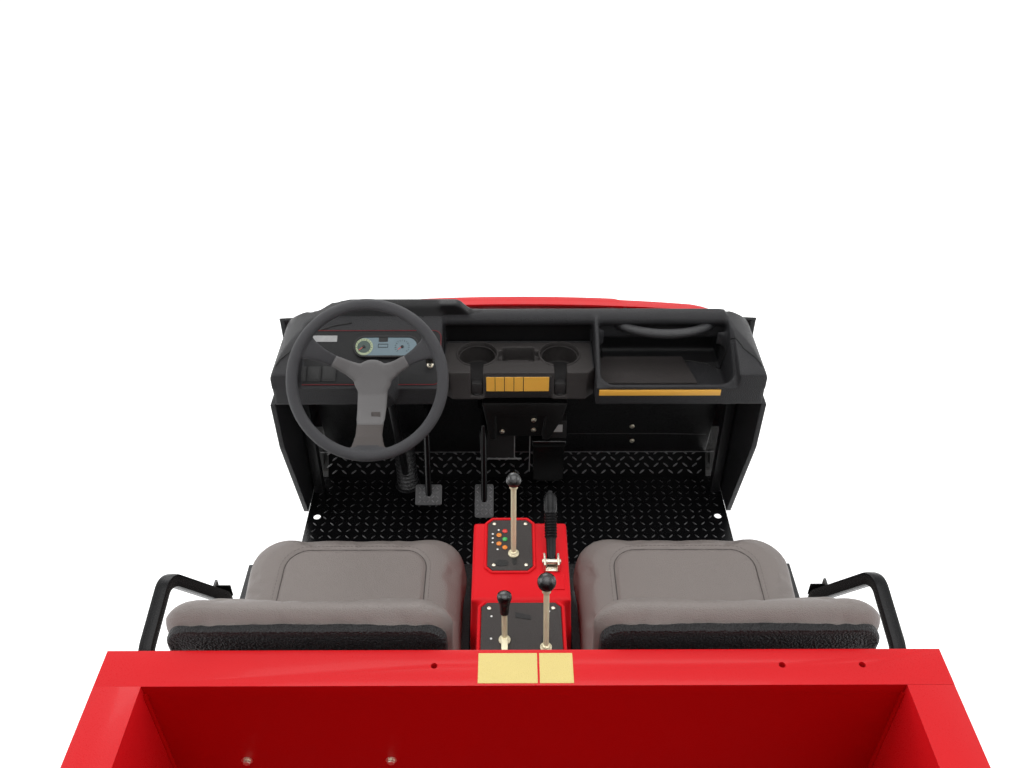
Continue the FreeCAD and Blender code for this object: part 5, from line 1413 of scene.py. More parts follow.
def addCluster():
    # Long round-ended bezel with a grey-blue face, a ringed dial on the left and a plain one on the right.
    c = clusterSettings
    low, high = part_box("instrument_cluster")
    normal = slopeNormal()
    thickness = 0.012
    upper = Vector((0, low.y - dashSettings["slope"][1] * thickness, high.z))
    lower = Vector((0, high.y, low.z + dashSettings["slope"][0] * thickness))
    middle = (upper + lower) / 2
    middle.x = (low.x + high.x) / 2
    base = facing(middle, normal)
    halfX = (high.x - low.x) / 2
    halfY = min((upper - lower).length / 2, 0.034)

    def at(x, y, out=0.0):
        return base @ Matrix.Translation((middle.x - x, y, out))

    body = topPrism("clusterBezel", roundedOutline(halfX, halfY, halfY * 0.96, 12), -thickness, 0.0)
    hollow = topPrism("clusterHollow", roundedOutline(halfX - 0.0050, halfY - 0.0050, halfY * 0.96 - 0.005,
            12), -0.0030, 0.01)
    body = combined("clusterBezel", body, (), [hollow])
    body = bevelMesh("clusterBezel", body, 0.0012, 2, 40)
    body.transform(base)
    newPiece("instrument_cluster_bezel", body, "trimPlastic", "chassis", ("instrument_cluster",))
    face = plateMesh("clusterFace", roundedOutline(halfX - c["face"], halfY - c["face"],
            halfY * 0.96 - c["face"], 12), 0.0012, at(middle.x, 0, -0.0031), 0)
    newPiece("cluster_face", face, "gaugeFace")
    parts = {"dark": [], "cream": [], "marks": [], "hands": []}
    for number, (x, radius) in enumerate(c["dials"]):
        place = at(x, -0.001, -0.0019)
        axis = place.to_3x3() @ Vector((0, 0, 1))
        centre = place @ Vector((0, 0, 0))
        if number == 0:
            parts["cream"].append(latheMesh("dialRing", centre, axis,
                    [(0.0001, radius - 0.0060), (0.0007, radius - 0.0055), (0.0007, radius),
                    (0.0001, radius + 0.0005)], 48))
            parts["dark"].append(latheMesh("dialDisc", centre, axis,
                    [(0.0005, 0), (0.0005, radius - 0.0062), (0.0001, radius - 0.0058)], 48))
        for step in range(c["ticks"]):
            angle = math.radians(-135 + 270 * step / (c["ticks"] - 1))
            long = 0.0042 if step % 2 == 0 else 0.0026
            tick = boxMesh("tick", (-0.0005, radius - 0.0012 - long, 0.0006),
                    (0.0005, radius - 0.0012, 0.0011))
            tick.transform(place @ Matrix.Rotation(-angle, 4, "Z"))
            parts["marks"].append(tick)
        parts["marks"].append(latheMesh("dialHub", centre, axis, [(0.0005, 0), (0.0005, 0.0040),
                (0.0022, 0.0038), (0.0028, 0.0028), (0.0028, 0)], 24))
        hand = boxMesh("hand", (-0.0006, -0.002, 0.0016), (0.0006, radius - 0.007, 0.0021))
        hand.transform(place @ Matrix.Rotation(math.radians(128), 4, "Z"))
        parts["hands"].append(hand)
    for x, y, wide, tall in ((0.340, 0.0185, 0.0115, 0.0062), (0.340, -0.0025, 0.0120, 0.0008),
            (0.340, 0.0062, 0.0120, 0.0008), (0.352, 0.0018, 0.0006, 0.0048),
            (0.328, 0.0018, 0.0006, 0.0048)):
        parts["marks"].append(plateMesh("screen", roundedOutline(wide, tall, min(wide, tall) * 0.3, 3),
                0.0006, at(x, y, -0.0020), 0))
    newPiece("cluster_ring", parts["cream"], "dialCream")
    newPiece("cluster_disc", parts["dark"], "dialGreen")
    newPiece("cluster_marks", parts["marks"], "trimPlastic")
    newPiece("cluster_hands", parts["hands"], "ledRed")


cupSettings = {
    "cupX": 0.106,
    "cupY": -0.735,
    "cupRadius": 0.050,
    "slotHalf": 0.0155,
    "chamfer": 0.022,
    "labels": ((0.0820, 0.0605), (0.0590, 0.0370), (0.0350, 0.0130), (0.0110, -0.0110), (-0.0130, -0.0770)),
}


def addCupPanel():
    c = cupSettings
    low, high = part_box("cup_holder_panel")
    cuts = []
    for side in (-1, 1):
        x = side * c["cupX"]
        # a mug's handle drops in the slot that runs from each cup down the front
        cuts.append(boxMesh("cupSlot", (x - c["slotHalf"], c["cupY"] + 0.02, low.z + 0.010),
                (x + c["slotHalf"], high.y + 0.03, high.z + 0.02)))
        corner = [(side * (high.x + 0.01), high.y - c["chamfer"] - 0.008),
                (side * (high.x + 0.01), high.y + 0.02), (side * (high.x - c["chamfer"] - 0.02),
                high.y + 0.02), (side * (high.x - c["chamfer"]), high.y - 0.001),
                (side * (high.x - 0.002), high.y - c["chamfer"])]
        cuts.append(topPrism("cupCorner", corner, low.z - 0.02, high.z + 0.02))
        cuts.append(boxMesh("pocketStep", (side * 0.036, c["cupY"] - 0.014, high.z - 0.020),
                (side * 0.054, c["cupY"] + 0.028, high.z + 0.02)))
    cuts.append(boxMesh("labelRecess", (-0.087, high.y - 0.0045, low.z - 0.01),
            (0.089, high.y + 0.03, high.z - 0.006)))
    moulded("cup_holder_panel", "panelPlastic", "chassis", 0.0028, 5, 0.7, (), cuts)
    plate = boxMesh("cupPlate", (-0.083, high.y - 0.0075, low.z + 0.003),
            (0.085, high.y - 0.0022, high.z - 0.009), 0.003, 3)
    fronts = [plate]
    for side in (-1, 1):
        x = side * c["cupX"]
        fronts.append(boxMesh("slotFloor", (x - c["slotHalf"] + 0.001, high.y - 0.030, low.z + 0.002),
                (x + c["slotHalf"] - 0.001, high.y - 0.006, low.z + 0.046), 0.003, 2))
        fronts.append(boxMesh("slotLatch", (x - 0.0075, high.y - 0.008, low.z + 0.004),
                (x + 0.0075, high.y - 0.0035, low.z + 0.014), 0.0015, 2))
    newPiece("cup_plate", fronts, "plateBlack")
    out = high.y - 0.0022
    labels = []
    for x0, x1 in c["labels"]:
        labels.append(boxMesh("cupLabel", (x1, out - 0.0008, low.z + 0.0255),
                (x0, out + 0.0007, low.z + 0.0705), 0.0004, 1))
    newPiece("cup_labels", labels, "yellowPlate")
    rims = []
    liners = []
    for side in (-1, 1):
        centre = Vector((side * c["cupX"], c["cupY"], high.z))
        rims.append(cupArc(centre, c["cupRadius"] + 0.0022, 0.0004, 0.0024))
        rims.append(cupArc(centre, c["cupRadius"] - 0.0030, -0.0100, 0.0018))
        # dark disc down at each cup's floor: painted shade inside the cup
        liners.append(latheMesh("cupFloorShade", centre, (0, 0, -1), [(0.0600, 0), (0.0600, 0.0475),
                (0.0605, 0.0475), (0.0605, 0)], 48))
    newPiece("cup_rims", rims, "panelPlastic", "chassis", (), 60)
    newPiece("cup_floor_shades", liners, "plateBlack", "chassis", (), 60)
    insert = boxMesh("pocketInsert", (-0.027, c["cupY"] + 0.012, high.z - 0.030),
            (0.027, c["cupY"] + 0.028, high.z - 0.010), 0.003, 3)
    newPiece("cup_pocket_insert", insert, "panelPlastic")
    edge = [(high.x - 0.003, high.y - 0.022), (high.x - 0.003, low.y + 0.008), (low.x + 0.003, low.y + 0.008),
            (low.x + 0.003, high.y - 0.022)]
    route = roundedRoute([(x, y, high.z + 0.0006) for x, y in edge], 0.012, 5)
    newPiece("cup_panel_edge", tubeMesh("cupPanelEdge", route, 0.0022, 10), "dashPlastic", "chassis", (), 60)


def cupArc(centre, radius, rise, thickness):
    # A rolled rim that stays open where the handle's slot passes.
    c = cupSettings
    gap = math.asin(min((c["slotHalf"] + 0.0015) / radius, 0.9))
    points = []
    for step in range(49):
        angle = math.pi / 2 + gap + (2 * math.pi - 2 * gap) * step / 48
        points.append(centre + Vector((radius * math.cos(angle), radius * math.sin(angle), rise)))
    return tubeMesh("cupRim", points, thickness, 10)


def addGrabHandle():
    # a thick round bar that bows out from under the brow
    low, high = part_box("grab_handle")
    radius = 0.0128
    route = []
    spans = 32
    for step in range(spans + 1):
        share = step / spans
        bow = math.sin(math.pi * share) ** 0.62
        route.append((low.x + radius + (high.x - low.x - 2 * radius) * share,
                low.y + 0.002 + (high.y - radius - low.y) * bow, high.z - radius - 0.004 * (1 - bow)))
    bar = tubeMesh("grabBar", route, radius, 20)
    feet = []
    for x in (low.x + radius + 0.002, high.x - radius - 0.002):
        feet.append(latheMesh("grabFoot", (x, low.y - 0.004, high.z - radius - 0.004), (0, 1, 0),
                [(0, 0), (0, 0.019), (0.008, 0.0185), (0.014, 0.014), (0.015, 0)], 24))
    mesh = remeshed("grabHandle", joined("grabHandle", [bar] + feet), 0.0030, 6, 0.7)
    newPiece("grab_handle_bar", mesh, "handlePlastic", "chassis", ("grab_handle",), 60)


addDashboard()
addCluster()
addCupPanel()
addGrabHandle()
print("dash done")


# Console with its plates and levers, pedals, floor and firewall

consoleSettings = {
    "plateCut": 0.012,
    "rimOut": 0.0045,
    "rimRadius": 0.0034,
    "ledRadius": 0.0056,
    "slotHalf": 0.0048,
}


def clippedOutline(x0, x1, y0, y1, cut):
    return [(x0 + cut, y0), (x1 - cut, y0), (x1, y0 + cut), (x1, y1 - cut), (x1 - cut, y1), (x0 + cut, y1),
            (x0, y1 - cut), (x0, y0 + cut)]


def domeRow(name, places, radius, height):
    profile = [(-0.0005, radius), (height * 0.45, radius), (height * 0.8, radius * 0.75),
            (height, radius * 0.35), (height * 1.02, 0)]
    return joined(name, [latheMesh(name, place, (0, 0, 1), profile, 18) for place in places])


def addConsole():
    s = consoleSettings
    moulded("centre_console", "consoleRed", "chassis", 0.0045, 9, 0.35)
    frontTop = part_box("centre_console")[1].z
    rearTop = frontTop - 0.008
    sheet = 0.003
    frames = []
    for x0, x1, y0, y1, z in ((-0.026, 0.072, -0.263, -0.117, frontTop),
            (-0.082, 0.082, -0.037, 0.130, rearTop)):
        cut = s["plateCut"] + s["rimOut"] * 0.6
        out = s["rimOut"]
        outline = clippedOutline(x0 - out, x1 + out, y0 - out, y1 + out, cut)
        route = [(x, y, z + 0.0012) for x, y in outline]
        frames.append(tubeMesh("plateRim", roundedRoute(route + route[:1], 0.004, 3), s["rimRadius"], 10))
    newPiece("console_rims", frames, "consoleRed", "chassis", (), 60)
    softened("control_plates", "controlGrey", "chassis", 0.0007, 1)
    front = frontTop + sheet
    rear = rearTop + sheet
    newPiece("console_led_red", domeRow("ledRed", [(0.034, -0.229, front)], s["ledRadius"], 0.0032), "ledRed")
    newPiece("console_led_green", domeRow("ledGreen", [(0.034, -0.205, front)], s["ledRadius"], 0.0032),
            "ledGreen")
    newPiece("console_led_orange", domeRow("ledOrange", [(0.047, -0.217, front), (0.047, -0.192, front),
            (0.034, -0.181, front)], s["ledRadius"], 0.0032), "ledOrange")
    dots = [(0.061, -0.221 + step * 0.0125, front) for step in range(3)] + [(0.048, -0.233, front),
            (0.050, -0.176, front)]
    dots += [(0.061, -0.002, rear), (0.061, 0.053, rear), (-0.057, -0.014, rear)]
    newPiece("console_dots", domeRow("consoleDots", dots, 0.0023, 0.0007), "markWhite")
    screws = []
    for x, y, z in ((-0.012, -0.251, front), (0.058, -0.251, front), (-0.012, -0.131, front),
            (0.058, -0.131, front), (-0.066, -0.022, rear), (0.066, -0.022, rear), (-0.066, 0.112, rear),
            (0.066, 0.112, rear)):
        screws.append(screwMesh("plateScrew", (x, y, z), (0, 0, 1), 0.0044))
    newPiece("console_screws", screws, "boltZinc")
    darks = [plateMesh("gearSlot", roundedOutline(s["slotHalf"], 0.039, 0.004, 5, (0.013, -0.171)), 0.0006,
            Matrix.Translation((0, 0, front - 0.0002)), 0), plateMesh("ovalRest",
            roundedOutline(0.014, 0.0085, 0.0084, 8, (0.040, -0.137)), 0.0010,
            Matrix.Translation((0, 0, front - 0.0002)), 0), plateMesh("auxSlot",
            roundedOutline(0.0055, 0.033, 0.004, 5, (0.034, 0.070)), 0.0006,
            Matrix.Translation((0, 0, rear - 0.0002)), 0), plateMesh("ballSlot",
            roundedOutline(0.0075, 0.033, 0.004, 5, (-0.048, 0.078)), 0.0006,
            Matrix.Translation((0, 0, rear - 0.0002)), 0)]
    blank = topPrism("blankPlate", [(0.012, -0.012), (-0.019, -0.004), (-0.019, 0.007), (0.012, 0.001)],
            rear - 0.0002, rear + 0.0009)
    newPiece("console_slots", darks + [blank], "trimPlastic")
    square = boxMesh("brakeFrame", (-0.092, -0.108, frontTop - 0.001), (-0.068, -0.066, frontTop + 0.0022),
            0.0010)
    newPiece("console_brake_frame", square, "consoleRed")


leverSettings = {
    # name: foot, tip, rise, where it stands
    "gear": ((0.015, -0.163), (0.015, -0.196), 0.190, "front"),
    "brake": ((-0.066, -0.130), (-0.066, -0.265), 0.084, "brake"),
    "aux": ((0.034, 0.057), (0.034, 0.030), 0.108, "rear"),
    "ball": ((-0.048, 0.075), (-0.048, 0.023), 0.136, "rear"),
    "rod": 0.0058,
    "gearKnob": 0.0165,
    "ballKnob": 0.0188,
    "auxKnob": 0.0148,
    "auxLength": 0.046,
    "brakeGrip": 0.0148,
}


def addLevers():
    s = leverSettings
    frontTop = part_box("centre_console")[1].z
    base = {"front": frontTop + 0.003, "rear": frontTop - 0.005, "brake": frontTop}
    rods = []
    knobs = []
    for name in ("gear", "aux", "ball"):
        (fx, fy), (tx, ty), rise, place = s[name]
        foot = Vector((fx, fy, base[place]))
        tip = Vector((tx, ty, base[place] + rise))
        along = (tip - foot).normalized()
        rods.append(tubeMesh(name + "Rod", [foot + Vector((0, 0, 0.004)), tip - along * 0.006], s["rod"], 16))
        rods.append(latheMesh(name + "Foot", foot, (0, 0, 1), [(0, 0), (0, 0.0118), (0.003, 0.0118),
                (0.0055, 0.009), (0.009, 0.0075), (0.011, 0)], 24))
        if name == "aux":
            start = tip - along * s["auxLength"]
            r = s["auxKnob"]
            knobs.append(latheMesh("auxKnob", start, along, [(0, 0), (0, 0.0078), (0.002, 0.0086),
                    (0.018, 0.0095), (0.028, 0.0118), (0.036, r * 0.97), (0.042, r), (0.0465, r * 0.9),
                    (0.0495, r * 0.6), (0.0505, r * 0.3), (0.0508, 0)], 28))
        else:
            r = s[name + "Knob"]
            profile = []
            for step in range(13):
                angle = math.pi * (0.06 + 0.94 * step / 12)
                profile.append((-r * math.cos(angle), r * math.sin(angle)))
            profile = [(profile[0][0], 0)] + profile[:-1] + [(r, 0)]
            knobs.append(latheMesh(name + "Knob", tip, along, profile, 32))
            rods.append(latheMesh(name + "Collar", tip - along * (r + 0.004), along,
                    [(0, 0), (0, 0.0082), (0.002, 0.009), (0.006, 0.0085), (0.007, 0)], 20))
    # the rear slots' brackets beside their levers
    rods.append(boxMesh("auxBracket", (0.0275, 0.052, base["rear"]), (0.0405, 0.088, base["rear"] + 0.012),
            0.002))
    newPiece("console_lever_rods", rods, "leverZinc", "chassis", ("console_levers",))
    newPiece("console_lever_knobs", knobs, "knobGloss", "chassis", (), 60)
    (fx, fy), (tx, ty), rise, place = s["brake"]
    foot = Vector((fx, fy, frontTop))
    tip = Vector((tx, ty, frontTop + rise))
    start = foot + Vector((0, 0, 0.009))
    along = (tip - start).normalized()
    span = (tip - start).length
    parts = [boxMesh("brakeCheek", (fx - 0.017, fy - 0.017, frontTop),
            (fx - 0.012, fy + 0.017, frontTop + 0.024), 0.002), boxMesh("brakeCheek",
            (fx + 0.012, fy - 0.017, frontTop), (fx + 0.017, fy + 0.017, frontTop + 0.024), 0.002),
            boxMesh("brakeBase", (fx - 0.017, fy - 0.017, frontTop),
            (fx + 0.017, fy + 0.017, frontTop + 0.005), 0.002), latheMesh("brakePin",
            (fx - 0.020, fy, frontTop + 0.015), (1, 0, 0), [(0, 0), (0, 0.005), (0.002, 0.006),
            (0.038, 0.006), (0.040, 0.005), (0.040, 0)], 16)]
    newPiece("console_brake_bracket", parts, "boltZinc")
    # the brake's arm: a pressed channel with ribs, then a ribbed grip
    profile = [(0, 0), (0, 0.009), (span * 0.1, 0.010), (span * 0.34, 0.011)]
    steps = 9
    for step in range(steps):
        a = span * (0.36 + 0.36 * step / steps)
        b = span * (0.36 + 0.36 * (step + 0.55) / steps)
        profile += [(a, 0.0122), (b, 0.0142)]
    profile += [(span * 0.73, 0.0128), (span * 0.76, 0.0147), (span * 0.84, s["brakeGrip"]),
            (span * 0.94, s["brakeGrip"]), (span * 0.985, 0.0125), (span, 0.0075), (span * 1.004, 0)]
    arm = latheMesh("brakeArm", start, along, profile, 24)
    button = latheMesh("brakeButton", tip, along, [(0, 0), (0, 0.0055), (0.006, 0.0052), (0.0075, 0.003),
            (0.0078, 0)], 16)
    newPiece("console_brake_arm", [arm, button], "railBlack", "chassis", (), 40)


def lozengeMesh(name, places, length, width, height):
    # Raised lozenges: places are (centre, along, normal).
    work = bmesh.new()
    for centre, along, normal in places:
        across = Vector(normal).cross(Vector(along)).normalized()
        low = Vector(centre) - Vector(normal) * height * 0.3
        high = Vector(centre) + Vector(normal) * height
        outline = [(-0.5, 0), (-0.22, -0.5), (0.22, -0.5), (0.5, 0), (0.22, 0.5), (-0.22, 0.5)]
        ring = [work.verts.new(low + Vector(along) * (a * length) + across * (b * width)) for a, b in outline]
        ridge = [work.verts.new(high + Vector(along) * (a * length)) for a in (-0.30, 0.30)]
        work.faces.new((ring[0], ring[1], ridge[0]))
        work.faces.new((ring[1], ring[2], ridge[1], ridge[0]))
        work.faces.new((ring[2], ring[3], ridge[1]))
        work.faces.new((ring[3], ring[4], ridge[1]))
        work.faces.new((ring[4], ring[5], ridge[0], ridge[1]))
        work.faces.new((ring[5], ring[0], ridge[0]))
    mesh = bpy.data.meshes.new(name)
    work.to_mesh(mesh)
    work.free()
    return mesh


floorSettings = {"pitch": 0.0255, "length": 0.020, "width": 0.0056, "height": 0.0013, "toePitch": 0.0300,
        "toeRows": (-0.916, -0.9295, -0.943, -0.9555)}


def treadField(x0, x1, y0, y1, place, pitch=None):
    # Lozenges turned one way and the other in turn; place(x, y) gives a point and a normal.
    s = floorSettings
    step = pitch or s["pitch"]
    found = []
    columns = int((x1 - x0) / step)
    rows = int((y1 - y0) / step)
    for row in range(rows + 1):
        for column in range(columns + 1):
            x = (x0 + x1) / 2 + (column - columns / 2) * step
            y = (y0 + y1) / 2 + (row - rows / 2) * step
            turn = math.radians(45 if (row + column) % 2 else -45)
            point, normal = place(x, y)
            side = Vector((1, 0, 0))
            ahead = Vector(normal).cross(side).normalized()
            found.append((point, side * math.cos(turn) + ahead * math.sin(turn), Vector(normal)))
    return found


def addFloorPlate():
    s = floorSettings
    plate = softened("floor_plate", "floorBlack", "chassis", 0.0012, 1)
    plate.data.materials.append(finishes["toeBlack"])
    for face in plate.data.polygons:
        if face.normal.z < 0.95:
            face.material_index = 1
    tree = surfaceTree(frame["nodes"]["floor_plate"].data)

    def onFloor(x, y):
        hit = tree.ray_cast(Vector((x, y, 0.6)), Vector((0, 0, -1)))
        return hit[0] or Vector((x, y, 0)), hit[1] or Vector((0, 0, 1))

    clear = [(Vector((0.338, -0.873)), 0.055), (Vector((0.598, -0.737)), 0.022),
            (Vector((-0.598, -0.737)), 0.022)]
    keep = []
    for place in treadField(-0.605, 0.605, -0.896, -0.312, onFloor):
        point = place[0]
        underConsole = abs(point.x) < 0.132 and point.y > -0.292
        if point.z > 0.39 and not underConsole and all((point.xy - spot).length > reach for spot,
                reach in clear):
            keep.append(place)
    mesh = lozengeMesh("floorTread", keep, s["length"], s["width"], s["height"])
    # the floor lozenges are lighter than the plate: painted glints
    newPiece("floor_plate_tread", mesh, "treadDimGlint", "chassis", (), 20)
    # larger lozenges on the board that slopes up at the toes, lighter than the plate: painted glints, partly
    # bare worn steel
    toes = []
    for row, y in enumerate(s["toeRows"]):
        for column in range(-19, 20):
            x = (column + 0.5 * (row % 2)) * s["toePitch"]
            if (Vector((x, y)) - clear[0][0]).length < clear[0][1]:
                continue
            point, normal = onFloor(x, y)
            turn = math.radians(38 if column % 2 else -38)
            side = Vector((1, 0, 0))
            toes.append((point, side * math.cos(turn) + normal.cross(side).normalized() * math.sin(turn),
                    normal))
    newPiece("floor_toe_tread", lozengeMesh("toeTread", toes, 0.0235, 0.0066, 0.0018), "treadWearAndGlint", "chassis",
            (), 20)
    low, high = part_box("floor_plate")
    # pale strip along the toe board's top edge: painted highlight
    edge = tubeMesh("toeEdgeHighlight", [(low.x + 0.01, low.y + 0.004, high.z - 0.0005),
            (high.x - 0.01, low.y + 0.004, high.z - 0.0005)], 0.0016, 8)
    newPiece("floor_toe_edge_highlight", edge, "treadWearAndGlint")


def addFirewall():
    softened("firewall", "frameBlack", "chassis", 0.0012, 1)
    addPendant()
    bolts = boltRow("wallBolts", [(-0.338, -0.878, 0.630), (-0.343, -0.882, 0.570)], (0, 1, 0), 0.006)
    newPiece("firewall_bolts", bolts, "boltZinc")
    # thin pale line across the firewall where a crease catches light: painted highlight
    crease = tubeMesh("wallCreaseHighlight", [(-0.150, -0.8785, 0.6016), (-0.420, -0.8785, 0.6016),
            (-0.560, -0.8785, 0.5975)], 0.0011, 8)
    posts = [boxMesh("post", (0.6035, -0.872, 0.436), (0.6200, -0.860, 0.705), 0.0025, 2),
            boxMesh("postTab", (0.598, -0.866, 0.640), (0.606, -0.858, 0.672), 0.002),
            boxMesh("postTab", (0.598, -0.866, 0.462), (0.606, -0.858, 0.494), 0.002)]
    post = joined("post", posts)
    newPiece("firewall_posts", [post, mirroredMesh(post)], "pedalIron")
    newPiece("firewall_crease_highlight", crease, "pedalIron")


pendantSettings = {
    "face": -0.778,  # how far back the housing under the dash reaches
    "wall": -0.872,  # the firewall that it all stands on
    "boltSize": 0.0062,
}


def addPendant():
    # Tapered housing under the middle of the dash, with a bracket and a fuse box below it.
    p = pendantSettings
    face, wall = p["face"], p["wall"]
    outer = rearPrism("pendant", [(0.100, 0.800), (-0.138, 0.800), (-0.126, 0.745), (-0.088, 0.664),
            (0.080, 0.664)], wall, face)
    hollow = rearPrism("pendantCut", [(0.062, 0.752), (-0.080, 0.752), (-0.066, 0.640), (0.062, 0.640)],
            face - 0.016, face + 0.02)
    housing = bevelMesh("pendant", combined("pendant", outer, (), [hollow]), 0.005, 3, 30)
    newPiece("pendant_housing", housing, "trimPlastic")
    bolts = boltRow("pendantBolts", [(0.044, face - 0.016, 0.684), (-0.045, face - 0.016, 0.726),
            (-0.045, face - 0.016, 0.690)], (0, 1, 0), p["boltSize"])
    newPiece("pendant_bolts", bolts, "boltZinc")
    bracket = boxMesh("bracket", (0.008, wall, 0.548), (0.108, -0.832, 0.660), 0.003, 2)
    newPiece("pendant_bracket", bracket, "bracketGrey")
    # pale strips along the bracket's edges and flange: painted highlights; the pin and cable beside them are
    # grey parts
    edges = [boxMesh("bracketEdgeHighlight", (x - 0.0016, -0.850, 0.548), (x + 0.0016, -0.8295, 0.640), 0.0008)
            for x in (0.108, 0.009)]
    edges.append(boxMesh("bracketFlangeHighlight", (-0.012, -0.835, 0.5425), (0.122, -0.8300, 0.5455), 0.0008))
    edges.append(tubeMesh("bracketPin", [(0.094, -0.832, 0.543), (0.094, -0.832, 0.515)], 0.0022, 10))
    edges.append(tubeMesh("cable", [(-0.036, -0.834, 0.645), (-0.036, -0.838, 0.560),
            (-0.036, -0.846, 0.480)], 0.0018, 10))
    newPiece("pendant_bracket_highlights_pin_cable", edges, "greyLabel")
    boxes = [boxMesh("fuseBox", (-0.138, wall, 0.462), (-0.046, -0.826, 0.598), 0.004, 2),
            boxMesh("fuseLid", (-0.142, wall, 0.596), (-0.042, -0.821, 0.622), 0.005, 3),
            boxMesh("fuseFoot", (-0.128, wall, 0.452), (-0.058, -0.832, 0.464), 0.002)]
    newPiece("fuse_box", boxes, "knobGloss")
    board = boxMesh("labelBoard", (-0.142, wall, 0.622), (-0.084, -0.8340, 0.690), 0.003, 2)
    newPiece("fuse_board", board, "bracketGrey")
    label = topPrism("wallLabel", [(-0.088, -0.0125), (-0.094, 0.0150), (-0.130, 0.0150), (-0.130, -0.0125)],
            0, 0.0009)
    label.transform(Matrix.Translation((0, -0.8340, 0.660)) @ Matrix.Rotation(math.pi / 2, 4,
            "X") @ Matrix.Scale(-1, 4, (0, 0, 1)))
    label.flip_normals()
    newPiece("fuse_label", label, "paleLabel")


def addPedals():
    softened("pedals", "floorBlack", "chassis", 0.0010, 1)
    tilt = math.radians(-35)
    turn = Matrix.Rotation(tilt, 3, "X")
    pads = []
    treads = []
    for x, z, width, length in ((0.256, 0.520, 0.074, 0.058), (0.097, 0.495, 0.052, 0.095)):
        centre = Vector((x, -0.705, z))
        matrix = Matrix.Translation(centre) @ turn.to_4x4()
        pads.append(plateMesh("pedalPad", roundedOutline(width / 2 + 0.001, length / 2 + 0.001, 0.006),
                0.0035, matrix @ Matrix.Translation((0, 0, 0.002)), 0.0008))

        def onPad(a, b, matrix=matrix):
            return matrix @ Vector((a, b, 0.0055)), matrix.to_3x3() @ Vector((0, 0, 1))

        treads += treadField(-width / 2 + 0.007, width / 2 - 0.007, -length / 2 + 0.007, length / 2 - 0.007,
                onPad, 0.0125)
    newPiece("pedal_pads", pads, "pedalIron", "chassis", (), 25)
    treads = lozengeMesh("pedalTread", treads, 0.0125, 0.0038, 0.0014)
    # the pedal lozenges in the same lighter finish: painted glints, partly worn steel
    newPiece("pedal_treads", treads, "treadWearAndGlint", "chassis", (), 20)


addConsole()
addLevers()
addFloorPlate()
addFirewall()
addPedals()
print("console and floor done")


# Seat platform, hip rails and buckles

def sweptMesh(name, route, half, count=20, side=(1, 0, 0), power=5.0):
    # Square tube with round corners along a route, its faces kept square to the side axis.
    points = [Vector(point) for point in route]
    work = bmesh.new()
    rings = []
    for index, point in enumerate(points):
        before = points[max(index - 1, 0)]
        after = points[min(index + 1, len(points) - 1)]
        along = (after - before).normalized()
        across = (Vector(side) - along * along.dot(Vector(side))).normalized()
        above = along.cross(across)
        ring = []
        for step in range(count):
            angle = 2 * math.pi * (step + 0.5) / count
            c = math.cos(angle)
            d = math.sin(angle)
            reach = half / (abs(c) ** power + abs(d) ** power) ** (1 / power)
            ring.append(work.verts.new(point + (across * c + above * d) * reach))
        rings.append(ring)
    bridged(work, rings)
    work.faces.new(rings[0])
    work.faces.new(rings[-1])
    return meshFromBmesh(name, work)


def addSeatFrame():
    softened("seat_platform", "frameBlack", "chassis", 0.0025, 2)
    route = [(0.695, 0.170, 0.690), (0.695, 0.170, 0.968), (0.695, 0.004, 1.000), (0.637, -0.092, 0.822),
            (0.637, -0.092, 0.690)]
    rail = sweptMesh("hipRail", roundedRoute(route, 0.040, 8), 0.0132)
    feet = [boxMesh("hipFoot", (0.672, 0.146, 0.690), (0.714, 0.190, 0.6955), 0.0015),
            boxMesh("hipFoot", (0.6145, -0.116, 0.690), (0.6535, -0.068, 0.6955), 0.0015)]
    left = joined("hipRails", [rail] + feet)
    newPiece("hip_rails_tube", [left, mirroredMesh(left)], "railBlack", "chassis", ("hip_rails",), 40)
    clip = joined("hipClip", [boxMesh("hipClip", (0.6505, -0.112, 0.800), (0.6565, -0.074, 0.858), 0.002),
            boxMesh("hipClip", (0.6235, -0.1065, 0.812), (0.6565, -0.1045, 0.846), 0.0008),
            boltMesh("hipClip", (0.6565, -0.093, 0.845), (1, 0, 0), 0.0055),
            boltMesh("hipClip", (0.6565, -0.093, 0.813), (1, 0, 0), 0.0055)])
    newPiece("hip_rail_clips", [clip, mirroredMesh(clip)], "knobGloss")
    low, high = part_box("belt_buckles")
    x1 = high.x
    x0 = x1 - 0.012
    stalk = joined("buckle", [boxMesh("buckle", (x0 + 0.003, low.y + 0.012, low.z),
            (x1 - 0.003, high.y - 0.012, low.z + 0.10), 0.002), boxMesh("buckle", (x0, low.y, low.z + 0.085),
            (x1, high.y, high.z - 0.006), 0.004, 3)])
    newPiece("belt_buckle_bodies", [stalk, mirroredMesh(stalk)], "trimPlastic", "chassis", ("belt_buckles",))
    button = boxMesh("buckleButton", (x0 + 0.0015, low.y + 0.008, high.z - 0.010),
            (x1 - 0.0015, high.y - 0.008, high.z), 0.0015)
    newPiece("belt_buckle_buttons", [button, mirroredMesh(button)], "ledRed")


# Hood, fenders, nose and lamps

hoodSettings = {
    "rear": (-0.845, 1.085),
    "run": 0.755,
    "slope": 0.509,
    "curve": 0.124,
    "halves": (0.530, 0.522),
    "crown": 0.025,
    "lip": 0.060,
    "sheet": 0.005,
    "panelHalf": 0.290,
    "panelRise": 0.004,
}


def hoodPoint(share, across, drop=0.0):
    s = hoodSettings
    half = s["halves"][0] + (s["halves"][1] - s["halves"][0]) * share
    crest = s["rear"][1] - s["slope"] * s["run"] * share - s["curve"] * share ** 2
    edge = smoothStep(s["panelHalf"] - abs(across) * half, -0.008, 0.008)
    edge *= smoothStep(share, 0.12, 0.18) * smoothStep(0.93 - share, 0.0, 0.03)
    rise = s["panelRise"] * (edge - 1)
    return Vector((half * across, s["rear"][0] - s["run"] * share,
            crest - s["crown"] * across ** 2 + rise - drop))


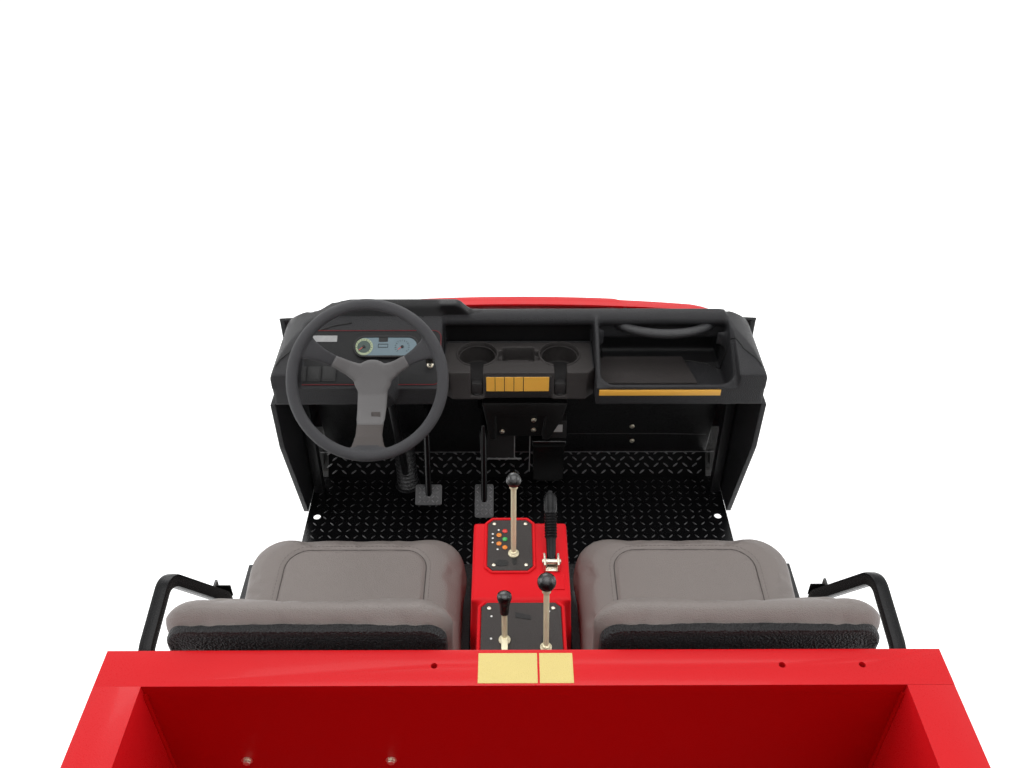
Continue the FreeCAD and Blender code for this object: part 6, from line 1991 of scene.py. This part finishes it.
def addHood():
    s = hoodSettings
    work = bmesh.new()
    shares = [step / 40 for step in range(41)]
    places = [-1 + 2 * step / 56 for step in range(57)]

    def section(share, inset):
        half = s["halves"][0] + (s["halves"][1] - s["halves"][0]) * share
        line = []
        base = hoodPoint(share, 1.0).z
        bottom = base - s["lip"] + 0.0005
        radius = 0.012 - inset
        left = []
        for step in range(6):
            angle = math.pi / 2 * step / 5
            left.append((half - inset - radius * (1 - math.sin(angle)) if radius > 0 else half - inset,
                    base - inset - radius * (1 - math.cos(angle))))
        y = hoodPoint(share, 0).y
        for across in places:
            point = hoodPoint(share, across)
            limit = half - inset - radius
            x = max(min(point.x, limit), -limit)
            line.append(Vector((x, y, point.z - inset)))
        right = [Vector((x, y, z)) for x, z in left[::-1]]
        right.append(Vector((half - inset, y, bottom)))
        other = [Vector((-point.x, y, point.z)) for point in right[::-1]]
        return other + line + right

    outer = [[work.verts.new(point) for point in section(share, 0.0)] for share in shares]
    inner = [[work.verts.new(point) for point in section(share, s["sheet"])] for share in shares]
    for sheet in (outer, inner):
        for lower, upper in zip(sheet, sheet[1:]):
            for index in range(len(lower) - 1):
                work.faces.new((lower[index], lower[index + 1], upper[index + 1], upper[index]))
    for end in (0, -1):
        for index in range(len(outer[0]) - 1):
            work.faces.new((outer[end][index], outer[end][index + 1], inner[end][index + 1],
                    inner[end][index]))
    for lower in range(len(shares) - 1):
        for end in (0, -1):
            work.faces.new((outer[lower][end], outer[lower + 1][end], inner[lower + 1][end],
                    inner[lower][end]))
    bmesh.ops.remove_doubles(work, verts=work.verts, dist=0.00001)
    shell = meshFromBmesh("hoodShell", work)
    newPiece("hood_shell", shell, "hoodRed", "hood", ("hood",), 40)
    lugs = []
    for side in (-1, 1):
        lugs.append(boxMesh("hoodLug", (side * 0.300 - 0.012, -0.868, 1.044),
                (side * 0.300 + 0.012, -0.846, 1.060), 0.003))
        lugs.append(latheMesh("hoodLug", (side * 0.300 - 0.012, -0.852, 1.055), (1, 0, 0),
                [(0, 0), (0, 0.011), (0.024, 0.011), (0.024, 0)], 24))
    newPiece("hood_lugs", lugs, "frameBlack", "hood")


def addNose():
    softened("front_fenders", "dashPlastic", "chassis", 0.0028, 2)
    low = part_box("front_grille")[0]
    cuts = []
    for side in (-1, 1):
        cuts.append(latheMesh("lampCut", (side * 0.583, low.y - 0.03, 0.500), (0, 1, 0),
                [(0, 0), (0, 0.036), (0.046, 0.036), (0.046, 0)], 40))
    mesh = meshFromBmesh("grilleSkin", cleanCopy("front_grille"))
    mesh = combined("grilleSkin", mesh, (), cuts)
    mesh = bevelMesh("grilleSkin", mesh, 0.0016, 2, 40)
    newPiece("front_grille_skin", mesh, "dashPlastic", "chassis", ("front_grille",))
    screws = [screwMesh("noseScrew", (x, low.y - 0.0002, z), (0, -1, 0), 0.006) for x in (-0.48, 0.48)
            for z in (low.z + 0.02, low.z + 0.10)]
    newPiece("front_grille_screws", screws, "boltZinc")
    bezels = []
    bowls = []
    lenses = []
    for side in (-1, 1):
        centre = (side * 0.583, low.y, 0.500)
        bezels.append(latheMesh("lampBezel", centre, (0, -1, 0), [(-0.001, 0.0375), (-0.001, 0.042),
                (0.010, 0.042), (0.0135, 0.0395), (0.0138, 0.037), (0.010, 0.0355), (0.006, 0.0352),
                (-0.001, 0.0355)], 48))
        bowls.append(latheMesh("lampBowl", centre, (0, -1, 0), [(-0.0125, 0), (-0.0128, 0.009),
                (-0.010, 0.020), (-0.004, 0.030), (0.004, 0.0353), (0.004, 0.0358), (-0.006, 0.0345),
                (-0.0138, 0.022), (-0.0140, 0)], 40))
        bowls.append(latheMesh("lampBulb", centre, (0, -1, 0), [(-0.0125, 0), (-0.0125, 0.006),
                (-0.002, 0.0058), (0.001, 0.003), (0.0012, 0)], 20))
        lenses.append(latheMesh("lampLens", centre, (0, -1, 0), [(0.0055, 0), (0.0055, 0.0352),
                (0.0075, 0.0352), (0.0098, 0.024), (0.0108, 0.012), (0.0112, 0)], 40))
    newPiece("headlamp_bezels", bezels, "trimPlastic", "chassis", ("headlamps",))
    newPiece("headlamp_bowls", bowls, "lampBowl")
    newPiece("headlamp_lenses", lenses, "clearLens", "chassis", (), 50)


# Load bed, tailgate, rear fenders and tail lamps

bedSettings = {
    "ribPitch": 0.118,
    "ribHalf": 0.020,
    "ribRise": 0.0035,
    "stakes": (0.40, 0.66, 0.98, 1.30, 1.56),
}


def pressedRib(name, x0, x1, y0, y1, z, rise, slope):
    # Low flat-topped bump with sloping sides.
    def corners(inset, height):
        return [(x0 + inset, y0 + inset, height), (x1 - inset, y0 + inset, height),
                (x1 - inset, y1 - inset, height), (x0 + inset, y1 - inset, height)]

    return bevelMesh(name, prismMesh(name, corners(0, z), corners(slope, z + rise)), 0.0012, 2, 20)


def addBed():
    s = bedSettings
    softened("bed_floor", "bodyRed", "bed", 0.0015, 1)
    low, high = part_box("bed_floor")
    ribs = []
    for index in range(-4, 5):
        x = index * s["ribPitch"]
        ribs.append(pressedRib("bedRib", x - s["ribHalf"], x + s["ribHalf"], low.y + 0.035, high.y - 0.045,
                high.z - 0.0005, s["ribRise"], 0.005))
    newPiece("bed_floor_ribs", ribs, "bodyRed", "bed")
    wall = softened("bed_front_wall", "bodyRed", "bed", 0.0030, 3)
    # the wall's upright faces below the flange take the darker red: painted shade
    wall.data.materials.append(finishes["shadedWallRed"])
    for face in wall.data.polygons:
        if face.center.z < 1.0685 and abs(face.normal.y) > 0.7:
            face.material_index = 1
    # the corner welds take the same darker red: painted shade
    corner = tubeMesh("bedCorner", [(0.6215, 0.3155, 0.680), (0.6215, 0.3155, 1.080)], 0.0048, 10)
    newPiece("bed_corner_welds", [corner, mirroredMesh(corner)], "shadedWallRed", "bed", (), 60)
    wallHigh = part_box("bed_front_wall")[1]
    bolts = [(0.489, wallHigh.y, 0.877), (0.234, wallHigh.y, 0.877)]
    newPiece("bed_wall_bolts", boltRow("wallBolts", bolts, (0, 1, 0), 0.008), "boltZinc", "bed")
    top = wallHigh.z
    labels = [boxMesh("bedLabel", (-0.022, 0.253, top - 0.0003), (0.076, 0.311, top + 0.0009), 0.0004, 1),
            boxMesh("bedLabel", (-0.081, 0.253, top - 0.0003), (-0.0255, 0.311, top + 0.0009), 0.0004, 1)]
    newPiece("bed_labels", labels, "paleYellow", "bed")
    for side in ("left", "right"):
        softened("bed_side_" + side, "bodyRed", "bed", 0.0025, 2)
    sideLow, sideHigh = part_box("bed_side_left")
    stakes = []
    for y in s["stakes"]:
        stakes.append(boxMesh("bedStake", (0.6495, y - 0.022, sideLow.z + 0.02),
                (0.668, y + 0.022, sideHigh.z - 0.028), 0.005, 2))
    stakes.append(boxMesh("bedRail", (0.6495, sideLow.y + 0.02, sideLow.z + 0.004),
            (0.666, sideHigh.y - 0.02, sideLow.z + 0.034), 0.005, 2))
    stakes = joined("bedStakes", stakes)
    newPiece("bed_side_stakes", [stakes, mirroredMesh(stakes)], "bodyRed", "bed")
    hooks = []
    for y in (0.53, 1.14, 1.45):
        for side in (-1, 1):
            route = [(side * 0.6225, y - 0.022, 1.02), (side * 0.606, y - 0.022, 1.02),
                    (side * 0.606, y + 0.022, 1.02), (side * 0.6225, y + 0.022, 1.02)]
            hooks.append(tubeMesh("bedHook", roundedRoute(route, 0.008, 4), 0.004, 10))
    newPiece("bed_tie_hooks", hooks, "boltZinc", "bed")


def addTailgate():
    low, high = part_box("tailgate")
    mesh = meshFromBmesh("gateSkin", cleanCopy("tailgate"))
    cuts = []
    for x0, x1 in ((-0.575, -0.205), (-0.185, 0.185), (0.205, 0.575)):
        cuts.append(boxMesh("gateCut", (x0, high.y - 0.006, low.z + 0.055),
                (x1, high.y + 0.02, high.z - 0.045)))
    mesh = combined("gateSkin", mesh, (), cuts)
    mesh = bevelMesh("gateSkin", mesh, 0.0025, 2, 40)
    newPiece("tailgate_skin", mesh, "bodyRed", "tailgate", ("tailgate",))
    pieces = []
    for side in (-1, 1):
        x = side * 0.585
        pieces.append(boxMesh("gateLatch", (x - 0.018, high.y - 0.0075, high.z - 0.038),
                (x + 0.018, high.y - 0.0005, high.z - 0.012), 0.002))
        pieces.append(boltMesh("gateLatch", (x, high.y - 0.009, high.z - 0.09), (0, 1, 0), 0.006, 1.25, 0.3))
    newPiece("tailgate_latches", pieces, "frameBlack", "tailgate")


def addRear():
    softened("rear_fenders", "dashPlastic", "chassis", 0.0030, 2)
    low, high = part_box("tail_lamps")
    softened("tail_lamps", "trimPlastic", "chassis", 0.0030, 2)
    lenses = []
    reflectors = []
    for side in (-1, 1):
        x = side * 0.480
        lenses.append(boxMesh("tailLens", (x - 0.026, high.y - 0.002, low.z + 0.034),
                (x + 0.026, high.y, high.z - 0.004), 0.0015, 2))
        lenses.append(latheMesh("tailLens", (x, high.y - 0.003, low.z + 0.060), (0, 1, 0),
                [(0, 0), (0, 0.019), (0.0035, 0.0185), (0.0042, 0.014), (0.0045, 0)], 32))
        reflectors.append(boxMesh("tailReflector", (x - 0.024, high.y - 0.002, low.z + 0.006),
                (x + 0.024, high.y, low.z + 0.028), 0.001))
    newPiece("tail_lamp_lenses", lenses, "redLens")
    newPiece("tail_lamp_reflectors", reflectors, "lampBowl")


addSeatFrame()
addHood()
addNose()
addBed()
addTailgate()
addRear()
print("body done")


# Wheels: lugged tyres on pressed rims

wheelKinds = {
    "front": {"x": 0.585, "y": -1.235, "radius": 0.254, "width": 0.229, "bead": 0.127, "rimWidth": 0.200,
              "hub": 0.042, "bore": 0.0205, "nuts": 4, "nutCircle": 0.056, "holes": 8, "holeCircle": 0.092,
                  "holeRadius": 0.013},
    "rear": {"x": 0.605, "y": 0.545, "radius": 0.305, "width": 0.305, "bead": 0.1524, "rimWidth": 0.250,
             "hub": 0.055, "bore": 0.0255, "nuts": 5, "nutCircle": 0.074, "holes": 10, "holeCircle": 0.115,
                 "holeRadius": 0.014},
}
treadSettings = {
    "facets": 24,
    "lug": 0.012,
    "lugLengthShare": 0.36,
    "lugInner": 0.34,
    "lugOuter": 0.97,
    "lugOuterRadius": 0.90,
    "lugRoot": 0.85,
    "centreLug": 0.40,
    "bevel": 0.0022,
    "discOffset": 0.020,
}


def lugBlock(outline, halfLength, turn, bevel):
    # Lug of an (x, radius) outline standing on the tyre, its upper edges rounded and its foot longer.
    longer = 1.06
    ends = [[(x, way * halfLength * (1 if index < 3 else longer), -r) for index, (x, r) in enumerate(outline)]
            for way in (-1, 1)]
    mesh = bevelMesh("lug", prismMesh("lug", *ends), bevel, 2, 25)
    mesh.transform(Matrix.Rotation(turn, 4, "X"))
    return mesh


def tyreMesh(kind):
    k = wheelKinds[kind]
    t = treadSettings
    half = k["width"] / 2
    radius = k["radius"]
    carcass = radius - t["lug"]
    bead = k["bead"]
    widest = bead + (radius - bead) * 0.72
    inner = half * 0.79
    profile = [(-inner * 0.96, bead + 0.0005), (-inner, bead + 0.004), (-inner, bead + 0.009),
            (-inner - (half - inner) * 0.45, bead + 0.016), (-half * 0.955, bead + (widest - bead) * 0.45),
            (-half * 0.985, bead + (widest - bead) * 0.70), (-half * 0.985, bead + (widest - bead) * 0.74),
            (-half * 0.998, bead + (widest - bead) * 0.76), (-half * 0.998, bead + (widest - bead) * 0.82),
            (-half * 0.99, bead + (widest - bead) * 0.84), (-half, widest),
            (-half * 0.985, widest + (carcass - widest) * 0.3), (-half * 0.95, carcass * 0.925),
            (-half * 0.915, carcass * 0.96), (-half * 0.86, carcass * 0.992), (-half * 0.75, carcass),
            (-half * 0.3, carcass * 1.002), (0, carcass * 1.002)]
    profile = profile + [(-x, r) for x, r in profile[-2::-1]]
    profile = profile + [(inner * 0.96, bead + 0.0002), (-inner * 0.96, bead + 0.0002)]
    body = latheMesh("tyreBody", (0, 0, 0), (1, 0, 0), profile, 96)
    outer = [(-half * t["lugOuter"], radius * t["lugOuterRadius"]), (-half * 0.86, radius),
            (-half * t["lugInner"], radius), (-half * t["lugInner"], carcass - t["lug"]),
            (-half * 0.86, radius * t["lugRoot"])]
    middle = half * t["centreLug"]
    centre = [(-middle, carcass - t["lug"]), (-middle, radius), (middle, radius),
            (middle, carcass - t["lug"])]
    halfLength = t["lugLengthShare"] * 2 * carcass * math.tan(math.pi / t["facets"])
    lugs = []
    for index in range(0, t["facets"], 2):
        turn = 2 * math.pi * index / t["facets"]
        lugs.append(lugBlock(outer, halfLength, turn, t["bevel"]))
        flipped = [(-x, r) for x, r in outer]
        lugs.append(lugBlock(flipped, halfLength, turn, t["bevel"]))
        onward = 2 * math.pi * (index + 1) / t["facets"]
        lugs.append(lugBlock(centre, halfLength, onward, t["bevel"]))
    return joined(kind + "Tyre", [body] + lugs)


def rimMesh(kind):
    # Barrel with rolled flanges, and a dished disc with holes and a hub.
    k = wheelKinds[kind]
    half = k["rimWidth"] / 2
    outer = k["bead"]
    sheet = 0.005
    barrel = [(-half, outer - 0.001), (-half + 0.003, outer - 0.0002), (-half + 0.014, outer - 0.0002),
            (-half * 0.60, outer - 0.004), (-half * 0.42, outer - 0.011), (half * 0.30, outer - 0.011),
            (half * 0.52, outer - 0.004), (half - 0.014, outer - 0.0002), (half - 0.003, outer - 0.0002),
            (half, outer - 0.001), (half, outer - sheet), (half - 0.014, outer - sheet - 0.0005),
            (half * 0.52, outer - sheet - 0.004), (half * 0.30, outer - sheet - 0.0105),
            (-half * 0.42, outer - sheet - 0.0105), (-half * 0.60, outer - sheet - 0.004),
            (-half + 0.014, outer - sheet - 0.0005), (-half, outer - sheet), (-half, outer - 0.001)]
    barrel = latheMesh("rimBarrel", (0, 0, 0), (1, 0, 0), barrel, 96)
    x = treadSettings["discOffset"]
    hub = k["hub"]
    bore = k["bore"]
    edge = outer - sheet - 0.0085
    disc = [(x + 0.010, edge), (x + 0.010, edge - 0.010), (x + 0.0065, edge - 0.018),
            (x + 0.0095, (edge + hub) / 2 + 0.004), (x + 0.010, hub + 0.012), (x + 0.010, hub), (x, hub),
            (x, hub + 0.012), (x - 0.0005, (edge + hub) / 2 + 0.004), (x - 0.0002, edge - 0.018),
            (x, edge - 0.010), (x, edge), (x + 0.010, edge)]
    disc = latheMesh("rimDisc", (0, 0, 0), (1, 0, 0), disc, 96)
    cuts = []
    for index in range(k["holes"]):
        angle = 2 * math.pi * (index + 0.5) / k["holes"]
        place = (x - 0.02, k["holeCircle"] * math.cos(angle), k["holeCircle"] * math.sin(angle))
        cuts.append(latheMesh("rimHole", place, (1, 0, 0), [(0, 0), (0, k["holeRadius"]),
                (0.05, k["holeRadius"]), (0.05, 0)], 20))
    disc = combined("rimDisc", disc, (), cuts)
    boss = latheMesh("rimBoss", (x, 0, 0), (1, 0, 0), [(-0.035, bore), (-0.035, hub - 0.003), (-0.032, hub),
            (0.0, hub), (0.012, hub), (0.018, hub - 0.004), (0.030, hub - 0.007), (0.035, hub - 0.012),
            (0.035, bore), (-0.035, bore)], 64)
    return joined(kind + "Rim", [barrel, disc, boss])


def nutMesh(kind):
    k = wheelKinds[kind]
    x = treadSettings["discOffset"] + 0.010
    nuts = []
    for index in range(k["nuts"]):
        angle = 2 * math.pi * index / k["nuts"] + 0.3
        place = Vector((x, k["nutCircle"] * math.cos(angle), k["nutCircle"] * math.sin(angle)))
        nuts.append(latheMesh("nut", place, (1, 0, 0), [(0, 0), (0, 0.0115), (0.003, 0.0105), (0.003, 0.0095),
                (0.012, 0.0095), (0.0135, 0.0080), (0.0135, 0)], 6))
        nuts.append(latheMesh("stud", place, (1, 0, 0), [(0.013, 0), (0.013, 0.0052), (0.0195, 0.0052),
                (0.0205, 0.0042), (0.0205, 0)], 14))
    cap = k["hub"] - 0.014
    nuts.append(latheMesh("hubCap", (x + 0.0245, 0, 0), (1, 0, 0),
            [(0, 0), (0, cap), (0.003, cap), (0.006, cap * 0.9), (0.0075, cap * 0.5), (0.008, 0)], 40))
    return joined(kind + "Nuts", nuts)


def addWheels():
    for kind in ("front", "rear"):
        k = wheelKinds[kind]
        tyre = tyreMesh(kind)
        rim = rimMesh(kind)
        nuts = nutMesh(kind)
        for side in ("left", "right"):
            place = Matrix.Translation((k["x"], k["y"], k["radius"]))
            meshes = []
            for mesh in (tyre, rim, nuts):
                copy = mesh.copy()
                copy.transform(place)
                meshes.append(copy if side == "left" else mirroredMesh(copy))
            body = kind + "_wheel_" + side
            newPiece(kind + "_tyre_" + side + "_rubber", meshes[0], "tyreRubber", body,
                    (kind + "_tyre_" + side,), 35)
            newPiece(kind + "_rim_" + side + "_steel", meshes[1], "rimPaint", body, (kind + "_rim_" + side,),
                    35)
            newPiece(kind + "_nuts_" + side, meshes[2], "boltZinc", body, (), 35)


addWheels()
print("wheels done")


# Every other piece follows its construction shape, with its edges softly broken

plainLooks = {
    "frame_rails": ("frameBlack", 0.0020),
    "frame_crossmembers": ("frameBlack", 0.0015),
    "front_bumper": ("frameBlack", 0.0015),
    "front_suspension": ("frameBlack", 0.0015),
    "rear_axle": ("axleIron", 0.0020),
    "engine_block": ("engineIron", 0.0030),
    "fuel_tank": ("trimPlastic", 0.0060),
    "muffler": ("steel", 0.0030),
    "hood_hinges": ("steel", 0.0010),
    "tie_rod": ("steel", 0.0015),
    "knuckle_left": ("axleIron", 0.0015),
    "knuckle_right": ("axleIron", 0.0015),
    "lift_barrels": ("frameBlack", 0.0010),
    "lift_rods": ("chromeRod", 0.0006),
}
plainBodies = {"tie_rod": "tie_rod", "knuckle_left": "knuckle_left", "knuckle_right": "knuckle_right",
        "lift_barrels": "lift_barrels", "lift_rods": "lift_rods"}


def addPlainPieces():
    for node, (finish, width) in plainLooks.items():
        softened(node, finish, plainBodies.get(node, "chassis"), width, 1)


addPlainPieces()
print("plain pieces done")
